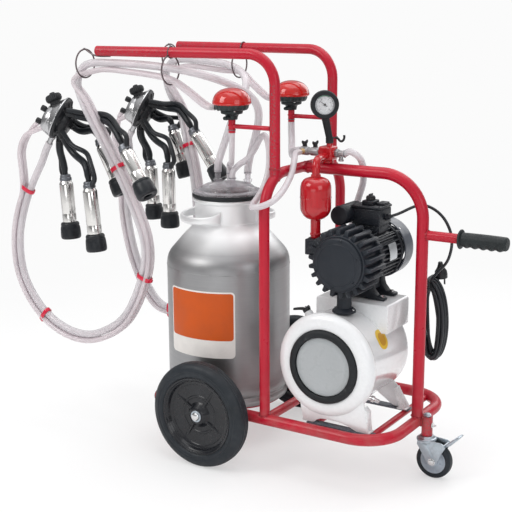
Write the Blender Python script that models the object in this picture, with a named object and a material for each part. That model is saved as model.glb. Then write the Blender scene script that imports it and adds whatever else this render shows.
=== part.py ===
"""Two-cluster portable milking machine: a steel tube trolley that carries a
milk can, a vacuum tank with a motor-driven vacuum pump, a vacuum gauge, two
pulsators and two milking clusters of four teat cups each.

Units are metres, +Z is up. The dimensions are laid out around the milk can
(X = 0, Y = 0, with Z = 0 on the floor under it). Every object is then shifted
by X_SHIFT, which puts the scene origin on the floor under the middle of the
whole machine. +X points to the handle and castor end. The near side is -Y and
the far side is +Y.
"""
import math
from math import cos, pi, sin

import bmesh
import bpy
from mathutils import Matrix, Vector

# ---------------------------------------------------------------- dimensions
GAP = 0.0003           # clearance between neighbouring pieces
X_SHIFT = -0.09825     # from the can's centre to the machine's middle
SHARP_ANGLE = 35       # degrees; edges steeper than this are shaded sharp
BEND_STEPS = 6         # segments in each bend of a bent tube
SIDES = (('near', -1), ('far', 1))
ALONG_Y = (0, 1, 0)    # axis of the tank, pump, motor and wheels

# trolley
Z_RAIL = 0.151         # centre height of the base rails
Y_RAIL = 0.210         # half spacing of the base rails
X_END = 0.6137         # castor-end rail and hoop post
X_POST = 0.256         # inverted-U posts
R_MAIN = 0.0158        # base loop and hoop tube radius
R_POST = 0.0142        # post and arm tube radius
R_CROSS = 0.0125       # floor-level cross tube radius
WALL = 0.002           # tube wall
R_CORNER = 0.105       # base loop corner radius
Z_CROSS = 0.8214       # hoop run and top of the inverted U
Y_ARM = 0.1557         # half spacing of the upper posts
Z_ARM = 1.132          # arm height
X_TIP = -0.306         # arm tips
Y_TIP = 0.193
FRAME_SIDES = 7        # facets around the frame tubes
X_PULSATOR = 0.121     # pulsator spigots
Z_SPIGOT = 0.9575

# handle
Z_HANDLE = 0.668
R_HANDLE = 0.0130
X_HANDLE_END = 0.838
X_GRIP0, X_GRIP1 = 0.7165, 0.8457
R_GRIP = 0.0180

# wheels and castor
X_AXLE = 0.0827
Y_WHEEL = 0.2703       # wheel origin
Y_WHEEL_FACE = 0.240   # plane the wheel profiles are measured from
R_WHEEL = 0.150
R_RIM = 0.1115
R_AXLE = 0.0090
X_CASTOR = 0.6435      # castor's upright stem
R_STEM = 0.0080
X_CASTOR_WHEEL, Z_CASTOR_WHEEL = 0.668, 0.050
R_CASTOR_AXLE = 0.0060
BRAKE_PIVOT = (0.7000, 0, 0.0990)

# can and lid
R_CAN, Z_CAN0, Z_CAN1 = 0.180, 0.1274, 0.5366
R_NECK, Z_RIM = 0.0955, 0.7150
GASKET = 0.012         # gasket thickness
Z_LID = Z_RIM + 2 * GAP + GASKET
# x, y, radius, height above the lid flange
LID_PORTS = [(-0.034, 0.0, 0.0085, 0.056), (0.014, -0.012, 0.0070, 0.054),
             (0.046, 0.036, 0.0085, 0.052), (0.046, -0.044, 0.0085, 0.046)]

# vacuum tank
X_TANK, Z_TANK, R_TANK = 0.4246, 0.325, 0.130
Y_TANK0, Y_TANK1 = -0.1895, 0.085
TANK_CENTRE = (X_TANK, 0, Z_TANK)
TANK_SIDES = 18
TAP_SEAT = Vector((0.325, -0.098, 0.441))    # end of the tap socket

# pump and motor
X_PUMP, Z_PUMP = 0.438, 0.594
PUMP_CENTRE = (X_PUMP, 0, Z_PUMP)
Y_PUMP0, Y_PUMP1 = -0.132, -0.045
PUMP_FRONT = 0.006     # depth of the disc on the pump's near face
Y_MOTOR0 = Y_PUMP1 + GAP
Y_MOTOR1, Y_FAN1 = 0.100, 0.160
R_SHAFT = 0.0090
TERMINAL_PAD = 0.0815  # top of the pad above the motor axis
Z_TERMINAL = Z_PUMP + TERMINAL_PAD + GAP
Z_KNOB = Z_TERMINAL + 0.064 + GAP
KNOB_ORIGIN = (X_PUMP + 0.005, 0.036, Z_KNOB)

# vacuum fittings
X_TRAP, Y_TRAP = 0.3475, -0.098
X_MAN, Z_MAN = 0.330, 0.865                  # manifold block centre
X_TAPS = (0.257, 0.290)
TAP_TOP = 0.0125                             # above the manifold's centre
X_GAUGE_SOCKET = X_MAN + 0.004
GAUGE_SOCKET_TOP = 0.026                     # above the manifold's centre
GAUGE_C = Vector((0.330, -0.022, 0.996))
GAUGE_D = Vector((0.5422, -0.8402, 0.0)).normalized()    # the dial looks this way
GAUGE_BACK = GAUGE_C - GAUGE_D * 0.020
R_GAUGE = 0.0375
DIAL_DEPTH = 0.0270                          # from the back to the dial
NEEDLE_ANGLE = math.radians(52)              # from the dial's upright

# clusters: claw centre, then the top and bottom of each cup
CLUSTERS = {
    'near': ((-0.459, -0.192, 0.935),
             [((-0.480, -0.160, 0.763), (-0.466, -0.160, 0.568)),
              ((-0.3215, -0.236, 0.765), (-0.3005, -0.236, 0.562)),
              ((-0.346, -0.154, 0.878), (-0.262, -0.154, 0.722)),
              ((-0.196, -0.230, 0.877), (-0.094, -0.252, 0.743))]),
    'far': ((-0.456, 0.192, 0.932),
            [((-0.458, 0.226, 0.761), (-0.445, 0.226, 0.566)),
             ((-0.331, 0.154, 0.771), (-0.328, 0.154, 0.562)),
             ((-0.368, 0.230, 0.880), (-0.311, 0.230, 0.716)),
             ((-0.236, 0.156, 0.883), (-0.126, 0.156, 0.732))]),
}
CLAW_N = Vector((-0.80, -0.40, 0.447)).normalized()               # dome side
CLAW_E = (Vector((0, 0, 1)) - CLAW_N * CLAW_N.z).normalized()     # up the flange
CLAW_F = CLAW_N.cross(CLAW_E)                                     # across the flange
VALVE_AXIS = Vector((-0.42, 0.0, 0.907)).normalized()
OUTLET_AXIS = Vector((-0.55, 0, -0.835)).normalized()
# claw nipples: base offset along N, E and F, then direction along N and E
NIPPLES = [(-0.012, -0.042, 0.020, -0.35, -0.93), (-0.012, -0.026, 0.022, -0.80, -0.60),
           (-0.012, -0.004, 0.024, -0.97, -0.24), (-0.012, 0.026, 0.024, -0.98, 0.20)]
# how far each liner runs on at the nipple and at the cup, as shares of its reach
LINER_PULLS = [(0.35, 0.45), (0.60, 0.50), (0.50, 0.50), (0.42, 0.50)]
MOUTH = 0.050          # mouthpiece length
R_SHELL = 0.0210
R_MILK = 0.0082        # short milk tube
LINER_STEPS = 6        # segments in the curved part of a liner
LINER_LEAD = 0.006     # straight run above the cup's top

# hoses
R_MILK_HOSE = 0.0095
R_VACUUM_HOSE = 0.0085
HOSE_SIDES = 6
# lid port, third point measured from the port, then the guide points
MILK_ROUTES = {
    'near': (2, (0.003, -0.002, 0.024), [
        (0.066, 0.022, 0.842), (0.090, 0.000, 0.876), (0.114, -0.022, 0.912),
        (0.129, -0.034, 0.948), (0.130, -0.040, 0.980), (0.116, -0.050, 1.010),
        (0.086, -0.076, 1.036), (0.040, -0.112, 1.060), (-0.012, -0.146, 1.078),
        (-0.070, -0.170, 1.089), (-0.150, -0.178, 1.096), (-0.240, -0.187, 1.099),
        (-0.316, -0.193, 1.099), (-0.356, -0.195, 1.090), (-0.378, -0.197, 1.062),
        (-0.381, -0.199, 1.026), (-0.368, -0.200, 0.995), (-0.345, -0.200, 0.952),
        (-0.300, -0.199, 0.880), (-0.253, -0.196, 0.800), (-0.206, -0.196, 0.715),
        (-0.158, -0.196, 0.600), (-0.166, -0.198, 0.500), (-0.232, -0.200, 0.370),
        (-0.330, -0.200, 0.303), (-0.412, -0.200, 0.287), (-0.500, -0.200, 0.307),
        (-0.578, -0.200, 0.362), (-0.632, -0.200, 0.450), (-0.640, -0.200, 0.560),
        (-0.612, -0.200, 0.660), (-0.572, -0.200, 0.740), (-0.534, -0.200, 0.800)]),
    'far': (0, (0.001, 0, 0.024), [
        (-0.024, 0.004, 0.840), (-0.012, 0.014, 0.884), (-0.004, 0.028, 0.927),
        (0.009, 0.044, 0.966), (0.020, 0.062, 1.008), (0.008, 0.088, 1.044),
        (-0.036, 0.122, 1.068), (-0.106, 0.152, 1.083), (-0.200, 0.174, 1.090),
        (-0.290, 0.188, 1.092), (-0.338, 0.194, 1.082), (-0.360, 0.195, 1.050),
        (-0.360, 0.199, 1.005), (-0.352, 0.214, 0.965), (-0.334, 0.226, 0.925),
        (-0.308, 0.213, 0.872), (-0.282, 0.194, 0.810), (-0.258, 0.190, 0.720),
        (-0.250, 0.190, 0.600), (-0.255, 0.190, 0.470), (-0.285, 0.190, 0.350),
        (-0.340, 0.190, 0.288), (-0.400, 0.190, 0.290), (-0.455, 0.190, 0.350),
        (-0.505, 0.190, 0.460), (-0.532, 0.190, 0.600), (-0.524, 0.190, 0.720),
        (-0.513, 0.190, 0.795)]),
}
# from the manifold's near spout to just above the lid port
VACUUM_ROUTE = [
    (X_TAPS[0], -0.0286, Z_MAN), (X_TAPS[0], -0.040, Z_MAN), (0.258, -0.054, 0.864),
    (0.274, -0.086, 0.850), (0.288, -0.125, 0.818), (0.292, -0.175, 0.782),
    (0.287, -0.218, 0.760), (0.266, -0.243, 0.748), (0.238, -0.238, 0.743),
    (0.221, -0.212, 0.745), (0.216, -0.180, 0.757), (0.219, -0.152, 0.784),
    (0.221, -0.130, 0.830), (0.215, -0.120, 0.885), (0.198, -0.111, 0.915),
    (0.174, -0.098, 0.905), (0.146, -0.082, 0.872), (0.112, -0.066, 0.840),
    (0.072, -0.051, 0.818)]


# ------------------------------------------------------------ geometry tools
# A solid is a pair (vertices, faces).
def bore(radius, sides):
    """Corner radius of a faceted hole whose flats touch a circle of the radius."""
    return radius / cos(pi / sides)


def frame_at(origin, direction):
    """Matrix whose local +Z runs along direction, placed at origin."""
    z = Vector(direction).normalized()
    ref = Vector((0, 0, 1)) if abs(z.z) < 0.9 else Vector((1, 0, 0))
    x = (ref - z * ref.dot(z)).normalized()
    matrix = Matrix((x, z.cross(x), z)).transposed().to_4x4()
    matrix.translation = Vector(origin)
    return matrix


def lathe(profile, sides, origin=(0, 0, 0), axis=(0, 0, 1), closed=False):
    """Turned solid: profile is a list of (radius, height along the axis)."""
    matrix = frame_at(origin, axis)
    vertices, rings = [], []
    for radius, height in profile:
        count = 1 if radius < 1e-7 else sides
        rings.append([len(vertices) + j for j in range(count)])
        for j in range(count):
            angle = 2 * pi * j / sides
            reach = 0 if count == 1 else radius
            vertices.append(matrix @ Vector((reach * cos(angle), reach * sin(angle), height)))
    faces = []
    for i in range(len(rings) if closed else len(rings) - 1):
        low, high = rings[i], rings[(i + 1) % len(rings)]
        if len(low) == 1 and len(high) == 1:
            continue
        for j in range(sides):
            k = (j + 1) % sides
            if len(low) == 1:
                faces.append((low[0], high[k], high[j]))
            elif len(high) == 1:
                faces.append((low[j], low[k], high[0]))
            else:
                faces.append((low[j], low[k], high[k], high[j]))
    if not closed:
        for ring in (rings[0], rings[-1]):
            if len(ring) > 1:
                faces.append(tuple(ring))
    return vertices, faces


def cyl(start, end, radius, sides):
    start, end = Vector(start), Vector(end)
    return lathe([(radius, 0), (radius, (end - start).length)], sides, start, end - start)


def loft(rings):
    """Skin over rings of equal point count, capped at both ends."""
    n = len(rings[0])
    last = (len(rings) - 1) * n
    vertices = [point for ring in rings for point in ring]
    faces = []
    for a in range(0, last, n):
        for j in range(n):
            k = (j + 1) % n
            faces.append((a + j, a + k, a + n + k, a + n + j))
    faces.append(tuple(range(n)))
    faces.append(tuple(range(last, last + n)))
    return vertices, faces


def circle(centre, x, y, radius, sides, turn=0.0):
    """Ring of points in the plane of x and y, turned by a share of one facet."""
    angles = [2 * pi * (j + turn) / sides for j in range(sides)]
    return [centre + x * (radius * cos(a)) + y * (radius * sin(a)) for a in angles]


def fillet(points, radius):
    """Polyline with its inner corners rounded to arcs."""
    points = [Vector(p) for p in points]
    out = [points[0]]
    for before, corner, after in zip(points, points[1:], points[2:]):
        a = (before - corner).normalized()
        b = (after - corner).normalized()
        half = a.angle(b) / 2
        setback = radius / math.tan(half)
        centre = corner + (a + b).normalized() * (radius / sin(half))
        first = corner + a * setback - centre
        last = corner + b * setback - centre
        angle = first.angle(last)
        for k in range(BEND_STEPS + 1):
            f = k / BEND_STEPS
            out.append(centre + (first * sin((1 - f) * angle) + last * sin(f * angle)) / sin(angle))
    out.append(points[-1])
    return out


def spline(points, steps):
    """Uniform Catmull-Rom curve through the points."""
    points = [Vector(p) for p in points]
    points = [points[0] * 2 - points[1]] + points + [points[-1] * 2 - points[-2]]
    out = []
    for p0, p1, p2, p3 in zip(points, points[1:], points[2:], points[3:]):
        for k in range(steps):
            t = k / steps
            out.append(0.5 * ((2 * p1) + (p2 - p0) * t + (2 * p0 - 5 * p1 + 4 * p2 - p3) * t * t
                              + (3 * p1 - p0 - 3 * p2 + p3) * t * t * t))
    out.append(points[-2])
    return out


def frames(path):
    """Parallel-transport frames along a polyline: (point, x, y, tangent) each."""
    points = [Vector(p) for p in path]
    last = len(points) - 1
    tangents = []
    for i, point in enumerate(points):
        before, after = points[max(i - 1, 0)], points[min(i + 1, last)]
        if 0 < i < last:
            tangent = (point - before).normalized() + (after - point).normalized()
        else:
            tangent = after - before
        tangents.append(tangent.normalized())
    x = Vector((0, 1, 0)) if abs(tangents[0].y) < 0.9 else Vector((1, 0, 0))
    out = []
    for point, tangent in zip(points, tangents):
        x = (x - tangent * x.dot(tangent)).normalized()
        out.append((point, x, tangent.cross(x), tangent))
    return out


def tube(path, radius, sides, turn=0.0):
    """Round bar swept along a polyline; radius is one number or one per point."""
    radii = radius if isinstance(radius, list) else [radius] * len(path)
    return loft([circle(point, x, y, r, sides, turn)
                 for (point, x, y, _), r in zip(frames(path), radii)])


def length_of(path):
    return sum((b - a).length for a, b in zip(path, path[1:]))


def swept(path, profile, sides):
    """Profile of (distance along the path, radius) pairs swept along it.
    The distance may run back again, which makes a bore."""
    stations = frames(path)
    distances = [0.0]
    for a, b in zip(stations, stations[1:]):
        distances.append(distances[-1] + (b[0] - a[0]).length)
    rings = []
    for distance, radius in profile:
        i = 0
        while i < len(distances) - 2 and distance > distances[i + 1]:
            i += 1
        f = (distance - distances[i]) / (distances[i + 1] - distances[i])
        blend = max(0, min(1, f))
        (point0, x0, _, tangent0), (point1, x1, _, tangent1) = stations[i:i + 2]
        x = x0.lerp(x1, blend)
        tangent = tangent0.lerp(tangent1, blend).normalized()
        x = (x - tangent * x.dot(tangent)).normalized()
        rings.append(circle(point0.lerp(point1, f), x, tangent.cross(x), radius, sides))
    return loft(rings)


def box(x0, x1, y0, y1, z0, z1):
    vertices = [Vector((x, y, z)) for x in (x0, x1) for y in sorted((y0, y1)) for z in (z0, z1)]
    faces = [(0, 1, 3, 2), (4, 6, 7, 5), (0, 4, 5, 1), (2, 3, 7, 6), (0, 2, 6, 4), (1, 5, 7, 3)]
    return vertices, faces


def prism(outline, y0, y1):
    """Outline of (x, z) points extruded along Y."""
    return loft([[Vector((x, y, z)) for x, z in outline] for y in (y0, y1)])


def ribbed_outline(count, steps):
    """Outline about the pump axis; steps are (share of one pitch, radius)."""
    outline = []
    for k in range(count):
        for share, radius in steps:
            angle = 2 * pi * (k + share) / count
            outline.append((X_PUMP + radius * cos(angle), Z_PUMP + radius * sin(angle)))
    return outline


# -------------------------------------------------------------- object tools
def as_object(shape, origin=(0, 0, 0)):
    """Object made from a solid; an object is passed through unchanged."""
    if isinstance(shape, bpy.types.Object):
        return shape
    vertices, faces = shape
    origin = Vector(origin)
    mesh = bpy.data.meshes.new('part')
    bm = bmesh.new()
    verts = [bm.verts.new(v - origin) for v in vertices]
    for face in faces:
        bm.faces.new([verts[i] for i in face])
    bmesh.ops.recalc_face_normals(bm, faces=bm.faces)
    bm.to_mesh(mesh)
    bm.free()
    ob = bpy.data.objects.new('part', mesh)
    ob.location = origin
    bpy.context.collection.objects.link(ob)
    return ob


def boolean(ob, shapes, operation):
    """Join to, or cut from, ob the listed shapes, which are used up."""
    tools = [as_object(shape) for shape in shapes]
    for tool in tools:
        modifier = ob.modifiers.new('boolean', 'BOOLEAN')
        modifier.operation = operation
        modifier.object = tool
        modifier.solver = 'EXACT'
    bpy.context.view_layer.update()
    depsgraph = bpy.context.evaluated_depsgraph_get()
    mesh = bpy.data.meshes.new_from_object(ob.evaluated_get(depsgraph))
    ob.modifiers.clear()
    old = ob.data
    ob.data = mesh
    bpy.data.meshes.remove(old)
    for tool in tools:
        mesh = tool.data
        bpy.data.objects.remove(tool)
        bpy.data.meshes.remove(mesh)


def join(solids, origin=(0, 0, 0)):
    ob = as_object(solids[0], origin)
    boolean(ob, solids[1:], 'UNION')
    return ob


def move_origin(ob, origin):
    """Set the origin of an object that stands at the world origin."""
    origin = Vector(origin)
    ob.data.transform(Matrix.Translation(-origin))
    ob.location = origin


def place(name, shape, mat, origin=(0, 0, 0)):
    """Name, colour, shade and shift one finished piece."""
    ob = as_object(shape, origin)
    ob.name = name
    ob.data.name = name
    ob.data.materials.clear()
    ob.data.materials.append(mat)
    ob.location.x += X_SHIFT
    ob.data.shade_smooth()
    ob.data.set_sharp_from_angle(angle=math.radians(SHARP_ANGLE))


# ------------------------------------------------------------- trolley frame
def frame_lines():
    """Centre lines of the trolley's bent tubes, as (polyline, radius)."""
    base = fillet([(-0.11, -Y_RAIL, Z_RAIL), (X_END, -Y_RAIL, Z_RAIL),
                   (X_END, Y_RAIL, Z_RAIL), (-0.11, Y_RAIL, Z_RAIL)], R_CORNER)
    hoop = fillet([(X_END, 0, Z_RAIL), (X_END, 0, Z_CROSS), (X_POST, 0, Z_CROSS)], 0.115)
    arch = fillet([(X_POST, -Y_RAIL, Z_RAIL), (X_POST, -Y_RAIL, Z_CROSS),
                   (X_POST, Y_RAIL, Z_CROSS), (X_POST, Y_RAIL, Z_RAIL)], 0.10)
    cross = [Vector((X_POST, -Y_RAIL, Z_RAIL)), Vector((X_POST, Y_RAIL, Z_RAIL))]
    lines = [(base, R_MAIN), (hoop, R_MAIN), (arch, R_POST), (cross, R_CROSS)]
    for _, s in SIDES:
        arm = fillet([(X_POST, s * Y_ARM, 0.802), (X_POST, s * Y_ARM, Z_ARM),
                      (X_TIP, s * Y_TIP, Z_ARM)], 0.08)
        lines.append((arm, R_POST))
    return lines


def frame_tubes():
    """The bent tubes joined and hollowed."""
    lines = frame_lines()
    outer = join([tube(path, radius, FRAME_SIDES) for path, radius in lines])
    # the hollow runs past the rail ends and the arm tips, which leaves them open
    base = lines[0][0]
    base[0].x -= 0.01
    base[-1].x -= 0.01
    for arm, _ in lines[4:]:
        arm[-1] = arm[-1] + (arm[-1] - arm[-2]).normalized() * 0.01
        arm[0].z += 0.004
    hollow = join([tube(path, radius - WALL, FRAME_SIDES, turn=0.5) for path, radius in lines])
    boolean(outer, [hollow], 'DIFFERENCE')
    return outer


def frame():
    # handle tube, set through the wall of the hoop post
    add = [cyl((X_END + 0.0146, 0, Z_HANDLE), (X_HANDLE_END, 0, Z_HANDLE), R_HANDLE, FRAME_SIDES)]
    # pulsator brackets: arm from the upper post, then an upright spigot
    for _, s in SIDES:
        y = s * Y_ARM
        add.append(cyl((X_POST - R_POST + 0.001, y, 0.940), (X_PULSATOR, y, 0.940), 0.0062, 6))
        add.append(cyl((X_PULSATOR, y, 0.922), (X_PULSATOR, y, Z_SPIGOT), 0.0095, 6))
    # castor socket on the +X side of the castor-end rail, with its web
    add.append(cyl((X_CASTOR, 0, 0.117), (X_CASTOR, 0, 0.169), 0.0150, FRAME_SIDES))
    add.append(box(0.6265, X_CASTOR, -0.0095, 0.0095, 0.1400, 0.1620))
    # tank cross tubes, let into the rails' walls, and the flat foot bars
    y = Y_RAIL - 0.0148
    for x in (0.385, 0.556):
        add.append(cyl((x, -y, 0.1485), (x, y, 0.1485), 0.0085, 6))
    for y in (-0.172, 0.052):
        add.append(box(0.372, 0.568, y - 0.0125, y + 0.0125, 0.154, 0.1605))
    # can tray: a disc on flat bars hung under the rails
    add.append(cyl((0, 0, 0.1190), (0, 0, 0.1270), 0.162, 14))
    for x in (-0.075, 0.075):
        for _, s in SIDES:
            add.append(box(x - 0.015, x + 0.015, s * 0.12, s * 0.218, 0.1190, 0.1268))
            add.append(box(x - 0.015, x + 0.015, s * 0.202, s * 0.218, 0.1265, 0.1362))
    # wheel bosses on the outside of both rails
    for _, s in SIDES:
        add.append(cyl((X_AXLE, s * 0.2085, R_WHEEL), (X_AXLE, s * 0.2370, R_WHEEL),
                       0.0150, FRAME_SIDES))
    ob = frame_tubes()
    boolean(ob, add, 'UNION')
    # bores for the castor stem and the axle bolts
    cuts = [cyl((X_CASTOR, 0, 0.10), (X_CASTOR, 0, 0.19), bore(R_STEM + GAP, 6), 6)]
    for _, s in SIDES:
        cuts.append(cyl((X_AXLE, s * 0.211, R_WHEEL), (X_AXLE, s * 0.25, R_WHEEL),
                        bore(R_AXLE + GAP, 6), 6))
    boolean(ob, cuts, 'DIFFERENCE')
    return ob


def handle_grip():
    """Blind sleeve with a collar and finger waves on the underside."""
    sides = 8
    wave_start, wave_step, wave_points, steps_per_wave = X_GRIP0 + 0.012, 0.0063, 18, 4
    # (x, radius) stations
    profile = [(X_GRIP0, 0.0185), (X_GRIP0 + 0.001, 0.0255),
               (X_GRIP0 + 0.007, 0.0255), (X_GRIP0 + 0.009, R_GRIP)]
    for k in range(wave_points):
        swell = 0.0022 * (0.5 - 0.5 * cos(2 * pi * k / steps_per_wave))
        profile.append((wave_start + k * wave_step, R_GRIP + swell))
    profile += [(X_GRIP1 - 0.007, 0.0195), (X_GRIP1 - 0.001, 0.0185), (X_GRIP1, 0.0165)]
    angles = [2 * pi * j / sides for j in range(sides)]

    def ring(x, radii):
        return [Vector((x, r * sin(a), Z_HANDLE + r * cos(a))) for r, a in zip(radii, angles)]

    bore_radii = [bore(R_HANDLE + GAP, sides)] * sides
    rings = [ring(X_HANDLE_END + GAP, bore_radii), ring(X_GRIP0, bore_radii)]
    for x, radius in profile:
        if X_GRIP0 + 0.009 < x < X_GRIP1 - 0.008:
            radii = [R_GRIP + (radius - R_GRIP) * max(0.0, -cos(a)) for a in angles]
        else:
            radii = [radius] * sides
        rings.append(ring(x, radii))
    return loft(rings)


# -------------------------------------------------------------------- wheels
def on_axle(profile, sides, s, closed=False):
    """Turned solid on the axle; heights run outward from the wheel's inner face."""
    return lathe(profile, sides, (X_AXLE, s * Y_WHEEL_FACE, R_WHEEL), (0, s, 0), closed)


def wheel(s):
    sides = 16
    hole = bore(R_AXLE + GAP, sides)
    return on_axle([
        (hole, 0.0006), (0.030, 0.0006), (0.032, 0.020), (0.098, 0.0235), (0.100, 0.006),
        (R_RIM, 0.004), (R_RIM, 0.054), (0.100, 0.052), (0.098, 0.0375), (0.034, 0.034),
        (0.030, 0.0500), (hole, 0.0500)], sides, s, closed=True)


def tyre(s):
    sides = 16
    inside = bore(R_RIM + GAP, sides)
    return on_axle([
        (inside, 0.0045), (0.120, 0.0015), (0.138, 0.004), (0.147, 0.012), (R_WHEEL, 0.022),
        (R_WHEEL, 0.036), (0.147, 0.046), (0.138, 0.054), (0.120, 0.0565), (inside, 0.0535)],
        sides, s, closed=True)


def axle_bolt(s):
    return on_axle([(0, -0.0270), (R_AXLE, -0.0270), (R_AXLE, 0.0505), (0.0160, 0.0505),
                    (0.0160, 0.0560), (0.010, 0.0600), (0, 0.0610)], 6, s)


def castor_stem():
    return lathe([(0, 0.0990), (0.0130, 0.0990), (0.0130, 0.1055), (R_STEM, 0.1055),
                  (R_STEM, 0.1695), (0.0118, 0.1695), (0.0118, 0.1780), (0, 0.1790)],
                 6, (X_CASTOR, 0, 0))


def castor_fork():
    sides = 8
    hole = bore(R_STEM + GAP, sides)
    parts = [lathe([(hole, 0.1062), (0.0260, 0.1062), (0.0260, 0.1100), (0.020, 0.1163),
                    (hole, 0.1163)], sides, (X_CASTOR, 0, 0), closed=True)]
    cheek = [(X_CASTOR - 0.016, 0.1085), (X_CASTOR + 0.022, 0.1085), (0.702, 0.1060),
             (0.7055, 0.0960), (X_CASTOR_WHEEL + 0.012, Z_CASTOR_WHEEL - 0.008),
             (X_CASTOR_WHEEL - 0.010, Z_CASTOR_WHEEL - 0.012), (X_CASTOR - 0.020, 0.094)]
    for y0, y1 in ((-0.0205, -0.0175), (0.0175, 0.0205)):
        parts.append(prism(cheek, y0, y1))
    parts.append(cyl((X_CASTOR_WHEEL, -0.0265, Z_CASTOR_WHEEL),
                     (X_CASTOR_WHEEL, 0.0265, Z_CASTOR_WHEEL), R_CASTOR_AXLE, 6))
    ob = join(parts)
    move_origin(ob, (X_CASTOR, 0, 0.110))
    return ob


def castor_wheel():
    sides = 12
    hole = bore(R_CASTOR_AXLE + GAP, sides)
    half = [(hole, 0.0160), (0.014, 0.0160), (0.016, 0.009), (0.034, 0.009),
            (0.036, 0.0125), (0.046, 0.0125), (0.050, 0.0085)]
    profile = [(r, -y) for r, y in half] + half[::-1]
    return lathe(profile, sides, (X_CASTOR_WHEEL, 0, Z_CASTOR_WHEEL), ALONG_Y, closed=True)


def castor_brake():
    pedal = prism([(0.6960, 0.0975), (0.7005, 0.0950), (0.719, 0.1050), (0.741, 0.1275),
                   (0.7435, 0.1315), (0.739, 0.1338), (0.715, 0.1135)], -0.0150, 0.0150)
    x, _, z = BRAKE_PIVOT
    pin = cyl((x, -0.0168, z), (x, 0.0168, z), 0.0040, 6)
    return join([pedal, pin], BRAKE_PIVOT)


# ----------------------------------------------------------------------- can
def can_body():
    z0, z1 = Z_CAN0, Z_CAN1
    outside = [
        (0, z0 + 0.020), (0.155, z0 + 0.020), (0.160, z0), (0.1630, z0), (0.1720, z0 + 0.001),
        (0.1735, z0 + 0.016), (0.1700, z0 + 0.024), (0.1790, z0 + 0.034), (R_CAN, z0 + 0.046),
        (R_CAN, z1 - 0.012), (0.1775, z1 + 0.004), (0.167, z1 + 0.027), (0.1180, 0.619),
        (0.1015, 0.636), (R_NECK, 0.652), (R_NECK, Z_RIM - 0.010), (0.1005, Z_RIM - 0.007),
        (0.1005, Z_RIM)]
    inside = [
        (0.0910, Z_RIM), (0.0910, 0.650), (0.0975, 0.634), (0.1140, 0.6155), (0.164, z1 + 0.0235),
        (0.1745, z1 + 0.002), (0.1765, z1 - 0.013), (0.1765, z0 + 0.047), (0.160, z0 + 0.034),
        (0, z0 + 0.030)]
    parts = [lathe(outside + inside, 18)]
    for middle in (236, 56):                          # loop handles on the neck
        path = []
        for k in range(-4, 5):
            angle = math.radians(middle + k * 13.5)
            share = abs(k) / 4
            reach = 0.0935 + 0.041 * (1 - share ** 2.4)
            path.append(Vector((reach * cos(angle), reach * sin(angle),
                                0.668 - 0.010 * (1 - share))))
        parts.append(tube(path, 0.0075, 6))
    return join(parts)


def can_lid():
    z = Z_LID
    dome = lathe([
        (0.1010, z), (0.1010, z + 0.005), (0.083, z + 0.008), (0.078, z + 0.018),
        (0.062, z + 0.030), (0.036, z + 0.0365), (0, z + 0.038), (0, z + 0.0345),
        (0.034, z + 0.033), (0.060, z + 0.026), (0.074, z + 0.015), (0.078, z + 0.004),
        (0.0870, z + 0.0035), (0.0870, z - 0.016), (0.0895, z - 0.016), (0.0895, z)],
        14, closed=True)
    ports = [cyl((x, y, z + 0.026), (x, y, z + height), radius, 6)
             for x, y, radius, height in LID_PORTS]
    return join([dome] + ports)


def lid_gasket():
    sides = 14
    inside = bore(0.0895 + GAP, sides)
    top = Z_RIM + GAP + GASKET
    return lathe([(inside, Z_RIM + GAP), (0.1005, Z_RIM + GAP), (0.1032, Z_RIM + 0.003),
                  (0.1032, Z_RIM + 0.010), (0.1005, top), (inside, top)], sides, closed=True)


def port_top(index):
    """Where a hose starts above a lid port."""
    x, y, _, height = LID_PORTS[index]
    return Vector((x, y, Z_LID + height + 2 * GAP))


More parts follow.
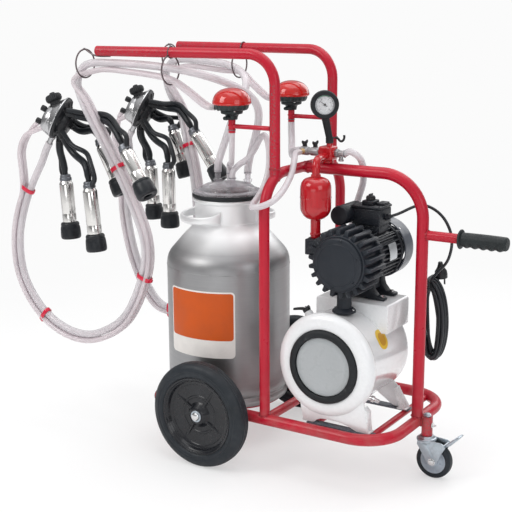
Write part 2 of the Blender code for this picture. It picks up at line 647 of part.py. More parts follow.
# ---------------------------------------------------------------------- tank
def tank_shell():
    y0, y1 = Y_TANK0, Y_TANK1
    shell = lathe([
        (0.1005, y0 + 0.002), (0.104, y0), (0.128, y0 + 0.002), (0.139, y0 + 0.010),
        (0.1425, y0 + 0.022), (0.139, y0 + 0.036), (R_TANK, y0 + 0.046), (R_TANK, y1 - 0.030),
        (0.118, y1 - 0.010), (0.085, y1 - 0.002), (0, y1), (0, y1 - 0.003), (0.084, y1 - 0.005),
        (0.1155, y1 - 0.0125), (R_TANK - 0.003, y1 - 0.031), (R_TANK - 0.003, y0 + 0.045),
        (0.135, y0 + 0.035), (0.138, y0 + 0.022), (0.1005, y0 + 0.014)],
        TANK_SIDES, TANK_CENTRE, ALONG_Y, closed=True)
    # saddle under the pump and motor
    saddle = prism([(0.330, 0.360), (0.330, 0.4740), (0.336, 0.4770), (0.541, 0.4770),
                    (0.547, 0.4740), (0.547, 0.360)], -0.060, 0.072)
    # near foot plate, hollowed to an arc, and far legs, standing on the foot bars
    plate = [(0.374, 0.1608), (0.386, 0.1608), (0.402, 0.176), (0.460, 0.176),
             (0.522, 0.1608), (0.553, 0.1608), (0.553, 0.168)]
    for degrees in range(-35, -146, -10):
        angle = math.radians(degrees)
        plate.append((X_TANK + 0.114 * cos(angle), Z_TANK + 0.114 * sin(angle)))
    plate.append((0.368, 0.168))
    legs = [(0.374, 0.1608), (0.405, 0.1608), (0.412, 0.215), (0.437, 0.215), (0.520, 0.1608),
            (0.5655, 0.1608), (0.5655, 0.168), (0.506, 0.245), (0.368, 0.245), (0.374, 0.168)]
    # tap socket, high on the can side
    socket = cyl((0.345, -0.098, 0.415), TAP_SEAT, 0.010, 6)
    ob = join([shell, saddle, prism(plate, -0.180, -0.1735), prism(legs, 0.048, 0.0545), socket])
    # clear the tank's inside, then hollow the saddle
    inside = cyl((X_TANK, y0 + 0.040, Z_TANK), (X_TANK, y1 - 0.033, Z_TANK),
                 R_TANK - 0.0028, TANK_SIDES)
    under_saddle = prism([(0.334, 0.355), (0.334, 0.4715), (0.543, 0.4715), (0.543, 0.355)],
                         -0.056, 0.0505)
    boolean(ob, [inside, under_saddle], 'DIFFERENCE')
    return ob


def tank_seal():
    y = Y_TANK0
    return lathe([(0.0810, y - 0.008), (0.0960, y - 0.008), (0.1000, y - 0.004), (0.1000, y),
                  (0.0985, y + 0.0012), (0.0985, y + 0.012), (0.0810, y + 0.012)],
                 TANK_SIDES, TANK_CENTRE, ALONG_Y, closed=True)


def tank_cover():
    y = Y_TANK0
    rim = (0.0810 - GAP) * cos(pi / TANK_SIDES)
    return lathe([(0, y - 0.0045), (0.070, y - 0.004), (0.0795, y - 0.0025), (rim, y),
                  (rim, y + 0.010), (0, y + 0.010)], TANK_SIDES, TANK_CENTRE, ALONG_Y)


def tank_tap_lever():
    """Hub and bent bar on the tap socket."""
    out = Vector((-0.020, 0, 0.026)).normalized()
    side = Vector((0.79, 0, 0.61))
    foot = TAP_SEAT + out * GAP
    hub = cyl(foot, foot + out * 0.012, 0.0105, 6)
    middle = foot + out * 0.008
    bar = tube([middle + side * 0.012, middle, middle - side * 0.010 + out * 0.006,
                middle - side * 0.034 + out * 0.018], [0.004, 0.0055, 0.0055, 0.0042], 6)
    ob = join([hub, bar])
    move_origin(ob, TAP_SEAT)
    return ob


# ------------------------------------------------------------- pump and motor
def pump_body():
    y_front = Y_PUMP0 - PUMP_FRONT
    barrel = prism(ribbed_outline(22, ((0.0, 0.0785), (0.30, 0.0785),
                                       (0.42, 0.0935), (0.88, 0.0935))), Y_PUMP0, Y_PUMP1)
    front = cyl((X_PUMP, y_front, Z_PUMP), (X_PUMP, Y_PUMP0 + 0.001, Z_PUMP), 0.0765, 14)
    inlet = box(0.3305, 0.3695, -0.126, -0.070, 0.606, 0.6490)
    link = box(0.352, 0.400, -0.116, -0.080, 0.612, 0.643)
    neck = cyl((X_PUMP, -0.100, 0.4665), (X_PUMP, -0.100, 0.530), 0.0195, 7)
    flange = lathe([(0, 0), (0.0315, 0), (0.0315, 0.007), (0.022, 0.014), (0, 0.014)],
                   9, (X_PUMP, -0.100, 0.4562))
    ob = join([barrel, front, inlet, link, neck, flange])
    # the chamber lies below the shaft's axis
    z = Z_PUMP - 0.007
    chamber = cyl((X_PUMP, Y_PUMP0 - 0.02, z), (X_PUMP, Y_PUMP1 - 0.010, z), 0.0560, 12)
    shaft_hole = cyl((X_PUMP, Y_PUMP1 - 0.02, Z_PUMP), (X_PUMP, Y_PUMP1 + 0.02, Z_PUMP),
                     bore(R_SHAFT + 0.0008, 6), 6)
    boolean(ob, [chamber, shaft_hole], 'DIFFERENCE')
    return ob


def pump_cover():
    y = Y_PUMP0 - PUMP_FRONT - GAP
    return lathe([(0, y), (0.0690, y), (0.0690, y - 0.007), (0.0655, y - 0.0105),
                  (0, y - 0.0115)], 14, PUMP_CENTRE, ALONG_Y)


def rotor_shaft():
    """Pump rotor, motor rotor and fan disc on one shaft, from -Y to +Y."""
    # radius, start and end of each step
    steps = [(0.0470, Y_PUMP0 - 0.003, Y_PUMP1 - 0.0125), (R_SHAFT, Y_PUMP1 - 0.0125, -0.028),
             (0.0440, -0.028, 0.070), (R_SHAFT, 0.070, 0.112),
             (0.0660, 0.112, 0.126), (R_SHAFT, 0.126, 0.148)]
    profile = [(0, steps[0][1])]
    for radius, start, end in steps:
        profile += [(radius, start), (radius, end)]
    profile.append((0, steps[-1][2]))
    return lathe(profile, 10, PUMP_CENTRE, ALONG_Y)


def motor_body():
    y0, y1 = Y_MOTOR0, Y_MOTOR1
    barrel = prism(ribbed_outline(18, ((0.0, 0.0690), (0.5, 0.0690),
                                       (0.62, 0.0755), (0.88, 0.0755))), y0 + 0.020, y1 - 0.012)
    near_end = lathe([(0, y0), (0.052, y0), (0.074, y0 + 0.010), (0.0775, y0 + 0.022),
                      (0, y0 + 0.022)], 13, PUMP_CENTRE, ALONG_Y)
    far_end = lathe([(0, y1 - 0.014), (0.0775, y1 - 0.014), (0.0775, y1), (0, y1)],
                    13, PUMP_CENTRE, ALONG_Y)
    foot = prism([(X_PUMP - 0.072, 0.4773), (X_PUMP + 0.078, 0.4773), (X_PUMP + 0.078, 0.4850),
                  (X_PUMP + 0.040, 0.5120), (X_PUMP + 0.036, 0.560), (X_PUMP - 0.036, 0.560),
                  (X_PUMP - 0.040, 0.5120), (X_PUMP - 0.072, 0.4850)], y0 + 0.024, 0.066)
    pad = box(X_PUMP - 0.030, X_PUMP + 0.046, 0.006, 0.066, Z_PUMP + 0.060, Z_PUMP + TERMINAL_PAD)
    ob = join([barrel, near_end, far_end, foot, pad])
    inside = cyl((X_PUMP, y0 - 0.01, Z_PUMP), (X_PUMP, y1 + 0.01, Z_PUMP), 0.0465, 11)
    boolean(ob, [inside], 'DIFFERENCE')
    return ob


def fan_cover():
    y0, y1 = Y_MOTOR1 + GAP, Y_FAN1
    return lathe([(0.0800, y0), (0.0830, y0), (0.0830, y1 - 0.010), (0.0760, y1), (0, y1),
                  (0, y1 - 0.0025), (0.0745, y1 - 0.0025), (0.0800, y1 - 0.011)],
                 14, PUMP_CENTRE, ALONG_Y, closed=True)


def terminal_box():
    """Box on the motor, with a drum lying beside it and a block on top."""
    x, z = X_PUMP, Z_TERMINAL
    return join([box(x - 0.034, x + 0.050, 0.000, 0.072, z, z + 0.052),
                 cyl((x - 0.052, -0.040, z + 0.026), (x - 0.052, 0.064, z + 0.026), 0.0265, 9),
                 box(x - 0.012, x + 0.022, 0.016, 0.056, z + 0.050, z + 0.064)])


def switch_knob():
    knob = lathe([(0, 0), (0.0125, 0), (0.0125, 0.008), (0.011, 0.0110), (0, 0.0118)],
                 7, KNOB_ORIGIN)
    grip = box(X_PUMP + 0.0028, X_PUMP + 0.0072, 0.0255, 0.0465,
               Z_TERMINAL + 0.070, Z_TERMINAL + 0.0810)
    return join([knob, grip], KNOB_ORIGIN)


def power_cable():
    """Cable from the terminal box, ending in a hanging coil."""
    lead = spline([(X_PUMP + 0.0545, 0.036, Z_TERMINAL + 0.020),
                   (X_PUMP + 0.085, 0.045, Z_TERMINAL + 0.032), (0.585, 0.055, 0.736),
                   (0.640, 0.060, 0.712), (0.668, 0.066, 0.655), (0.655, 0.078, 0.590),
                   (0.618, 0.088, 0.545)], 3)
    turns, steps_per_turn = 3, 8
    coil = []
    for k in range(turns * steps_per_turn + 1):
        t = k / steps_per_turn
        angle = 2 * pi * t + pi / 2
        growth = 0.004 * t / turns
        # narrow hanging loops, stepped along Y so the turns stay apart
        coil.append(Vector((0.601 - (0.036 + growth) * cos(angle) - 0.004 * sin(angle),
                            0.096 + 0.0125 * t,
                            0.408 + (0.112 + growth) * sin(angle))))
    return tube(lead[:-1] + coil + [Vector((0.606, 0.140, 0.560))], 0.0040, 5)


# ---------------------------------------------------------------- vacuum line
def vacuum_trap():
    """Round vessel above the pump inlet, with a bent pipe to the manifold."""
    x, y, z_pipe = X_TRAP, Y_TRAP, 0.8580
    vessel = lathe([(0, 0.699), (0.0180, 0.6995), (0.0300, 0.706), (0.0400, 0.722),
                    (0.0415, 0.740), (0.0415, 0.782), (0.0390, 0.798), (0.0300, 0.808),
                    (0.0180, 0.812), (0, 0.8125)], 11, (x, y, 0))
    lower = cyl((x, y, 0.6493), (x, y, 0.702), 0.0135, 6)
    upper = tube(fillet([(x, y, 0.806), (x, y, z_pipe), (X_MAN, -0.0236, z_pipe)], 0.022),
                 0.0105, 6)
    return join([vessel, lower, upper])


def manifold():
    x, z = X_MAN, Z_MAN
    parts = [box(x - 0.020, x + 0.020, -0.020, 0.020, z - 0.020, z + 0.0180),
             cyl((x, 0, Z_CROSS + R_MAIN + 0.0002), (x, 0, z - 0.015), 0.0130, 6),
             cyl((0.240, 0, z), (x - 0.018, 0, z), 0.0095, 6),
             cyl((x + 0.018, 0, z), (x + 0.058, 0, z), 0.0080, 6),
             cyl((X_GAUGE_SOCKET, 0, z + 0.012), (X_GAUGE_SOCKET, 0, z + GAUGE_SOCKET_TOP),
                 0.0085, 6)]
    for tap in X_TAPS:
        parts.append(cyl((tap, 0, z - 0.002), (tap, 0, z + TAP_TOP), 0.0082, 6))
    for tap, s in zip(X_TAPS, (-1, 1)):               # one hose spout on each side
        parts.append(cyl((tap, s * 0.004, z), (tap, s * 0.028, z), 0.0060, 6))
    return join(parts)


def tap_lever(x):
    z = Z_MAN + TAP_TOP + GAP
    stem = cyl((x, 0, z), (x, 0, z + 0.008), 0.0050, 6)
    wing = box(x - 0.0035, x + 0.0035, -0.0150, 0.0150, z + 0.004, z + 0.013)
    return join([stem, wing], (x, 0, z))


def gauge_case():
    body = lathe([(0, 0), (0.026, 0), (0.034, 0.004), (R_GAUGE, 0.010), (R_GAUGE, 0.030),
                  (0.0345, 0.0335), (0.0300, 0.0335), (0.0292, DIAL_DEPTH), (0, DIAL_DEPTH)],
                 13, GAUGE_BACK, GAUGE_D)
    above = GAUGE_C - GAUGE_D * 0.004
    stem = tube([Vector((X_GAUGE_SOCKET, 0, Z_MAN + GAUGE_SOCKET_TOP + GAP)),
                 Vector((X_GAUGE_SOCKET, 0, Z_MAN + 0.034)),
                 above - Vector((0, 0, 0.040)), above - Vector((0, 0, 0.026))], 0.0098, 6)
    return join([body, stem])


def gauge_needle():
    centre = GAUGE_BACK + GAUGE_D * (DIAL_DEPTH + GAP)
    hub = lathe([(0, 0), (0.0036, 0), (0.0036, 0.0030), (0, 0.0030)], 6, centre, GAUGE_D)
    # tapered pointer: (along, across) corners at its lower and upper face
    corners = ((-0.009, -0.0012), (-0.009, 0.0012), (0.0215, 0.0006), (0.0215, -0.0006))
    turned = frame_at(centre, GAUGE_D) @ Matrix.Rotation(NEEDLE_ANGLE, 4, 'Z')
    pointer = loft([[turned @ Vector((along, across, z)) for along, across in corners]
                    for z in (0.0008, 0.0018)])
    return join([hub, pointer], centre)


# ----------------------------------------------------------------- pulsators
def pulsator_base(s):
    y, z = s * Y_ARM, Z_SPIGOT + GAP
    bowl = lathe([(0, z), (0.0150, z), (0.0170, z + 0.012), (0.0290, z + 0.016),
                  (0.0300, z + 0.024), (0.0440, z + 0.028), (0.0475, z + 0.040),
                  (0, z + 0.040)], 12, (X_PULSATOR, y, 0))
    return join([bowl, cyl((0.085, y, z + 0.034), (0.060, y, z + 0.034), 0.0050, 6)])


def pulsator_cap(s):
    z = Z_SPIGOT + GAP + 0.040 + GAP
    return lathe([(0, z), (0.0500, z), (0.0525, z + 0.005), (0.0515, z + 0.014),
                  (0.0455, z + 0.026), (0.0340, z + 0.036), (0.018, z + 0.0425),
                  (0, z + 0.0445)], 12, (X_PULSATOR, s * Y_ARM, 0))


# ------------------------------------------------------------------ clusters
def claw_centre(tag):
    return Vector(CLUSTERS[tag][0])


def cup(tag, index):
    """Top, bottom, unit axis and length of one teat cup."""
    top, bottom = (Vector(p) for p in CLUSTERS[tag][1][index])
    return top, bottom, (bottom - top).normalized(), (bottom - top).length


def nipple(tag, index):
    """Tip and direction of one nipple on the claw's flat side."""
    centre = claw_centre(tag)
    s = 1 if cup(tag, index)[0].y > centre.y else -1
    n, e, f, toward_n, toward_e = NIPPLES[index]
    direction = (CLAW_N * toward_n + CLAW_E * toward_e).normalized()
    base = centre + CLAW_N * n + CLAW_E * e + CLAW_F * f * s
    return base + direction * 0.030, direction


def claw_outlet(tag):
    """Tip of the milk outlet at the claw's lowest rim."""
    return claw_centre(tag) - CLAW_E * 0.045 + OUTLET_AXIS * 0.040


def valve_seat(tag):
    return claw_centre(tag) + CLAW_N * 0.035 + CLAW_E * 0.037


def claw_body(tag):
    parts = [lathe([(0, -0.016), (0.0400, -0.0160), (0.0480, -0.0120), (0.0600, -0.0075),
                    (0.0640, -0.0040), (0.0640, 0.0040), (0.0600, 0.0080), (0.0500, 0.0180),
                    (0.0400, 0.0260), (0.0280, 0.0320), (0, 0.0360)],
                   10, claw_centre(tag), CLAW_N)]
    for index in range(4):
        tip, direction = nipple(tag, index)
        parts.append(cyl(tip - direction * 0.033, tip, 0.0070, 6))
    outlet, seat = claw_outlet(tag), valve_seat(tag)
    parts.append(cyl(outlet - OUTLET_AXIS * 0.034, outlet, 0.0080, 6))
    parts.append(cyl(seat - VALVE_AXIS * 0.028, seat, 0.0165, 6))
    return join(parts)


def claw_valve(tag):
    return lathe([(0, 0), (0.0205, 0), (0.0235, 0.005), (0.0235, 0.0160), (0.0200, 0.0200),
                  (0.0090, 0.0215), (0.0080, 0.0265), (0, 0.0270)],
                 7, valve_seat(tag) + VALVE_AXIS * GAP, VALVE_AXIS)


def liner_path(tag, index):
    """Bezier curve from the nipple to just above the cup, then straight through it."""
    top, bottom, axis, _ = cup(tag, index)
    tip, direction = nipple(tag, index)
    start = tip + direction * 0.004
    end = top - axis * LINER_LEAD
    reach = (top - start).length
    nipple_pull, cup_pull = LINER_PULLS[index]
    control0 = start + direction * (nipple_pull * reach)
    control1 = end - axis * (cup_pull * reach)
    path = [tip + direction * 2 * GAP]
    for k in range(LINER_STEPS + 1):
        t = k / LINER_STEPS
        path.append((1 - t) ** 3 * start + 3 * (1 - t) ** 2 * t * control0
                    + 3 * (1 - t) * t * t * control1 + t ** 3 * end)
    return path + [top + axis * 0.006, bottom]


def liner(tag, index):
    path = liner_path(tag, index)
    end = length_of(path)
    mouth = end - MOUTH
    # short milk tube: one ring at each path point before the straight part
    profile = []
    straight = 0.0
    for a, b in zip(path[:-3], path[1:]):
        profile.append((straight, R_MILK))
        straight += (b - a).length
    # cup barrel and mouthpiece, then back down the bore
    profile += [(straight, R_MILK), (straight + 0.030, R_MILK), (straight + 0.038, 0.0150),
                (mouth - 0.001, 0.0150), (mouth, 0.0250), (mouth + 0.006, 0.0298),
                (end - 0.008, 0.0305), (end, 0.0268), (end, 0.0124), (mouth - 0.040, 0.0122)]
    return swept(path, profile, 6)


def teat_shell(tag, index):
    sides = 7
    top, _, axis, length = cup(tag, index)
    end = length - MOUTH - 0.0012
    hole = bore(R_MILK + 2 * GAP, sides)
    return lathe([(hole, 0.0), (0.0150, 0.0), (0.0165, 0.006), (0.0165, 0.020), (R_SHELL, 0.026),
                  (R_SHELL, end), (0.0196, end), (0.0196, 0.030), (hole, 0.018)],
                 sides, top, axis, closed=True)


# --------------------------------------------------------------------- hoses
def milk_hose(tag):
    """Hose from a lid port over the arm and down to the claw outlet."""
    port, third, guides = MILK_ROUTES[tag]
    start = port_top(port)
    path = [start, start + Vector((0, 0, 0.010)), start + Vector(third)] + guides
    path += [claw_outlet(tag) + OUTLET_AXIS * away for away in (0.030, 0.012, 0.0006)]
    return tube(path, R_MILK_HOSE, HOSE_SIDES)


def vacuum_hose():
    end = [port_top(3) + Vector((0, 0, rise)) for rise in (0.020, 0.008, 0)]
    return tube(VACUUM_ROUTE + end, R_VACUUM_HOSE, HOSE_SIDES)


# ----------------------------------------------------------------- materials
def material(name, colour, roughness, metallic=0.0):
    mat = bpy.data.materials.new(name)
    mat.use_nodes = True
    inputs = mat.node_tree.nodes['Principled BSDF'].inputs
    inputs['Base Color'].default_value = (*colour, 1)
    inputs['Roughness'].default_value = roughness
    inputs['Metallic'].default_value = metallic
    mat.diffuse_color = (*colour, 1)
    return mat


for old_object in list(bpy.data.objects):
    bpy.data.objects.remove(old_object, do_unlink=True)

RED = material('red_powder_coat', colour=(0.55, 0.015, 0.04), roughness=0.35)
BRIGHT_RED = material('red_enamel', colour=(0.70, 0.01, 0.02), roughness=0.25)
ALUMINIUM = material('satin_aluminium', colour=(0.62, 0.62, 0.62), roughness=0.38, metallic=1.0)
STEEL = material('stainless', colour=(0.70, 0.69, 0.67), roughness=0.22, metallic=1.0)
ZINC = material('zinc', colour=(0.60, 0.62, 0.64), roughness=0.35, metallic=1.0)
BLACK_RUBBER = material('black_rubber', colour=(0.02, 0.022, 0.024), roughness=0.6)
BLACK_PLASTIC = material('black_plastic', colour=(0.015, 0.015, 0.018), roughness=0.4)
TYRE = material('tyre', colour=(0.035, 0.042, 0.05), roughness=0.55)
GREY_PLASTIC = material('grey_plastic', colour=(0.25, 0.26, 0.27), roughness=0.5)
WHITE = material('white_enamel', colour=(0.85, 0.86, 0.86), roughness=0.25)
SLATE = material('slate_casting', colour=(0.035, 0.045, 0.055), roughness=0.5)
GREY_CAP = material('grey_cap', colour=(0.42, 0.44, 0.45), roughness=0.3)
DIAL = material('dial_black', colour=(0.02, 0.02, 0.02), roughness=0.3)
CLEAR = material('clear_vinyl', colour=(0.75, 0.72, 0.76), roughness=0.2)
DARK_BASE = material('dark_base', colour=(0.04, 0.06, 0.06), roughness=0.45)

# --------------------------------------------------------------------- build
place('frame', frame(), RED)
place('handle_grip', handle_grip(), BLACK_RUBBER)
for tag, s in SIDES:
    hub = (X_AXLE, s * Y_WHEEL, R_WHEEL)
    place('wheel_' + tag, wheel(s), BLACK_PLASTIC, hub)
    place('tyre_' + tag, tyre(s), TYRE, hub)
    place('axle_bolt_' + tag, axle_bolt(s), ZINC)
place('castor_stem', castor_stem(), ZINC)
place('castor_fork', castor_fork(), ZINC)
place('castor_wheel', castor_wheel(), GREY_PLASTIC, (X_CASTOR_WHEEL, 0, Z_CASTOR_WHEEL))
place('castor_brake', castor_brake(), ZINC)

place('can_body', can_body(), ALUMINIUM)
place('can_lid', can_lid(), CLEAR)
place('lid_gasket', lid_gasket(), BLACK_RUBBER)

place('tank_shell', tank_shell(), WHITE)
place('tank_seal', tank_seal(), BLACK_RUBBER)
place('tank_cover', tank_cover(), GREY_CAP)
place('tank_tap_lever', tank_tap_lever(), BLACK_PLASTIC)

place('pump_body', pump_body(), SLATE)
place('pump_cover', pump_cover(), SLATE)
place('rotor_shaft', rotor_shaft(), STEEL, PUMP_CENTRE)
place('motor_body', motor_body(), SLATE)
place('fan_cover', fan_cover(), SLATE)
place('terminal_box', terminal_box(), SLATE)
place('switch_knob', switch_knob(), SLATE)
place('power_cable', power_cable(), BLACK_RUBBER)

place('vacuum_trap', vacuum_trap(), BRIGHT_RED)
place('manifold', manifold(), BRIGHT_RED)
place('tap_lever_left', tap_lever(X_TAPS[0]), BLACK_PLASTIC)
place('tap_lever_right', tap_lever(X_TAPS[1]), BLACK_PLASTIC)
place('gauge_case', gauge_case(), BLACK_RUBBER)
place('gauge_needle', gauge_needle(), DIAL)

for tag, s in SIDES:
    place('pulsator_base_' + tag, pulsator_base(s), DARK_BASE)
    place('pulsator_cap_' + tag, pulsator_cap(s), BRIGHT_RED)
    place('claw_body_' + tag, claw_body(tag), STEEL)
    place('claw_valve_' + tag, claw_valve(tag), BLACK_RUBBER, valve_seat(tag))
    for index in range(4):
        place(f'teat_shell_{tag}_{index + 1}', teat_shell(tag, index), STEEL)
        place(f'liner_{tag}_{index + 1}', liner(tag, index), BLACK_RUBBER)
    place('milk_hose_' + tag, milk_hose(tag), CLEAR)
place('vacuum_hose', vacuum_hose(), CLEAR)
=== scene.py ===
"""Portable milking machine with two clusters on a tubular trolley.

X runs along the trolley from the milk can towards the castor and handle, -Y is
the near side and Z is up from the floor. Shapes are laid out round the can's
centre, and piece() shifts them by OX to the middle of the CAD model. Metres.
"""
import bpy
import bmesh
import math
import random
from math import pi, sin, cos, sqrt, radians
from mathutils import Vector, Matrix


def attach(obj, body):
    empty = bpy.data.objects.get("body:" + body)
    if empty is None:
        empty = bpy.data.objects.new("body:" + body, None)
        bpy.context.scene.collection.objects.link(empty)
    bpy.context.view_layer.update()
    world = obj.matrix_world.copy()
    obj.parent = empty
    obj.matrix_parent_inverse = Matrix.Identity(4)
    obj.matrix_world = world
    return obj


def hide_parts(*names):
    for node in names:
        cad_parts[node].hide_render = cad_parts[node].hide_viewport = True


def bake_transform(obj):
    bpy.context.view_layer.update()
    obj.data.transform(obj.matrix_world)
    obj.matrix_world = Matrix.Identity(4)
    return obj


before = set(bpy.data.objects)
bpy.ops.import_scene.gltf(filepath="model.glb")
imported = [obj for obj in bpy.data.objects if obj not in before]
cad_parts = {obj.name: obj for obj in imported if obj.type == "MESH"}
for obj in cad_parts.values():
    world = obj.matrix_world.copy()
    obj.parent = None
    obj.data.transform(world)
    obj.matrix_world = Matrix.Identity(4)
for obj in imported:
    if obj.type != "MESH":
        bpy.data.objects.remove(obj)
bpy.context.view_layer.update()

# ---------------------------------------------------------------- dimensions
HOSE_STEPS = 9         # segments between two guide points of a hose
GAP = 0.0003           # clearance between neighbouring pieces
OX = -0.09825          # shift from the can's centre to the machine's middle

X_AXIS, Y_AXIS, Z_AXIS = (1, 0, 0), (0, 1, 0), (0, 0, 1)
SIDES = (('near', -1), ('far', 1))

# trolley
Z_RAIL = 0.151         # centre height of the base rails
Y_RAIL = 0.21          # half spacing of the base rails
X_RAIL = -0.11         # open rail ends, under the can
X_END = 0.6137         # castor-end rail and hoop post
X_POST = 0.256         # inverted-U posts
R_MAIN = 0.0158        # base loop and hoop tube radius
R_POST = 0.0142        # post and arm tube radius
WALL = 0.002           # tube wall
R_CORNER = 0.105       # base loop corner radius
Z_CROSS = 0.8214       # hoop run and cross tube height
Y_ARM = 0.1557         # half spacing of the upper posts
Z_ARM = 1.132          # arm height
X_TIP, Y_TIP = -0.306, 0.193       # arm tips
Z_HANDLE = 0.668       # handle tube height
X_GRIP0, X_GRIP1 = 0.7165, 0.8457
X_BARS = (0.385, 0.556)            # cross bars under the tank
X_TRAY_BARS = (-0.075, 0.075)      # carrier bars of the can tray

# wheels
X_AXLE, R_WHEEL = 0.0827, 0.15
Y_WHEEL = 0.24         # inner reference face of a wheel
R_AXLE_BORE = 0.0094
X_CASTOR = 0.6435      # castor swivel axis
X_CWHEEL, Z_CWHEEL = 0.668, 0.05

# can
R_CAN, Z_CAN0, Z_CAN1 = 0.18, 0.1274, 0.5366
R_NECK, Z_RIM = 0.0955, 0.715

# vacuum tank, lying along Y
X_TANK, Z_TANK, R_TANK = 0.4246, 0.325, 0.13
Y_TANK0, Y_TANK1 = -0.1895, 0.085

# pump and motor on one axis along Y
X_PUMP, Z_PUMP = 0.438, 0.594
Y_PUMP0, Y_PUMP1 = -0.132, -0.045
Y_MOTOR1, Y_FAN1 = 0.1, 0.16
Z_TBOX = Z_PUMP + 0.0815 + GAP     # underside of the terminal box

# vacuum fittings
X_TRAP, Y_TRAP = 0.3475, -0.098
X_MAN, Z_MAN = 0.33, 0.865
X_TAPS = (0.257, 0.29)

# pulsators
X_PULSATOR = 0.121
Z_SPIGOT = 0.9575      # top of the spigots that carry the pulsators
Z_PULSATOR = Z_SPIGOT + GAP


# ------------------------------------------------------------ geometry tools
# A solid is (vertices, faces). A turned profile is a list of (radius, height).
def vec(x, y, z):
    return Vector((x, y, z))


def frame_at(origin, direction, up=None):
    """Matrix at origin: local +Z along direction, local +X on the side of up."""
    z = Vector(direction).normalized()
    if up is None:
        up = Z_AXIS if abs(z.z) < 0.9 else X_AXIS
    up = Vector(up)
    x = (up - z * up.dot(z)).normalized()
    matrix = Matrix((x, z.cross(x), z)).transposed().to_4x4()
    matrix.translation = Vector(origin)
    return matrix


def raised(base, profile):
    """Profile whose heights are counted from base."""
    return [(radius, base + height) for radius, height in profile]


def lathe(profile, count, origin, axis=Z_AXIS, closed=False):
    """Turned solid of a profile along the axis; closed joins last row to first."""
    matrix = frame_at(origin, axis)
    verts, rows = [], []
    for radius, height in profile:
        start = len(verts)
        if radius < 1e-7:
            rows.append([start])
            verts.append(matrix @ Vector((0, 0, height)))
            continue
        rows.append([start + j for j in range(count)])
        for j in range(count):
            angle = 2 * pi * j / count
            verts.append(matrix @ Vector((radius * cos(angle), radius * sin(angle), height)))
    faces = []
    for i in range(len(rows) if closed else len(rows) - 1):
        low, high = rows[i], rows[(i + 1) % len(rows)]
        if len(low) == 1 and len(high) == 1:
            continue
        for j in range(count):
            k = (j + 1) % count
            if len(low) == 1:
                faces.append((low[0], high[k], high[j]))
            elif len(high) == 1:
                faces.append((low[j], low[k], high[0]))
            else:
                faces.append((low[j], low[k], high[k], high[j]))
    if not closed:
        faces += [tuple(row) for row in (rows[0], rows[-1]) if len(row) > 1]
    return verts, faces


def rounded(profile, rad, steps=3, closed=False):
    """Profile with its corners rounded to small arcs."""
    corners = [Vector(p) for p in profile]
    out = []
    last = len(corners) - 1
    for i, corner in enumerate(corners):
        to_prev = corners[i - 1] - corner
        to_next = corners[(i + 1) % len(corners)] - corner
        prev_len, next_len = to_prev.length, to_next.length
        if (not closed and i in (0, last)) or prev_len < 1e-6 or next_len < 1e-6:
            out.append((corner.x, corner.y))
            continue
        to_prev, to_next = to_prev / prev_len, to_next / next_len
        angle = math.acos(max(-1, min(1, to_prev.dot(to_next))))
        if angle > radians(158) or angle < radians(8):
            out.append((corner.x, corner.y))
            continue
        reach = min(rad / math.tan(angle / 2), 0.42 * prev_len, 0.42 * next_len)
        start, end = corner + to_prev * reach, corner + to_next * reach
        for step in range(steps + 1):
            f = step / steps
            point = start * (1 - f) ** 2 + corner * 2 * f * (1 - f) + end * f * f
            out.append((max(point.x, 0.0), point.y))
    return out


def turned(profile, count, origin, axis=Z_AXIS, rad=0.0012, steps=3):
    """Turned solid with rounded corners."""
    return lathe(rounded(profile, rad, steps), count, origin, axis)


def turned_ring(profile, count, origin, axis=Z_AXIS, rad=0.0008, steps=2):
    """Turned solid with rounded corners whose profile closes on itself."""
    return lathe(rounded(profile, rad, steps, True), count, origin, axis, True)


def block_profile(radius, bottom, top):
    return [(0, bottom), (radius, bottom), (radius, top), (0, top)]


def puck(radius, bottom, top, count, origin, axis=Z_AXIS, rad=0.0012):
    return turned(block_profile(radius, bottom, top), count, origin, axis, rad)


def cyl(start, end, radius, count):
    start, end = Vector(start), Vector(end)
    return lathe([(radius, 0), (radius, (end - start).length)], count, start, end - start)


def fillet(points, radius, steps):
    """Polyline with its inner corners rounded to arcs of so many steps."""
    points = [Vector(p) for p in points]
    out = [points[0]]
    for before, corner, after in zip(points, points[1:], points[2:]):
        a = (before - corner).normalized()
        b = (after - corner).normalized()
        half = a.angle(b) / 2
        reach = radius / math.tan(half)
        centre = corner + (a + b).normalized() * (radius / sin(half))
        first = corner + a * reach - centre
        last = corner + b * reach - centre
        sweep = first.angle(last)
        for k in range(steps + 1):
            f = k / steps
            arm = (first * sin((1 - f) * sweep) + last * sin(f * sweep)) / sin(sweep)
            out.append(centre + arm)
    out.append(points[-1])
    return out


def spline(points, steps):
    """Catmull-Rom curve through the points."""
    pts = [Vector(p) for p in points]
    pts = [pts[0] * 2 - pts[1]] + pts + [pts[-1] * 2 - pts[-2]]
    out = []
    for p0, p1, p2, p3 in zip(pts, pts[1:], pts[2:], pts[3:]):
        for k in range(steps):
            t = k / steps
            out.append(0.5 * ((2 * p1) + (p2 - p0) * t
                              + (2 * p0 - 5 * p1 + 4 * p2 - p3) * t * t
                              + (3 * p1 - p0 - 3 * p2 + p3) * t * t * t))
    out.append(pts[-2])
    return out


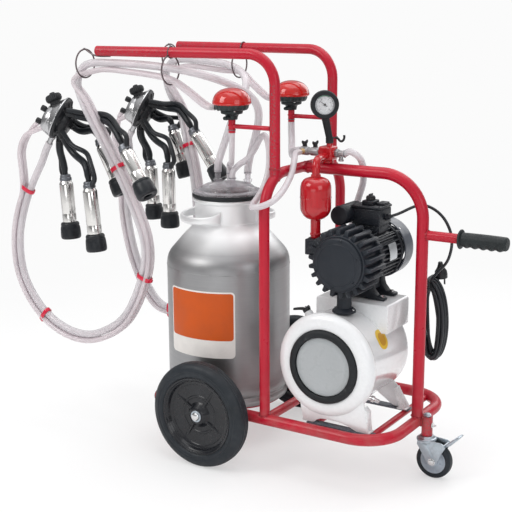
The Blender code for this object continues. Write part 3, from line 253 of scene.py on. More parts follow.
def frames(path):
    """Parallel-transport frames along a polyline: (point, x, y, tangent) each."""
    pts = [Vector(p) for p in path]
    tangents = []
    for i, point in enumerate(pts):
        before = pts[max(i - 1, 0)]
        after = pts[min(i + 1, len(pts) - 1)]
        if 0 < i < len(pts) - 1:
            tangent = (point - before).normalized() + (after - point).normalized()
        else:
            tangent = after - before
        tangents.append(tangent.normalized())
    first = tangents[0]
    ref = Vector(Y_AXIS) if abs(first.y) < 0.9 else Vector(X_AXIS)
    x = (ref - first * ref.dot(first)).normalized()
    out = []
    for point, tangent in zip(pts, tangents):
        x = (x - tangent * x.dot(tangent)).normalized()
        out.append((point, x.copy(), tangent.cross(x), tangent))
    return out


def circle(centre, x, y, radius, count, turn=0.0):
    """Points round centre in the plane of x and y; turn is in vertex steps."""
    angles = [2 * pi * (j + turn) / count for j in range(count)]
    return [centre + x * (radius * cos(a)) + y * (radius * sin(a)) for a in angles]


def loft(rings, closed=False):
    """Skin over rings of equal size, capped at both ends unless closed."""
    count, total = len(rings[0]), len(rings)
    verts = [v for ring in rings for v in ring]
    faces = []
    for i in range(total if closed else total - 1):
        a, b = i * count, ((i + 1) % total) * count
        for j in range(count):
            k = (j + 1) % count
            faces.append((a + j, a + k, b + k, b + j))
    if not closed:
        faces.append(tuple(range(count)))
        faces.append(tuple(range((total - 1) * count, total * count)))
    return verts, faces


def tube(path, radius, count, inner=None, turn=0.0):
    """Round bar along a polyline, or an open tube when inner is given.
    The radius may be a list, one value per point."""
    stations = frames(path)
    radii = radius if isinstance(radius, list) else [radius] * len(stations)
    rings = [circle(p, x, y, r, count, turn) for (p, x, y, _), r in zip(stations, radii)]
    if inner:
        rings += [circle(p, x, y, inner, count, turn) for p, x, y, _ in reversed(stations)]
    return loft(rings, closed=bool(inner))


def swept(path, profile, count):
    """Profile of (distance along the path, radius) pairs swept along it.
    The distance may run back again, which makes a bore."""
    stations = frames(path)
    reach = [0.0]
    for before, after in zip(stations, stations[1:]):
        reach.append(reach[-1] + (after[0] - before[0]).length)
    rings = []
    for distance, radius in profile:
        i = 0
        while i < len(reach) - 2 and distance > reach[i + 1]:
            i += 1
        f = (distance - reach[i]) / (reach[i + 1] - reach[i])
        clamped = max(0, min(1, f))
        here, there = stations[i], stations[i + 1]
        tangent = here[3].lerp(there[3], clamped).normalized()
        x = here[1].lerp(there[1], clamped)
        x = (x - tangent * x.dot(tangent)).normalized()
        rings.append(circle(here[0].lerp(there[0], f), x, tangent.cross(x), radius, count))
    return loft(rings)


def box(x0, x1, y0, y1, z0, z1):
    verts = [vec(x, y, z) for x in (x0, x1) for y in (y0, y1) for z in (z0, z1)]
    faces = [(0, 1, 3, 2), (4, 6, 7, 5), (0, 4, 5, 1), (2, 3, 7, 6), (0, 2, 6, 4), (1, 5, 7, 3)]
    return verts, faces


def prism_y(outline, y0, y1):
    """Outline of (x, z) points extruded along Y."""
    return loft([[vec(x, y, z) for x, z in outline] for y in (y0, y1)])


def plate(outline, matrix, low, high):
    """Outline of local (x, y) points between two local heights of matrix."""
    return loft([[matrix @ Vector((x, y, z)) for x, y in outline] for z in (low, high)])


def sector(first, second, start, end, steps):
    """Outline: an arc of radius first, then one of radius second back again."""
    out = []
    for radius, a, b in ((first, start, end), (second, end, start)):
        angles = [a + (b - a) * i / steps for i in range(steps + 1)]
        out += [(radius * cos(t), radius * sin(t)) for t in angles]
    return out


def hoop(centre, axis, ring_radius, radii, sides):
    """Closed ring whose bar radius follows the list."""
    matrix = frame_at(centre, axis)
    rings = []
    for i, radius in enumerate(radii):
        angle = 2 * pi * i / len(radii)
        out = Vector((cos(angle), sin(angle), 0))
        turns = [2 * pi * j / sides for j in range(sides)]
        rings.append([matrix @ (out * (ring_radius + radius * cos(t))
                                + Vector((0, 0, radius * sin(t)))) for t in turns])
    return loft(rings, closed=True)


def torus(centre, axis, ring_radius, radius, count=40, sides=12):
    return hoop(centre, axis, ring_radius, [radius] * count, sides)


def bead(centre, axis, ring_radius, radius=0.0016, count=56):
    """Weld bead: a ring with the ripple of a hand-laid pass."""
    angles = [2 * pi * i / count for i in range(count)]
    radii = [radius * (1 + 0.22 * sin(a * 17) + 0.1 * sin(a * 5 + 1)) for a in angles]
    return hoop(centre, axis, ring_radius, radii, 8)


def to_bmesh(solid):
    verts, faces = solid
    bm = bmesh.new()
    made = [bm.verts.new(Vector(v)) for v in verts]
    for face in faces:
        try:
            bm.faces.new([made[i] for i in face])
        except ValueError:
            pass               # skips a face that repeats an earlier one
    bmesh.ops.recalc_face_normals(bm, faces=bm.faces)
    return bm


def solid_mesh(solid):
    mesh = bpy.data.meshes.new('solid')
    bm = to_bmesh(solid)
    bm.to_mesh(mesh)
    bm.free()
    return mesh


def soft(solid, bevel=0.001, steps=2, angle=28):
    """The solid with every edge sharper than angle bevelled."""
    bm = to_bmesh(solid)
    edges = [e for e in bm.edges
             if len(e.link_faces) == 2 and e.calc_face_angle(0) > radians(angle)]
    bmesh.ops.bevel(bm, geom=edges, offset=bevel, segments=steps, profile=0.5,
                    affect='EDGES', clamp_overlap=True)
    bm.verts.index_update()
    out = [v.co.copy() for v in bm.verts], [tuple(v.index for v in f.verts) for f in bm.faces]
    bm.free()
    return out


def soft_box(x0, x1, y0, y1, z0, z1, bevel=0.0015, steps=2):
    return soft(box(x0, x1, y0, y1, z0, z1), bevel, steps)


def hexagon(radius, bottom, top, origin, axis=Z_AXIS, bevel=0.0008):
    return soft(lathe(block_profile(radius, bottom, top), 6, origin, axis), bevel, 2)


def hex_head(base, axis, flats=0.01, height=0.0045, washer=True):
    """Bolt head, flats apart across, usually on a washer."""
    radius = flats / 2 / cos(pi / 6)
    base, axis = Vector(base), Vector(axis).normalized()
    out = []
    if washer:
        out.append(puck(radius * 1.45, 0, 0.0012, 32, base, axis, 0.0003))
        base = base + axis * 0.0011
    out.append(hexagon(radius, 0, height, base, axis, 0.0006))
    return out


def socket_head(base, axis, radius, height):
    profile = [(0, 0), (radius, 0), (radius, height), (radius * 0.55, height),
               (radius * 0.5, height * 0.45), (0, height * 0.45)]
    return turned(profile, 24, base, axis, 0.0004)


def moved(solid, matrix):
    verts, faces = solid
    return [matrix @ Vector(v) for v in verts], faces


def around(solid, count, matrix, start=0.0):
    """Copies of a solid spaced evenly round the local Z of matrix."""
    return [moved(solid, matrix @ Matrix.Rotation(start + 2 * pi * k / count, 4, 'Z'))
            for k in range(count)]


def flattened(value, power):
    """Signed power, which squares off a circle of cosines and sines."""
    return math.copysign(abs(value) ** power, value)


def arc_strip(radius, a0, a1, t0, t1, corner, lift, thick, matrix, nx, ny):
    """Thin sticker with rounded corners bent round a cylinder: a0..a1 are
    angles about the local Z of matrix and t0..t1 heights along it."""
    width, height = (a1 - a0) * radius, t1 - t0

    def point(u, v, r):
        x, y = (u - 0.5) * width, (v - 0.5) * height
        flat_x, flat_y = width / 2 - corner, height / 2 - corner
        if abs(x) > flat_x and abs(y) > flat_y:
            dx, dy = abs(x) - flat_x, abs(y) - flat_y
            dist = sqrt(dx * dx + dy * dy)
            if dist > 1e-9:
                f = max(dx, dy) / dist
                x = math.copysign(flat_x + dx * f, x)
                y = math.copysign(flat_y + dy * f, y)
        angle = (a0 + a1) / 2 + x / radius
        return matrix @ Vector((r * cos(angle), r * sin(angle), (t0 + t1) / 2 + y))
    verts, faces, idx = [], [], {}
    for layer, r in ((0, radius + lift), (1, radius + lift + thick)):
        for i in range(nx + 1):
            for j in range(ny + 1):
                idx[layer, i, j] = len(verts)
                verts.append(point(i / nx, j / ny, r))

    def face(*keys):
        faces.append(tuple(idx[key] for key in keys))
    for i in range(nx):
        for j in range(ny):
            face((1, i, j), (1, i + 1, j), (1, i + 1, j + 1), (1, i, j + 1))
            face((0, i, j), (0, i, j + 1), (0, i + 1, j + 1), (0, i + 1, j))
    for i in range(nx):
        face((0, i, 0), (0, i + 1, 0), (1, i + 1, 0), (1, i, 0))
        face((0, i, ny), (1, i, ny), (1, i + 1, ny), (0, i + 1, ny))
    for j in range(ny):
        face((0, 0, j), (1, 0, j), (1, 0, j + 1), (0, 0, j + 1))
        face((0, nx, j), (0, nx, j + 1), (1, nx, j + 1), (1, nx, j))
    return verts, faces


def dense(points, step):
    """Polyline resampled at an even step."""
    pts = [Vector(p) for p in points]
    reach = [0.0]
    for a, b in zip(pts, pts[1:]):
        reach.append(reach[-1] + (b - a).length)
    count = max(2, int(round(reach[-1] / step)))
    out, i = [], 0
    for k in range(count + 1):
        s = reach[-1] * k / count
        while i < len(pts) - 2 and s > reach[i + 1]:
            i += 1
        f = (s - reach[i]) / max(reach[i + 1] - reach[i], 1e-9)
        out.append(pts[i].lerp(pts[i + 1], f))
    return out


def relaxed(path, rounds):
    """Polyline smoothed by averaging, with two points held at each end."""
    path = [p.copy() for p in path]
    for _ in range(rounds):
        new = [p.copy() for p in path]
        for i in range(2, len(path) - 2):
            new[i] = path[i] * 0.5 + (path[i - 1] + path[i + 1]) * 0.25
        path = new
    return path


def flowing(points, spline_steps, step, rounds):
    """Even, smooth path of a hose or cable through its guide points."""
    return relaxed(dense(spline(points, spline_steps), step), rounds)


# -------------------------------------------------------------------- pieces
SHIFT = Matrix.Translation((OX, 0, 0))


def raw(solid, name='raw'):
    ob = bpy.data.objects.new(name, solid_mesh(solid))
    bpy.context.scene.collection.objects.link(ob)
    return ob


def boolean_all(ob, solids, operation):
    others = [raw(solid) for solid in solids]
    for other in others:
        modifier = ob.modifiers.new('b', 'BOOLEAN')
        modifier.operation = operation
        modifier.object = other
        modifier.solver = 'EXACT'
    bpy.context.view_layer.update()
    graph = bpy.context.evaluated_depsgraph_get()
    mesh = bpy.data.meshes.new_from_object(ob.evaluated_get(graph))
    ob.modifiers.clear()
    ob.data = mesh
    for other in others:
        bpy.data.objects.remove(other)


def piece(name, solids, material, body='root', rep=None, join=False, cuts=(), sharp=38):
    """One named piece riding on its CAD body. The solids are merged into one
    mesh, or joined by Boolean union; cuts are taken out of the first or of
    the union. rep names the CAD piece it stands for."""
    if isinstance(solids, tuple):
        solids = [solids]
    ob = raw(solids[0], name)
    extra = solids[1:]
    if join:
        boolean_all(ob, extra, 'UNION')
        extra = []
    if cuts:
        boolean_all(ob, cuts, 'DIFFERENCE')
    if extra:
        bm = bmesh.new()
        bm.from_mesh(ob.data)
        for solid in extra:
            bm.from_mesh(solid_mesh(solid))
        bm.to_mesh(ob.data)
        bm.free()
    mesh = ob.data
    mesh.transform(SHIFT)
    mesh.materials.clear()
    mesh.materials.append(material)
    for polygon in mesh.polygons:
        polygon.material_index = 0
    mesh.shade_smooth()
    mesh.set_sharp_from_angle(angle=radians(sharp))
    ob.name = name
    mesh.name = name
    if body:
        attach(ob, body)
    if rep:
        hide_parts(rep)
    return ob


# ----------------------------------------------------------------- materials
def fill_ramp(node, stops):
    """Colour ramp stops, each (position, (r, g, b))."""
    elements = node.color_ramp.elements
    for element, (position, colour) in ((elements[0], stops[0]), (elements[1], stops[-1])):
        element.position = position
        element.color = (*colour, 1)
    for position, colour in stops[1:-1]:
        elements.new(position).color = (*colour, 1)


class Shade:
    """Node material round a Principled shader, textured in object space."""

    def __init__(self, name, base, rough, metallic=0.0, coat=0.0, spec=0.5):
        self.material = bpy.data.materials.new(name)
        self.material.use_nodes = True
        self.tree = self.material.node_tree
        self.shader = self.tree.nodes['Principled BSDF']
        for key, value in (('Base Color', (*base, 1)), ('Roughness', rough),
                           ('Metallic', metallic), ('Coat Weight', coat),
                           ('Coat Roughness', 0.08), ('Specular IOR Level', spec)):
            self.shader.inputs[key].default_value = value
        self.material.diffuse_color = (*base, 1)
        self.position = self.new('ShaderNodeTexCoord').outputs['Object']

    def new(self, kind, **settings):
        node = self.tree.nodes.new(kind)
        for key, value in settings.items():
            setattr(node, key, value)
        return node

    def link(self, output, socket):
        self.tree.links.new(output, socket)

    def noise(self, scale, detail=3, rough=0.55, stretch=None):
        node = self.new('ShaderNodeTexNoise')
        node.inputs['Scale'].default_value = scale
        node.inputs['Detail'].default_value = detail
        node.inputs['Roughness'].default_value = rough
        source = self.position
        if stretch:
            mapping = self.new('ShaderNodeMapping')
            mapping.inputs['Scale'].default_value = stretch
            self.link(self.position, mapping.inputs['Vector'])
            source = mapping.outputs['Vector']
        self.link(source, node.inputs['Vector'])
        return node.outputs['Fac']

    def height(self):
        node = self.new('ShaderNodeSeparateXYZ')
        self.link(self.position, node.inputs[0])
        return node.outputs['Z']

    def edge(self):
        """Pointiness, for wear along edges."""
        return self.new('ShaderNodeNewGeometry').outputs['Pointiness']

    def ramp(self, fac, stops):
        node = self.new('ShaderNodeValToRGB')
        fill_ramp(node, stops)
        self.link(fac, node.inputs['Fac'])
        return node.outputs['Color']

    def remap(self, value, over, to):
        """Maps the range over, linearly and clamped, to the range to."""
        node = self.new('ShaderNodeMapRange')
        for key, number in zip(('From Min', 'From Max', 'To Min', 'To Max'), (*over, *to)):
            node.inputs[key].default_value = number
        self.link(value, node.inputs['Value'])
        return node.outputs['Result']

    def math(self, operation, *values):
        node = self.new('ShaderNodeMath', operation=operation)
        for i, value in enumerate(values):
            if isinstance(value, (int, float)):
                node.inputs[i].default_value = value
            else:
                self.link(value, node.inputs[i])
        return node.outputs['Value']

    def mix(self, fac, a, b):
        """Colour mix; each input is a number, a colour or an output."""
        node = self.new('ShaderNodeMix', data_type='RGBA')
        for key, value in ((0, fac), (6, a), (7, b)):
            socket = node.inputs[key]
            if isinstance(value, (int, float)):
                socket.default_value = value
            elif isinstance(value, tuple):
                socket.default_value = (*value, 1)
            else:
                self.link(value, socket)
        return node.outputs[2]

    def mix_output(self, fac, first, second):
        """Sends a mix of two shaders to the material output."""
        node = self.new('ShaderNodeMixShader')
        for socket, output in zip(node.inputs, (fac, first, second)):
            self.link(output, socket)
        self.link(node.outputs[0], self.tree.nodes['Material Output'].inputs['Surface'])

    def bump(self, height, strength, dist, under=None):
        node = self.new('ShaderNodeBump')
        node.inputs['Strength'].default_value = strength
        node.inputs['Distance'].default_value = dist
        self.link(height, node.inputs['Height'])
        if under is not None:
            self.link(under, node.inputs['Normal'])
        self.link(node.outputs['Normal'], self.shader.inputs['Normal'])
        return node.outputs['Normal']

    def colour(self, output):
        self.link(output, self.shader.inputs['Base Color'])

    def rough(self, output):
        self.link(output, self.shader.inputs['Roughness'])


def scaled(colour, factor):
    return tuple(min(1.0, x * factor) for x in colour)


def paint(name, base, rough, coat, peel=700, worn=None, var=0.1, dust=0.0):
    """Paint: peel scales the orange-peel bump, worn is the chipped edge colour,
    var the colour variation and dust the grime low on the machine."""
    s = Shade(name, base, rough, coat=coat, spec=0.32)
    col = s.ramp(s.noise(scale=6, detail=4),
                 [(0.3, scaled(base, 1 - var)), (0.7, scaled(base, 1 + var))])
    fine = s.noise(scale=140)
    col = s.mix(s.remap(fine, over=(0.35, 0.75), to=(0.0, 0.12)), col, scaled(base, 0.6))
    if worn:
        edge = s.edge()
        chips = s.noise(scale=260, detail=4, rough=0.65)
        wear = s.math('MULTIPLY', s.remap(edge, over=(0.535, 0.6), to=(0.0, 1.0)),
                      s.remap(chips, over=(0.52, 0.6), to=(0.0, 0.8)))
        col = s.mix(wear, col, worn)
    if dust:
        low = s.remap(s.height(), over=(0.3, 0.08), to=(0.0, dust))
        blotch = s.noise(scale=22, detail=5, rough=0.6)
        grime = s.math('MULTIPLY', low, s.remap(blotch, over=(0.4, 0.7), to=(0.0, 1.0)))
        col = s.mix(grime, col, (0.3, 0.25, 0.21))
    s.colour(col)
    s.rough(s.remap(s.noise(scale=38, detail=4), over=(0.3, 0.7),
                    to=(rough * 0.75, rough * 1.35)))
    s.bump(s.noise(scale=peel, detail=2), strength=0.1, dist=0.0003)
    return s.material


def metal(name, base, rough, stain, stretch=(1, 1, 1), depth=0.1, grain=200, spangle=0):
    """Metal: stain darkens patches, stretch and grain shape the brushing, depth
    is its bump and spangle the scale of zinc crystals."""
    s = Shade(name, base, rough, metallic=1.0)
    big = s.noise(scale=9, detail=5, rough=0.6)
    col = s.ramp(big, [(0.25, scaled(base, 1 - stain)), (0.6, base), (0.8, scaled(base, 1.06))])
    if spangle:
        cells = s.new('ShaderNodeTexVoronoi')
        cells.inputs['Scale'].default_value = spangle
        s.link(s.position, cells.inputs['Vector'])
        split = s.new('ShaderNodeSeparateColor')
        s.link(cells.outputs['Color'], split.inputs[0])
        col = s.mix(s.remap(split.outputs[0], over=(0, 1), to=(0.0, 0.45)),
                    col, scaled(base, 0.62))
    s.colour(col)
    brushed = s.noise(scale=grain, rough=0.6, stretch=stretch)
    s.rough(s.math('ADD',
                   s.remap(brushed, over=(0.3, 0.7), to=(rough * 0.75, rough * 1.3)),
                   s.remap(big, over=(0.3, 0.8), to=(-0.03, 0.05))))
    s.bump(brushed, strength=depth, dist=0.0002)
    return s.material


def rubber(name, base, rough, grain=420, dust=0.05, coat=0.0):
    """Rubber or dull plastic with pale edges, some dust and a grain bump."""
    s = Shade(name, base, rough, coat=coat, spec=0.3)
    col = s.ramp(s.noise(scale=14, detail=4),
                 [(0.3, scaled(base, 0.82)), (0.7, scaled(base, 1.25))])
    col = s.mix(s.remap(s.edge(), over=(0.52, 0.6), to=(0.0, 0.45)),
                col, tuple(x + 0.06 for x in base))
    specks = s.remap(s.noise(scale=55, detail=6, rough=0.7), over=(0.5, 0.8), to=(0.0, 1.0))
    s.colour(s.mix(s.math('MULTIPLY', specks, dust), col, (0.24, 0.23, 0.22)))
    s.rough(s.remap(s.noise(scale=60), over=(0.3, 0.7),
                    to=(rough * 0.85, min(1, rough * 1.15))))
    s.bump(s.noise(scale=grain, rough=0.6), strength=0.22, dist=0.0004)
    return s.material


def clear(name, tint, low, high, rough, power, inner=None, ripple=0.03):
    """See-through moulding: its cover runs from low, seen square on, to high at
    the edges, where the colour runs to inner."""
    s = Shade(name, tint, rough, spec=0.6)
    col = s.ramp(s.noise(scale=11), [(0.3, scaled(tint, 0.92)), (0.7, scaled(tint, 1.05))])
    facing = s.new('ShaderNodeLayerWeight')
    facing.inputs['Blend'].default_value = 0.5
    edge = s.math('POWER', facing.outputs['Facing'], power)
    if inner:
        col = s.mix(s.remap(edge, over=(0.0, 0.9), to=(0.0, 1.0)), col, inner)
    s.colour(col)
    s.bump(s.noise(scale=40, detail=2, rough=0.5), strength=ripple, dist=0.0008)
    cover = s.math('ADD', s.remap(edge, over=(0.0, 1.0), to=(low, high)),
                   s.remap(s.noise(scale=14, detail=2), over=(0.35, 0.7), to=(-0.03, 0.05)))
    through = s.new('ShaderNodeBsdfTransparent')
    through.inputs['Color'].default_value = (0.96, 0.95, 0.96, 1)
    s.mix_output(cover, through.outputs[0], s.shader.outputs[0])
    return s.material


def printed(name, base, rough=0.35):
    """Printed film."""
    s = Shade(name, base, rough, coat=0.08, spec=0.3)
    fine = s.noise(scale=300, detail=2)
    big = s.noise(scale=20, detail=4)
    col = s.ramp(big, [(0.3, scaled(base, 0.925)), (0.7, scaled(base, 1.05))])
    s.colour(s.mix(s.remap(fine, over=(0.4, 0.8), to=(0, 0.1)), col, scaled(base, 0.75)))
    s.rough(s.remap(big, over=(0.3, 0.7), to=(rough * 0.8, rough * 1.2)))
    s.bump(fine, strength=0.06, dist=0.0002)
    return s.material


def can_metal():
    """Spun aluminium with turning rings, stained at the foot, with a painted reflection:
    near-white and less metallic over the shoulder and neck.
    """
    s = Shade('spun_aluminium_painted_neck_reflection', (0.38, 0.38, 0.39), 0.34, metallic=1.0)
    height = s.height()
    big = s.noise(scale=5, detail=5, rough=0.6)
    col = s.ramp(big, [(0.25, (0.3, 0.3, 0.305)), (0.6, (0.36, 0.36, 0.365)),
                       (0.8, (0.4, 0.4, 0.405))])
    rings = s.noise(scale=1.0, detail=4, rough=0.7, stretch=(3, 3, 420))
    col = s.mix(s.remap(rings, over=(0.3, 0.7), to=(0.0, 0.16)), col, (0.28, 0.28, 0.29))
    spots = s.noise(scale=70, detail=4, rough=0.65)
    col = s.mix(s.remap(spots, over=(0.62, 0.75), to=(0.0, 0.35)), col, (0.34, 0.33, 0.32))
    low = s.remap(height, over=(0.2, 0.13), to=(0.0, 0.45))
    stains = s.remap(s.noise(scale=18, detail=5), over=(0.35, 0.7), to=(0.2, 1.0))
    col = s.mix(s.math('MULTIPLY', low, stains), col, (0.22, 0.2, 0.18))
    # painted reflection: the shoulder and neck are painted near-white and made less metallic,
    # standing in for the bright light they reflect from above
    neck = s.remap(height, over=(0.572, 0.618), to=(0.0, 0.92))
    s.colour(s.mix(neck, col, (0.9, 0.905, 0.91)))
    s.link(s.remap(height, over=(0.575, 0.625), to=(1.0, 0.55)), s.shader.inputs['Metallic'])
    s.rough(s.math('ADD', s.remap(rings, over=(0.3, 0.7), to=(0.4, 0.5)),
                   s.remap(big, over=(0.3, 0.8), to=(-0.04, 0.05))))
    turned_marks = s.bump(rings, strength=0.1, dist=0.0003)
    s.bump(s.noise(scale=3.5, detail=2), strength=0.25, dist=0.004, under=turned_marks)
    return s.material


RED = paint('red_powder_coat', (0.45, 0.004, 0.022), rough=0.36, coat=0.12,
            worn=(0.16, 0.1, 0.1), dust=0.35)
WELD = paint('red_weld_bead', (0.32, 0.008, 0.02), rough=0.36, coat=0.3, peel=420)
ENAMEL = paint('red_enamel', (0.45, 0.006, 0.012), rough=0.18, coat=0.6, peel=260,
               worn=(0.3, 0.02, 0.02))
PULSATOR_RED = paint('pulsator_red_plastic', (0.52, 0.011, 0.008), rough=0.16, coat=0.7,
                     peel=320, var=0.06)
WHITE = paint('white_enamel', (0.8, 0.81, 0.82), rough=0.2, coat=0.7, peel=300,
              worn=(0.35, 0.33, 0.31), var=0.03, dust=0.12)
SLATE = paint('slate_machine_paint', (0.013, 0.017, 0.024), rough=0.48, coat=0.03, peel=380,
              worn=(0.16, 0.17, 0.18), var=0.25)
MOTOR = paint('motor_black_paint', (0.009, 0.011, 0.016), rough=0.42, coat=0.06, peel=420,
              worn=(0.12, 0.13, 0.14), var=0.25)
FAN_GREY = paint('fan_cover_grey_paint', (0.075, 0.085, 0.105), rough=0.38, coat=0.2,
                 peel=500, worn=(0.25, 0.26, 0.27), var=0.15)
STEEL = metal('polished_stainless', (0.72, 0.71, 0.69), rough=0.14, stain=0.12,
              stretch=(40, 40, 1.5), depth=0.06, grain=60)
CAST_STEEL = metal('claw_cast_steel', (0.55, 0.55, 0.56), rough=0.26, stain=0.3,
                   depth=0.12, grain=120)
ZINC = metal('zinc_plate', (0.5, 0.56, 0.61), rough=0.34, stain=0.18, grain=240, spangle=130)
BRIGHT = metal('bright_bolt_steel', (0.7, 0.7, 0.7), rough=0.22, stain=0.15,
               stretch=(1, 1, 8), depth=0.08, grain=300)
BRASS = metal('brass_fitting', (0.62, 0.43, 0.22), rough=0.3, stain=0.25,
              stretch=(1, 1, 8), depth=0.08)
RUBBER = rubber('black_rubber', (0.009, 0.011, 0.013), rough=0.55)
LINER = rubber('liner_rubber', (0.008, 0.01, 0.013), rough=0.42, grain=300, dust=0.03, coat=0.06)
TYRE = rubber('tyre_rubber', (0.013, 0.017, 0.022), rough=0.46, grain=300, dust=0.06)
WHEEL_PLASTIC = rubber('wheel_gloss_plastic', (0.008, 0.009, 0.012), rough=0.26, grain=520,
                       dust=0.02, coat=0.25)
BLACK = rubber('black_plastic', (0.008, 0.009, 0.011), rough=0.4, grain=520, dust=0.03, coat=0.08)
GRIP = rubber('grip_rubber', (0.012, 0.016, 0.017), rough=0.5, grain=260)
CASTOR_GREY = rubber('castor_grey_plastic', (0.34, 0.38, 0.43), rough=0.42, dust=0.2)
COVER_GREY = paint('cover_grey_enamel', (0.38, 0.4, 0.41), rough=0.3, coat=0.35, peel=300,
                   var=0.05)
PULSATOR_DARK = rubber('pulsator_base_plastic', (0.011, 0.019, 0.02), rough=0.44, grain=320,
                       coat=0.05)
FITTING = metal('grey_hose_fitting', (0.42, 0.42, 0.43), rough=0.42, stain=0.2)
COLLAR = metal('grey_collar', (0.2, 0.21, 0.23), rough=0.4, stain=0.2)
CABLE = rubber('cable_sheath', (0.011, 0.014, 0.018), rough=0.38, grain=600, coat=0.15)
WIRE = metal('dark_ring_wire', (0.16, 0.13, 0.135), rough=0.42, stain=0.35, grain=220)
CLIP = paint('red_clip_plastic', (0.6, 0.012, 0.045), rough=0.28, coat=0.4, peel=500, var=0.08)
HOSE = clear('clear_vinyl_hose', (0.86, 0.83, 0.85), low=0.44, high=0.93, rough=0.2, power=1.3,
             inner=(0.62, 0.58, 0.61))
PULSE = clear('pale_pulse_tube', (0.87, 0.81, 0.83), low=0.44, high=0.93, rough=0.2, power=1.3,
              inner=(0.64, 0.54, 0.58))
LID_CLEAR = clear('clear_lid', (0.66, 0.65, 0.67), low=0.12, high=0.74, rough=0.12, power=1.8,
                  inner=(0.4, 0.39, 0.41), ripple=0.04)
MILKY = clear('milk_residue_tube', (0.8, 0.52, 0.57), low=0.3, high=0.7, rough=0.25, power=1.4,
              inner=(0.6, 0.3, 0.36))
CAN = can_metal()
ORANGE = printed('sticker_orange_film', (0.56, 0.082, 0.002), rough=0.5)
VINYL = printed('sticker_white_film', (0.8, 0.77, 0.74))
YELLOW = printed('decal_yellow_film', (0.72, 0.48, 0.05))
PINK = printed('decal_pink_film', (0.62, 0.2, 0.24))
INK = printed('dial_ink', (0.02, 0.02, 0.02))
GREEN = printed('dial_green_band', (0.03, 0.3, 0.12))
DIAL_WHITE = printed('dial_white', (0.84, 0.88, 0.86), rough=0.4)
NAMEPLATE = metal('blank_nameplate', (0.62, 0.64, 0.66), rough=0.36, stain=0.12,
                  stretch=(40, 1, 1))
FLOAT = rubber('valve_dark_red', (0.075, 0.022, 0.03), rough=0.35, grain=300, coat=0.3)
OCHRE = printed('decal_ochre_film', (0.5, 0.26, 0.03))
GLASS = clear('gauge_glass', (0.86, 0.9, 0.9), low=0.03, high=0.55, rough=0.05, power=2.5,
              ripple=0.1)


# ============================================================ trolley frame
TUBE_SIDES = 26
Z_TANK_BARS = 0.1485
Z_BRANCH = 0.94        # branches that hold the pulsator spigots
R_WIRE, R_HOSE_RING = 0.0023, 0.0398


def frame_lines():
    """Centre lines of the trolley's tubes with their radii; the arms are last."""
    base = fillet([(X_RAIL, -Y_RAIL, Z_RAIL), (X_END, -Y_RAIL, Z_RAIL),
                   (X_END, Y_RAIL, Z_RAIL), (X_RAIL, Y_RAIL, Z_RAIL)], R_CORNER, 14)
    handle_hoop = fillet([(X_END, 0, Z_RAIL), (X_END, 0, Z_CROSS), (X_POST, 0, Z_CROSS)],
                         0.115, 16)
    arch = fillet([(X_POST, -Y_RAIL, Z_RAIL), (X_POST, -Y_RAIL, Z_CROSS),
                   (X_POST, Y_RAIL, Z_CROSS), (X_POST, Y_RAIL, Z_RAIL)], 0.1, 14)
    cross = [vec(X_POST, -Y_RAIL, Z_RAIL), vec(X_POST, Y_RAIL, Z_RAIL)]
    lines = [(base, R_MAIN), (handle_hoop, R_MAIN), (arch, R_POST), (cross, 0.0125)]
    for _, s in SIDES:
        arm = fillet([(X_POST, s * Y_ARM, 0.802), (X_POST, s * Y_ARM, Z_ARM),
                      (X_TIP, s * Y_TIP, Z_ARM)], 0.08, 12)
        lines.append((arm, R_POST))
    return lines


def build_trolley_frame():
    n = TUBE_SIDES
    lines = frame_lines()
    parts = [tube(path, radius, n) for path, radius in lines]
    # bores in the open tube ends, then those for the castor stem and axle bolts
    base = lines[0][0]
    cuts = [tube([end - vec(0.01, 0, 0), end + vec(0.05, 0, 0)], R_MAIN - WALL, n, turn=0.5)
            for end in (base[0], base[-1])]
    for arm, radius in lines[4:]:
        along = (arm[-1] - arm[-2]).normalized()
        cuts.append(tube([arm[-1] - along * 0.05, arm[-1] + along * 0.01],
                         radius - WALL, n, turn=0.5))
    parts.append(cyl((X_END, 0, Z_HANDLE), (0.838, 0, Z_HANDLE), 0.013, n))
    spigot = [(0, 0.922), (0.0095, 0.922), (0.0095, 0.94), (0.011, 0.9415), (0.011, 0.944),
              (0.0095, 0.9455), (0.0095, Z_SPIGOT), (0, Z_SPIGOT)]
    for _, s in SIDES:
        y = s * Y_ARM
        parts.append(cyl((X_POST, y, Z_BRANCH), (X_PULSATOR, y, Z_BRANCH), 0.0062, 18))
        parts.append(turned(spigot, 20, (X_PULSATOR, y, 0), rad=0.0008))
    parts.append(cyl((X_CASTOR, 0, 0.117), (X_CASTOR, 0, 0.169), 0.015, n))
    parts.append(soft_box(0.6165, X_CASTOR, -0.0095, 0.0095, 0.14, 0.162, 0.001, 1))
    for x in X_BARS:
        parts.append(cyl((x, -Y_RAIL, Z_TANK_BARS), (x, Y_RAIL, Z_TANK_BARS), 0.0085, 18))
    cuts.append(cyl((X_CASTOR, 0, 0.1), (X_CASTOR, 0, 0.19), 0.0084, 20))
    for _, s in SIDES:
        parts.append(cyl((X_AXLE, s * 0.2085, R_WHEEL), (X_AXLE, s * 0.237, R_WHEEL), 0.015, n))
        cuts.append(cyl((X_AXLE, s * 0.211, R_WHEEL), (X_AXLE, s * 0.25, R_WHEEL),
                        R_AXLE_BORE, 20))
    piece('trolley_frame', parts, RED, rep='frame', join=True, cuts=cuts,
          sharp=35)
    piece('tank_foot_bars',
          [soft_box(0.372, 0.568, y - 0.0125, y + 0.0125, 0.154, 0.1605, 0.0012, 2)
           for y in (-0.172, 0.052)], FAN_GREY, sharp=35)


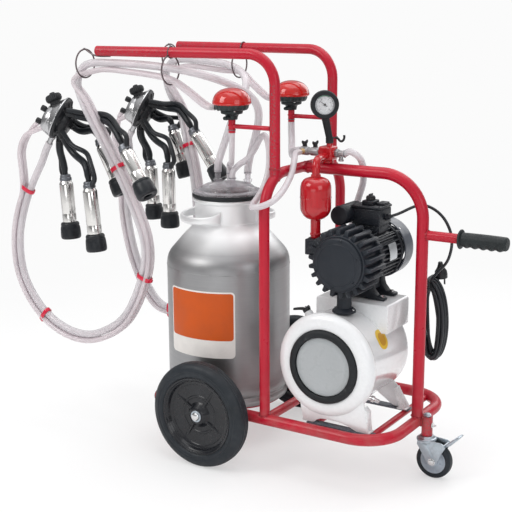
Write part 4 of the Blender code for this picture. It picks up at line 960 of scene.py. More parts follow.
def build_can_tray():
    """Round tray with a rolled rim and pressed rings on two carrier bars."""
    profile = [(0, 0.119), (0.159, 0.119), (0.162, 0.1196), (0.1625, 0.1232), (0.1618, 0.1268),
               (0.156, 0.127), (0.153, 0.1248), (0.144, 0.1248), (0.141, 0.1268), (0.1, 0.1268),
               (0.097, 0.1248), (0.085, 0.1248), (0.082, 0.1268), (0, 0.1268)]
    parts = [turned(profile, 72, (0, 0, 0), rad=0.001)]
    for x in X_TRAY_BARS:
        for _, s in SIDES:
            for inner, z0, z1 in ((0.12, 0.119, 0.1266), (0.202, 0.1255, 0.1362)):
                y0, y1 = sorted((s * inner, s * 0.218))
                parts.append(soft_box(x - 0.015, x + 0.015, y0, y1, z0, z1, 0.001, 1))
    piece('can_tray', parts, RED, join=True, sharp=32)


def build_weld_beads():
    """Beads where tube meets tube."""
    beads = []
    for _, s in SIDES:
        beads += [
            bead((X_POST, s * Y_RAIL, Z_RAIL + 0.014), Z_AXIS, R_POST + 0.0006),
            bead((X_POST, s * (Y_RAIL - 0.0145), Z_RAIL), Y_AXIS, 0.0131),
            bead((X_POST, s * Y_ARM, Z_CROSS + 0.0125), Z_AXIS, R_POST + 0.0006),
            bead((X_POST - R_POST + 0.0003, s * Y_ARM, Z_BRANCH), X_AXIS, 0.0068, 0.0012, 40),
            bead((X_AXLE, s * 0.2252, R_WHEEL), Y_AXIS, 0.0155, 0.0014)]
        for x in X_BARS:
            beads.append(bead((x, s * (Y_RAIL - 0.015), Z_TANK_BARS), Y_AXIS, 0.009, 0.0013, 40))
        for x in X_TRAY_BARS:
            beads.append(tube([vec(x - 0.015 + 0.03 * k / 12,
                                   s * 0.2015 + s * 0.0003 * sin(k * 2.1), 0.1366)
                               for k in range(13)], 0.0016, 8))
    beads += [
        bead((X_END, 0, Z_RAIL + 0.0152), Z_AXIS, R_MAIN + 0.0007),
        bead((X_END + R_MAIN - 0.0006, 0, Z_HANDLE), X_AXIS, 0.0136),
        bead((X_POST + R_POST - 0.001, 0, Z_CROSS), X_AXIS, R_MAIN + 0.0004),
        tube([vec(0.629, -0.0098 + 0.0006 * sin(k), 0.1405 + 0.021 * k / 8)
              for k in range(9)], 0.0014, 8)]
    piece('weld_beads', beads, WELD, sharp=60)


def build_end_plugs():
    """Plugs in the open ends of the rails and arms."""
    rail = [(0, 0.018), (0.012, 0.018), (0.0134, 0.014), (0.0134, 0.0004),
            (R_MAIN - 0.0002, 0.0004), (R_MAIN + 0.0002, -0.0016), (R_MAIN - 0.003, -0.0042),
            (0.007, -0.0054), (0, -0.0056)]
    arm = [(0, -0.016), (0.0105, -0.016), (0.0118, -0.012), (0.0118, 0.0003),
           (R_POST - 0.0001, 0.0003), (R_POST + 0.0003, 0.0022), (R_POST - 0.003, 0.0046),
           (0.005, 0.0058), (0, 0.0058)]
    for tag, s in SIDES:
        piece('rail_plug_' + tag, turned(rail, 40, (X_RAIL, s * Y_RAIL, Z_RAIL), X_AXIS, 0.0006),
              BLACK)
        along = vec(X_TIP - X_POST, s * (Y_TIP - Y_ARM), 0)
        piece('arm_plug_' + tag, turned(arm, 40, (X_TIP, s * Y_TIP, Z_ARM), along, 0.0006),
              RED)


def build_hose_rings():
    """Wire rings that carry the hoses: beyond each arm's end and under each arm."""
    for tag, ring, y in (('near', vec(-0.353, -0.195, 1.096), -0.193),
                         ('far', vec(-0.345, 0.195, 1.0965), 0.193)):
        stem = [(-0.262, y, 1.118), (-0.3, y, 1.1172), (-0.326, y, 1.1215),
                (ring.x - 0.004, y, 1.1385), (ring.x - 0.001, ring.y, 1.1372),
                (ring.x, ring.y - 0.012, 1.1335)]
        piece('hose_ring_tip_' + tag,
              [torus(ring, X_AXIS, R_HOSE_RING, R_WIRE, 72, 12),
               tube(flowing(stem, 6, 0.004, 4), R_WIRE, 12)], WIRE, sharp=50)
    for tag, ring, y in (('near', vec(-0.063, -0.179, 1.085), -0.1746),
                         ('far', vec(-0.056, 0.152, 1.085), 0.1742)):
        stem = [(ring.x, ring.y, ring.z + R_HOSE_RING), (ring.x, (ring.y + y) / 2, 1.1235),
                (ring.x, y, 1.1185)]
        piece('hose_ring_arm_' + tag,
              [torus(ring, X_AXIS, R_HOSE_RING, R_WIRE, 72, 12),
               tube(spline(stem, 6), R_WIRE, 12),
               torus((ring.x, y, Z_ARM), X_AXIS, R_POST + 0.0016, 0.0019, 48, 8)],
              WIRE, sharp=50)


def build_cable_hook():
    """Black hook on the far upper post."""
    hook = [(X_POST + dx, Y_ARM, z) for dx, z in (
        (0.0135, 0.886), (0.02, 0.883), (0.026, 0.877), (0.032, 0.876), (0.0375, 0.88),
        (0.04, 0.887), (0.0395, 0.894))]
    piece('cable_hook', [tube(spline(hook, 7), 0.0034, 14),
                         torus((X_POST, Y_ARM, 0.886), Z_AXIS, R_POST + 0.0012, 0.0022, 48, 8)],
          BLACK, sharp=50)


def grip_radius(x, angle):
    """Grip radius at x; the angle is from straight up."""
    if x < X_GRIP0 + 0.008:                  # end flange
        return 0.018 + 0.0078 * sin(pi * (x - X_GRIP0) / 0.008) ** 0.45
    radius = 0.018 + 0.0007 * sin((x - X_GRIP0) / (X_GRIP1 - X_GRIP0) * pi)
    if x < X_GRIP1 - 0.01:                   # finger waves below, fine knurl above
        low = max(0.0, -cos(angle)) ** 0.8
        radius += low * 0.0034 * (0.5 - 0.5 * cos(2 * pi * (x - X_GRIP0 - 0.01) / 0.0222))
        if X_GRIP0 + 0.018 < x < X_GRIP1 - 0.018:
            radius += max(0.0, cos(angle)) * 0.00035 * sin(angle * 34)
    to_end = X_GRIP1 - x
    if to_end < 0.006:                       # rounded outer end
        radius -= (0.006 - to_end) ** 2 * 90
    return radius


def build_handle_grip():
    sides, stations = 64, 150

    def ring(x, radius_at):
        angles = [2 * pi * j / sides for j in range(sides)]
        return [vec(x, radius_at(x, a) * sin(a), Z_HANDLE + radius_at(x, a) * cos(a))
                for a in angles]
    rings = [ring(X_GRIP0 + (X_GRIP1 - X_GRIP0) * k / stations, grip_radius)
             for k in range(stations + 1)]
    rings.append(ring(X_GRIP1 + 0.0004, lambda x, a: 0.01))
    verts, faces = loft(rings)
    del faces[-2]                            # the mouth stays open for the bore
    deep = len(verts)
    mouth = deep + sides
    for x in (0.8385, X_GRIP0 + 0.0003):
        verts += ring(x, lambda x, a: 0.0132)
    for j in range(sides):
        k = (j + 1) % sides
        faces.append((deep + j, deep + k, mouth + k, mouth + j))
        faces.append((j, k, mouth + k, mouth + j))
    faces.append(tuple(range(deep, mouth)))
    piece('handle_grip_rubber', (verts, faces), GRIP, rep='handle_grip')


build_trolley_frame()
build_can_tray()
build_weld_beads()
build_end_plugs()
build_hose_rings()
build_cable_hook()
build_handle_grip()


# ================================================================== wheels
# (radius, distance outwards from the wheel's inner reference face)
WHEEL_DISC = [
    (R_AXLE_BORE, 0.0006), (0.03, 0.0006), (0.033, 0.02), (0.06, 0.0225), (0.096, 0.0232),
    (0.0985, 0.006), (0.1113, 0.004), (0.1113, 0.054), (0.1085, 0.0548), (0.1055, 0.053),
    (0.1035, 0.05), (0.101, 0.0485), (0.0985, 0.044), (0.0965, 0.04), (0.089, 0.0385),
    (0.0875, 0.0368), (0.056, 0.0352), (0.0545, 0.0366), (0.05, 0.0366), (0.0485, 0.035),
    (0.036, 0.035), (0.03, 0.041), (0.024, 0.048), (0.02, 0.05), (R_AXLE_BORE, 0.05)]
TYRE_SECTION = [
    (0.1117, 0.0045), (0.115, 0.0022), (0.1215, 0.0014), (0.1235, 0.0026), (0.1265, 0.0026),
    (0.1285, 0.0016), (0.138, 0.004), (0.144, 0.008), (0.147, 0.012), (0.1492, 0.018),
    (0.1478, 0.02), (0.15, 0.0222), (0.15, 0.0275), (0.148, 0.029), (0.15, 0.0305),
    (0.15, 0.0358), (0.1478, 0.038), (0.1492, 0.04), (0.147, 0.046), (0.144, 0.05),
    (0.138, 0.054), (0.1285, 0.0566), (0.1265, 0.0556), (0.1235, 0.0556), (0.1215, 0.0568),
    (0.115, 0.056), (0.1117, 0.0535)]


def wheel_rib(matrix, angle):
    """Raised rib of the wheel's dish: a half-round ridge that falls outwards."""
    ca, sa = cos(angle), sin(angle)
    rings = []
    for i in range(15):
        f = i / 14
        radius = 0.03 + (0.092 - 0.03) * f
        top = 0.0352 + 0.0052 * (1 - f) ** 0.8 + 0.0012
        half = 0.0042 + 0.0022 * f
        section = [(u, 0.033 + (top - 0.033) * (1 - u * u) ** 0.5)
                   for u in [(q / 8 - 0.5) * 2 for q in range(9)]]
        section += [(-(-1), 0.0325), (-1, 0.0325)]
        rings.append([matrix @ Vector((radius * ca - u * half * sa,
                                       radius * sa + u * half * ca, height))
                      for u, height in section])
    return loft(rings)


def build_wheels():
    for tag, s in SIDES:
        place = ((X_AXLE, s * Y_WHEEL, R_WHEEL), (0, s, 0))
        matrix = frame_at(*place)
        start = pi / 4 + (0.22 if s < 0 else 0.0)
        piece('wheel_disc_' + tag,
              [turned_ring(WHEEL_DISC, 96, *place, 0.0012, 3)]
              + [wheel_rib(matrix, start + k * pi / 2) for k in range(4)],
              WHEEL_PLASTIC, 'wheel_' + tag, rep='wheel_' + tag, sharp=30)
        piece('tyre_rubber_' + tag, turned_ring(TYRE_SECTION, 128, *place), TYRE,
              'wheel_' + tag, rep='tyre_' + tag, sharp=30)
        bolt = [(0, -0.027), (0.009, -0.027), (0.009, 0.0505), (0.0165, 0.0505),
                (0.0165, 0.0525), (0, 0.0525)]
        cap = [(0, 0.052), (0.0115, 0.052), (0.0118, 0.056), (0.01, 0.059), (0.0055, 0.0607),
               (0, 0.0611)]
        piece('axle_bolt_visual_' + tag, turned(bolt, 40, *place, 0.0006), ZINC,
              rep='axle_bolt_' + tag)
        piece('axle_cap_nut_' + tag, turned(cap, 40, *place, 0.001), BRIGHT)


build_wheels()


# ================================================================== castor
CASTOR_AXIS = (X_CASTOR, 0, 0)
CASTOR_AXLE = (X_CWHEEL, 0, Z_CWHEEL)
# (x, z) outline of a fork leg
FORK_LEG = [
    (X_CASTOR - 0.018, 0.1085), (X_CASTOR + 0.022, 0.1085), (0.696, 0.1072), (0.7025, 0.104),
    (0.7055, 0.0965), (0.696, 0.079), (X_CWHEEL + 0.0135, Z_CWHEEL - 0.003),
    (X_CWHEEL + 0.0085, Z_CWHEEL - 0.0115), (X_CWHEEL, Z_CWHEEL - 0.014),
    (X_CWHEEL - 0.0095, Z_CWHEEL - 0.0105), (X_CWHEEL - 0.015, Z_CWHEEL - 0.002),
    (X_CASTOR - 0.02, 0.094)]
FORK_SWAGE = [(X_CASTOR - 0.006, 0.098), (X_CASTOR + 0.01, 0.098),
              (X_CWHEEL + 0.004, Z_CWHEEL + 0.014), (X_CWHEEL - 0.005, Z_CWHEEL + 0.014)]
PEDAL = [(0.696, 0.0975), (0.7005, 0.095), (0.719, 0.105), (0.741, 0.1275), (0.7435, 0.1315),
         (0.739, 0.1336), (0.715, 0.1135)]
# one half of the hub section (radius, distance from the middle), bore outwards
HUB_HALF = [(0.0063, 0.016), (0.0125, 0.016), (0.014, 0.015), (0.015, 0.0095), (0.02, 0.008),
            (0.028, 0.008), (0.031, 0.01), (0.0345, 0.0118), (0.0358, 0.0118)]
TREAD_HALF = [(0.036, 0.0122), (0.04, 0.013), (0.0455, 0.0124), (0.049, 0.0095), (0.05, 0.0055)]


def mirrored(half):
    """Closed section made of a half and its mirror image."""
    return [(radius, -side) for radius, side in half] + half[::-1]


def build_castor():
    stem = [(0, 0.099), (0.013, 0.099), (0.013, 0.1055), (0.008, 0.1055), (0.008, 0.1695),
            (0, 0.1695)]
    tip = [(0, 0.1755), (0.0072, 0.1755), (0.0072, 0.1784), (0, 0.1788)]
    piece('castor_stem_bolt', [turned(stem, 36, CASTOR_AXIS, rad=0.0006),
                               hexagon(0.0116, 0.1693, 0.176, CASTOR_AXIS),
                               turned(tip, 24, CASTOR_AXIS, rad=0.0008)],
          ZINC, rep='castor_stem')
    piece('socket_screw',
          hex_head((X_CASTOR + 0.0149, 0, 0.147), X_AXIS, 0.0095, 0.0046)
          + [cyl((X_CASTOR + 0.01, 0, 0.147), (X_CASTOR + 0.026, 0, 0.147), 0.0028, 16)],
          BRIGHT)
    crown = [(0.0084, 0.1062), (0.0255, 0.1062), (0.027, 0.1075), (0.027, 0.1088),
             (0.0255, 0.1102), (0.0225, 0.111), (0.02, 0.114), (0.0185, 0.1163),
             (0.0084, 0.1163)]
    parts = [turned_ring(crown, 48, CASTOR_AXIS)]
    for _, s in SIDES:
        parts.append(soft(prism_y(FORK_LEG, *sorted((s * 0.0175, s * 0.0208))), 0.0009, 2))
        parts.append(soft(prism_y(FORK_SWAGE, *sorted((s * 0.02, s * 0.0224))), 0.0011, 2))
    piece('castor_fork_pressing', parts, ZINC, 'castor_fork', rep='castor_fork',
          sharp=34)
    nuts = []
    for _, s in SIDES:
        nuts += [hexagon(0.0082, 0, 0.0052, (X_CWHEEL, s * 0.0212, Z_CWHEEL), (0, s, 0)),
                 puck(0.01, 0, 0.0012, 32, (X_CWHEEL, s * 0.0207, Z_CWHEEL), (0, s, 0), 0.0003)]
    nuts.append(cyl((X_CWHEEL, -0.0262, Z_CWHEEL), (X_CWHEEL, 0.0262, Z_CWHEEL), 0.0042, 24))
    piece('castor_axle_nuts', nuts, BRIGHT, 'castor_fork')
    race = [(0.0262, 0.104), (0.0275, 0.104), (0.0275, 0.1068), (0.0262, 0.1068)]
    piece('castor_race_ring', turned_ring(race, 48, CASTOR_AXIS, rad=0.0003, steps=3),
          ZINC, 'castor_fork')
    wheel = [turned_ring(mirrored(HUB_HALF), 64, CASTOR_AXLE, Y_AXIS, 0.0007)]
    for _, s in SIDES:
        for k in range(6):
            matrix = frame_at(CASTOR_AXLE, (0, s, 0)) @ Matrix.Rotation(k * pi / 3 + 0.2, 4, 'Z')
            spoke = moved(box(0.014, 0.032, -0.0012, 0.0012, 0.007, 0.0098), matrix)
            wheel.append(soft(spoke, 0.0006, 2))
    piece('castor_wheel_hub', wheel, CASTOR_GREY, 'castor_wheel',
          rep='castor_wheel', sharp=32)
    piece('castor_tread',
          turned_ring(mirrored(TREAD_HALF), 96, CASTOR_AXLE, Y_AXIS, 0.001, 3),
          TYRE, 'castor_wheel', sharp=40)
    pedal = [soft(prism_y(PEDAL, -0.015, 0.015), 0.0012, 2),
             cyl((0.7, -0.0168, 0.099), (0.7, 0.0168, 0.099), 0.004, 24)]
    for k in range(4):                       # anti-slip ribs
        f = 0.3 + 0.19 * k
        x, z = 0.715 + (0.739 - 0.715) * f, 0.1135 + (0.1336 - 0.1135) * f
        pedal.append(tube([(x, -0.0125, z), (x, 0, z + 0.0002), (x, 0.0125, z)], 0.0009, 8))
    piece('castor_brake_pedal', pedal, ZINC, 'castor_brake', rep='castor_brake',
          sharp=32)


build_castor()


# ===================================================================== can
# (radius, height): up the outside, over the rim and down the inside
CAN_PROFILE = (
    raised(Z_CAN0, [
        (0, 0.02), (0.152, 0.02), (0.1585, 0.004), (0.16, 0), (0.1712, 0), (0.1725, 0.0015),
        (0.1738, 0.01), (0.1735, 0.016), (0.1708, 0.0215), (0.1702, 0.0245), (0.1712, 0.0275),
        (0.1755, 0.0305), (0.179, 0.036), (R_CAN, 0.046), (R_CAN, 0.06)])
    + raised(Z_CAN1, [
        (R_CAN, -0.02), (0.1798, -0.01), (0.1785, 0.001), (0.1755, 0.011), (0.1715, 0.019),
        (0.167, 0.0255), (0.16, 0.0335)])
    + [(0.133, 0.601), (0.123, 0.6118), (0.1155, 0.619), (0.1085, 0.6262), (0.1035, 0.6325),
       (0.0995, 0.6392), (0.0968, 0.646), (R_NECK, 0.653)]
    + raised(Z_RIM, [
        (R_NECK, -0.0145), (0.0962, -0.0125), (0.0988, -0.0108), (0.1003, -0.008),
        (0.1005, -0.004), (0.0998, -0.0008), (0.0985, 0), (0.0912, 0), (0.091, -0.002)])
    + [(0.091, 0.65), (0.0975, 0.634), (0.114, 0.6155)]
    + raised(Z_CAN1, [(0.164, 0.0235), (0.1745, 0.002), (0.1765, -0.013)])
    + raised(Z_CAN0, [(0.1765, 0.047), (0.16, 0.034), (0, 0.03)]))


def can_handle(middle):
    """Cast band handle round the neck, bowed out, with thicker feet and rivets."""
    rings = []
    for k in range(45):
        u = -1 + 2 * k / 44
        angle = radians(middle + u * 56)
        bow = 1 - abs(u) ** 2.6
        foot = max(0.0, abs(u) - 0.72) / 0.28
        half_height = 0.0105 + 0.0085 * foot ** 1.5
        half_thick = 0.0056 + 0.0018 * foot
        out = vec(cos(angle), sin(angle), 0)
        centre = out * (0.0945 + 0.041 * bow) + vec(0, 0, 0.6675 - 0.008 * bow)
        turns = [2 * pi * j / 20 for j in range(20)]
        rings.append([centre + out * (half_thick * flattened(cos(q), 0.75))
                      + vec(0, 0, half_height * flattened(sin(q), 0.75)) for q in turns])
    rivet = [(0, 0), (0.0042, 0), (0.004, 0.0018), (0.0024, 0.003), (0, 0.0034)]
    parts = [loft(rings)]
    for end in (-1, 1):
        angle = radians(middle + end * 52)
        out = vec(cos(angle), sin(angle), 0)
        for dz in (-0.0085, 0.0085):
            parts.append(turned(rivet, 20, out * 0.1015 + vec(0, 0, 0.6672 + dz), out, 0.0006))
    return parts


def build_can():
    piece('can_body_shell', lathe(CAN_PROFILE, 144, (0, 0, 0)), CAN,
          rep='can_body', sharp=50)
    piece('can_seam_rings', [torus((0, 0, 0.6475), Z_AXIS, 0.0968, 0.0013, 144, 10),
                             torus((0, 0, Z_CAN1 - 0.0165), Z_AXIS, R_CAN - 0.0002, 0.0009,
                                   160, 8)], CAN, sharp=60)
    piece('can_handles', can_handle(236) + can_handle(56), CAN, sharp=45)
    # blank sticker on the near side: white film with an orange field
    a0, a1 = radians(-119.6), radians(-50.6)
    top, border = 0.474, 0.0045
    flat = Matrix.Identity(4)
    piece('can_sticker_border',
          arc_strip(R_CAN, a0, a1, 0.28, top, 0.012, 0.0002, 0.0004, flat, 56, 40),
          VINYL, sharp=60)
    inset = border / R_CAN
    piece('can_sticker_field',
          arc_strip(R_CAN, a0 + inset, a1 - inset, 0.332, top - border, 0.009, 0.0007, 0.0003,
                    flat, 56, 36), ORANGE, sharp=60)


build_can()


# ===================================================================== lid
Z_LID = Z_RIM + 2 * GAP + 0.012
# nozzles: x, y, radius, height above Z_LID
LID_PORTS = [(-0.034, 0.0, 0.0085, 0.056), (0.014, -0.012, 0.007, 0.054),
             (0.046, 0.036, 0.0085, 0.052), (0.046, -0.044, 0.0085, 0.046)]
# (radius, height above Z_LID): outside of the dome, then its inside and skirt
LID_DOME = [
    (0.1008, 0.0002), (0.101, 0.0046), (0.0985, 0.0056), (0.085, 0.0072), (0.081, 0.0095),
    (0.078, 0.015), (0.0715, 0.0205), (0.062, 0.0245), (0.05, 0.0272), (0.036, 0.029),
    (0.018, 0.0299), (0, 0.0302), (0, 0.0274), (0.018, 0.0271), (0.034, 0.0262),
    (0.049, 0.0242), (0.06, 0.0214), (0.069, 0.017), (0.0745, 0.012), (0.078, 0.0045),
    (0.0868, 0.0035), (0.0868, -0.015), (0.0893, -0.015), (0.0895, 0.0002)]
LID_SEAL = [
    (0.0899, 0.0004), (0.1003, 0.0004), (0.1024, 0.002), (0.1034, 0.005), (0.1034, 0.008),
    (0.1024, 0.0106), (0.1003, 0.0121), (0.0899, 0.0121)]


def port_top(k):
    x, y, _, height = LID_PORTS[k]
    return vec(x, y, Z_LID + height + 2 * GAP)


def build_lid():
    origin = (0, 0, 0)
    piece('lid_dome_clear', turned_ring(raised(Z_LID, LID_DOME), 112, origin), LID_CLEAR,
          'lid', rep='can_lid', sharp=40)
    valves = []
    for x, y, r in ((-0.036, 0.004, 0.0255), (0.038, 0.004, 0.027), (0.004, -0.044, 0.016)):
        profile = raised(Z_LID, [(0, -0.01), (r * 0.8, -0.01), (r, -0.004), (r, 0.01),
                                 (r * 0.86, 0.0165), (r * 0.45, 0.0205), (0, 0.021)])
        valves.append(turned(profile, 48, (x, y, 0), rad=0.002))
        valves.append(torus((x, y, Z_LID + 0.002), Z_AXIS, r + 0.0003, 0.0009, 48, 8))
    piece('lid_float_valves', valves, FLOAT, 'lid', sharp=40)
    rim = [turned_ring(raised(Z_LID, [(0.079, 0.005), (0.096, 0.0052), (0.096, 0.007),
                                      (0.084, 0.0092), (0.08, 0.009)]), 112, origin, steps=3)]
    rib = box(0.0795, 0.0935, -0.001, 0.001, Z_LID + 0.006, Z_LID + 0.0098)
    for k in range(12):
        rim.append(soft(moved(rib, Matrix.Rotation(2 * pi * (k + 0.5) / 12, 4, 'Z')), 0.0005, 1))
    piece('lid_rim_ribs', rim, LID_CLEAR, 'lid', sharp=40)
    nozzles, clips = [], []
    for x, y, r, height in LID_PORTS:
        profile = raised(Z_LID, [(r - 0.0026, 0.024), (r, 0.024), (r + 0.004, 0.033),
                                 (r + 0.004, 0.0365), (r, 0.038), (r, height),
                                 (r - 0.0026, height)])
        nozzles.append(turned_ring(profile, 36, (x, y, 0), rad=0.0006))
        clips.append(torus((x, y, Z_LID + height + 0.004), Z_AXIS,
                           0.0104 if r > 0.008 else 0.0082, 0.001, 40, 8))
    piece('lid_nozzles', nozzles, LID_CLEAR, 'lid', sharp=40)
    piece('lid_hose_clips', clips, COLLAR, 'lid', sharp=50)
    piece('lid_seal_ring', turned_ring(raised(Z_RIM, LID_SEAL), 112, origin), RUBBER,
          'lid', rep='lid_gasket', sharp=40)


build_lid()


# ==================================================================== tank
TANK_AXIS = ((X_TANK, 0, Z_TANK), Y_AXIS)
# (radius, y): outside from the near mouth to the far end, then back inside
TANK_SHELL = (
    raised(Y_TANK0, [
        (0.1005, 0.0035), (0.1012, 0.001), (0.104, 0), (0.118, 0.0004), (0.128, 0.0022),
        (0.1345, 0.0054), (0.1392, 0.0102), (0.1418, 0.016), (0.1425, 0.022),
        (0.1418, 0.0275), (0.139, 0.034), (0.1345, 0.0392), (0.1312, 0.0425),
        (R_TANK, 0.0462)])
    + raised(Y_TANK1, [
        (R_TANK, -0.031), (0.129, -0.024), (0.1262, -0.0175), (0.118, -0.01),
        (0.103, -0.0048), (0.085, -0.002), (0.045, -0.0004), (0, 0), (0, -0.003),
        (0.084, -0.005), (0.1155, -0.0125), (R_TANK - 0.003, -0.031)])
    + raised(Y_TANK0, [(R_TANK - 0.003, 0.045), (0.135, 0.035), (0.138, 0.022),
                       (0.1005, 0.014)]))
TANK_SEAL = raised(Y_TANK0, [
    (0.0812, -0.0072), (0.0832, -0.0086), (0.087, -0.0092), (0.092, -0.0088),
    (0.0965, -0.0072), (0.0996, -0.0045), (0.1002, -0.001), (0.0998, 0.0006),
    (0.0985, 0.0012), (0.0985, 0.012), (0.0812, 0.012)])
TANK_COVER = raised(Y_TANK0, [
    (0, -0.003), (0.03, -0.0031), (0.056, -0.004), (0.064, -0.0046), (0.069, -0.004),
    (0.0735, -0.0026), (0.079, -0.0022), (0.0804, -0.0008), (0.0804, 0.01), (0, 0.01)])
# (x, z) outlines
SADDLE = [(0.33, 0.4), (0.33, 0.47), (0.332, 0.4745), (0.336, 0.477), (0.541, 0.477),
          (0.545, 0.4745), (0.547, 0.47), (0.547, 0.4)]
NEAR_FOOT = (
    [(0.368, 0.1608), (0.386, 0.1608), (0.394, 0.1625), (0.402, 0.17), (0.412, 0.1752),
     (0.424, 0.1765), (0.46, 0.1765), (0.48, 0.1745), (0.5, 0.169), (0.522, 0.1608),
     (0.553, 0.1608), (0.556, 0.164), (0.552, 0.175), (0.549, 0.2)]
    + [(X_TANK + 0.134 * cos(radians(a)), Z_TANK + 0.134 * sin(radians(a)))
       for a in range(-32, -149, -6)]
    + [(0.342, 0.235), (0.352, 0.2), (0.36, 0.168)])
FAR_FOOT = [(0.362, 0.1608), (0.398, 0.1608), (0.402, 0.168), (0.412, 0.215), (0.437, 0.215),
            (0.505, 0.17), (0.52, 0.1608), (0.5655, 0.1608), (0.5665, 0.168), (0.535, 0.215),
            (0.506, 0.245), (0.35, 0.245), (0.358, 0.215), (0.362, 0.168)]
TAP_SEAT = vec(0.325, -0.098, 0.441)
TAP_AXIS = vec(-0.02, 0, 0.026)


def build_tank_body():
    piece('tank_barrel', turned_ring(TANK_SHELL, 128, *TANK_AXIS, 0.001), WHITE,
          rep='tank_shell', sharp=50)
    parts = [soft(prism_y(SADDLE, -0.06, 0.072), 0.0022, 3)]
    for s, first in ((1, 35), (-1, 37)):     # weld lines down both sides
        for y in (-0.0608, 0.0728):
            line = [vec(X_TANK + s * R_TANK * cos(radians(t)), y,
                        Z_TANK + R_TANK * sin(radians(t))) for t in range(first, 58, 2)]
            parts.append(tube(line, 0.0018, 8))
    piece('tank_saddle', parts, WHITE, sharp=40)


def build_tank_feet():
    def bent(outline, y0, y1):
        return soft(prism_y(outline, y0, y1), 0.0014, 2)
    feet = [soft(prism_y(NEAR_FOOT, -0.1812, -0.1735), 0.0016, 2),
            soft_box(0.357, 0.3905, -0.18, -0.1545, 0.1606, 0.165, 0.0014, 2),
            soft_box(0.524, 0.56, -0.18, -0.1545, 0.1606, 0.165, 0.0014, 2),
            bent([(0.545, 0.162), (0.556, 0.162), (0.552, 0.218), (0.54, 0.23)], -0.18, -0.156),
            bent([(0.36, 0.162), (0.37, 0.162), (0.364, 0.218), (0.352, 0.226)], -0.18, -0.156),
            bent(FAR_FOOT, 0.0465, 0.0545),
            bent([(0.545, 0.162), (0.564, 0.162), (0.534, 0.222), (0.526, 0.218)], 0.03, 0.054),
            soft_box(0.538, 0.5665, 0.029, 0.0545, 0.1606, 0.1648, 0.0014, 2),
            soft_box(0.362, 0.395, 0.029, 0.0545, 0.1606, 0.1648, 0.0014, 2)]
    piece('tank_feet', feet, WHITE, sharp=36)
    bolts = []
    for x, y in ((0.374, -0.164), (0.544, -0.164), (0.378, 0.04), (0.554, 0.04)):
        bolts += hex_head((x, y, 0.1648), Z_AXIS, 0.0105, 0.0052)
    piece('tank_foot_bolts', bolts, BRIGHT)


def build_tank_fittings():
    socket = [(0.0052, 0), (0.01, 0), (0.01, 0.02), (0.0118, 0.0215), (0.0118, 0.029),
              (0.01, 0.0305), (0.01, 0.0328), (0.0052, 0.0328)]
    piece('tank_tap_socket',
          turned_ring(socket, 36, (0.345, -0.098, 0.415), TAP_AXIS, 0.0006, 3),
          WHITE)
    piece('tank_seal_ring', turned_ring(TANK_SEAL, 128, *TANK_AXIS), RUBBER,
          rep='tank_seal', sharp=40)
    piece('tank_cover_disc', turned(TANK_COVER, 128, *TANK_AXIS, 0.0008, 2), COVER_GREY,
          rep='tank_cover', sharp=50)
    drain = [(0, 0), (0.007, 0), (0.007, 0.018), (0.0092, 0.019), (0.0092, 0.027),
             (0.006, 0.028), (0.006, 0.042), (0, 0.042)]
    piece('tank_drain_stub', turned(drain, 32, (0.47, -0.03, 0.204), (0.55, 0.35, -0.3), 0.0006),
          BRIGHT)


def build_tank_decals():
    """Blank decals on the barrel. Angles run from +X; negative ones are above."""
    matrix = frame_at(*TANK_AXIS, X_AXIS)

    def decal(name, material, middle, half, y0, y1, corner, lift, thick, nx, ny):
        angle = -radians(middle)
        strip = arc_strip(R_TANK, angle - half, angle + half, y0, y1, corner, lift, thick,
                          matrix, nx, ny)
        piece(name, strip, material, sharp=60)
    decal('tank_oval_decal', YELLOW, middle=29.7, half=0.215, y0=-0.096, y1=-0.048,
          corner=0.0235, lift=0.0002, thick=0.0004, nx=30, ny=30)
    decal('tank_oval_decal_centre', OCHRE, middle=29.7, half=0.14, y0=-0.087, y1=-0.057,
          corner=0.0148, lift=0.0007, thick=0.0003, nx=24, ny=24)
    decal('tank_bar_decal', PINK, middle=35.6, half=0.034, y0=-0.03, y1=0.048,
          corner=0.0012, lift=0.0002, thick=0.0004, nx=12, ny=40)


def build_tank_tap():
    axis = TAP_AXIS.normalized()
    base = TAP_SEAT + axis * GAP
    side = vec(0.79, 0, 0.61)
    hub = base + axis * 0.008
    path = spline([hub + side * 0.012, hub] + [hub - side * a + axis * b for a, b in (
        (0.01, 0.006), (0.022, 0.0125), (0.034, 0.018))], 7)
    across = vec(0, 1, 0)
    rings = []
    for i, (centre, _, _, tangent) in enumerate(frames(path)):
        u = i / (len(path) - 1)
        half_width = 0.004 + 0.0026 * u if u < 0.94 else 0.005
        half_height = 0.0048 - 0.0016 * u
        normal = tangent.cross(across).normalized()
        turns = [2 * pi * j / 20 for j in range(20)]
        rings.append([centre + across * (half_width * flattened(cos(q), 0.7))
                      + normal * (half_height * flattened(sin(q), 0.7)) for q in turns])
    boss = [(0, 0), (0.0105, 0), (0.0105, 0.0095), (0.0085, 0.012), (0, 0.0122)]
    ridge = soft(box(0.0098, 0.011, -0.001, 0.001, 0.0015, 0.0085), 0.0004, 1)
    piece('tank_tap_handle',
          [loft(rings), turned(boss, 40, base, axis, 0.0008)]
          + around(ridge, 10, frame_at(base, axis)),
          BLACK, 'tank_tap', rep='tank_tap_lever', sharp=40)
    piece('tank_tap_screw', socket_head(base + axis * 0.0118, axis, 0.004, 0.003), BRIGHT,
          'tank_tap')


build_tank_body()
build_tank_feet()
build_tank_fittings()
build_tank_decals()
build_tank_tap()


# =========================================================== pump and motor
PUMP_AXIS = ((X_PUMP, 0, Z_PUMP), Y_AXIS)
PUMP_FRAME = frame_at(*PUMP_AXIS)
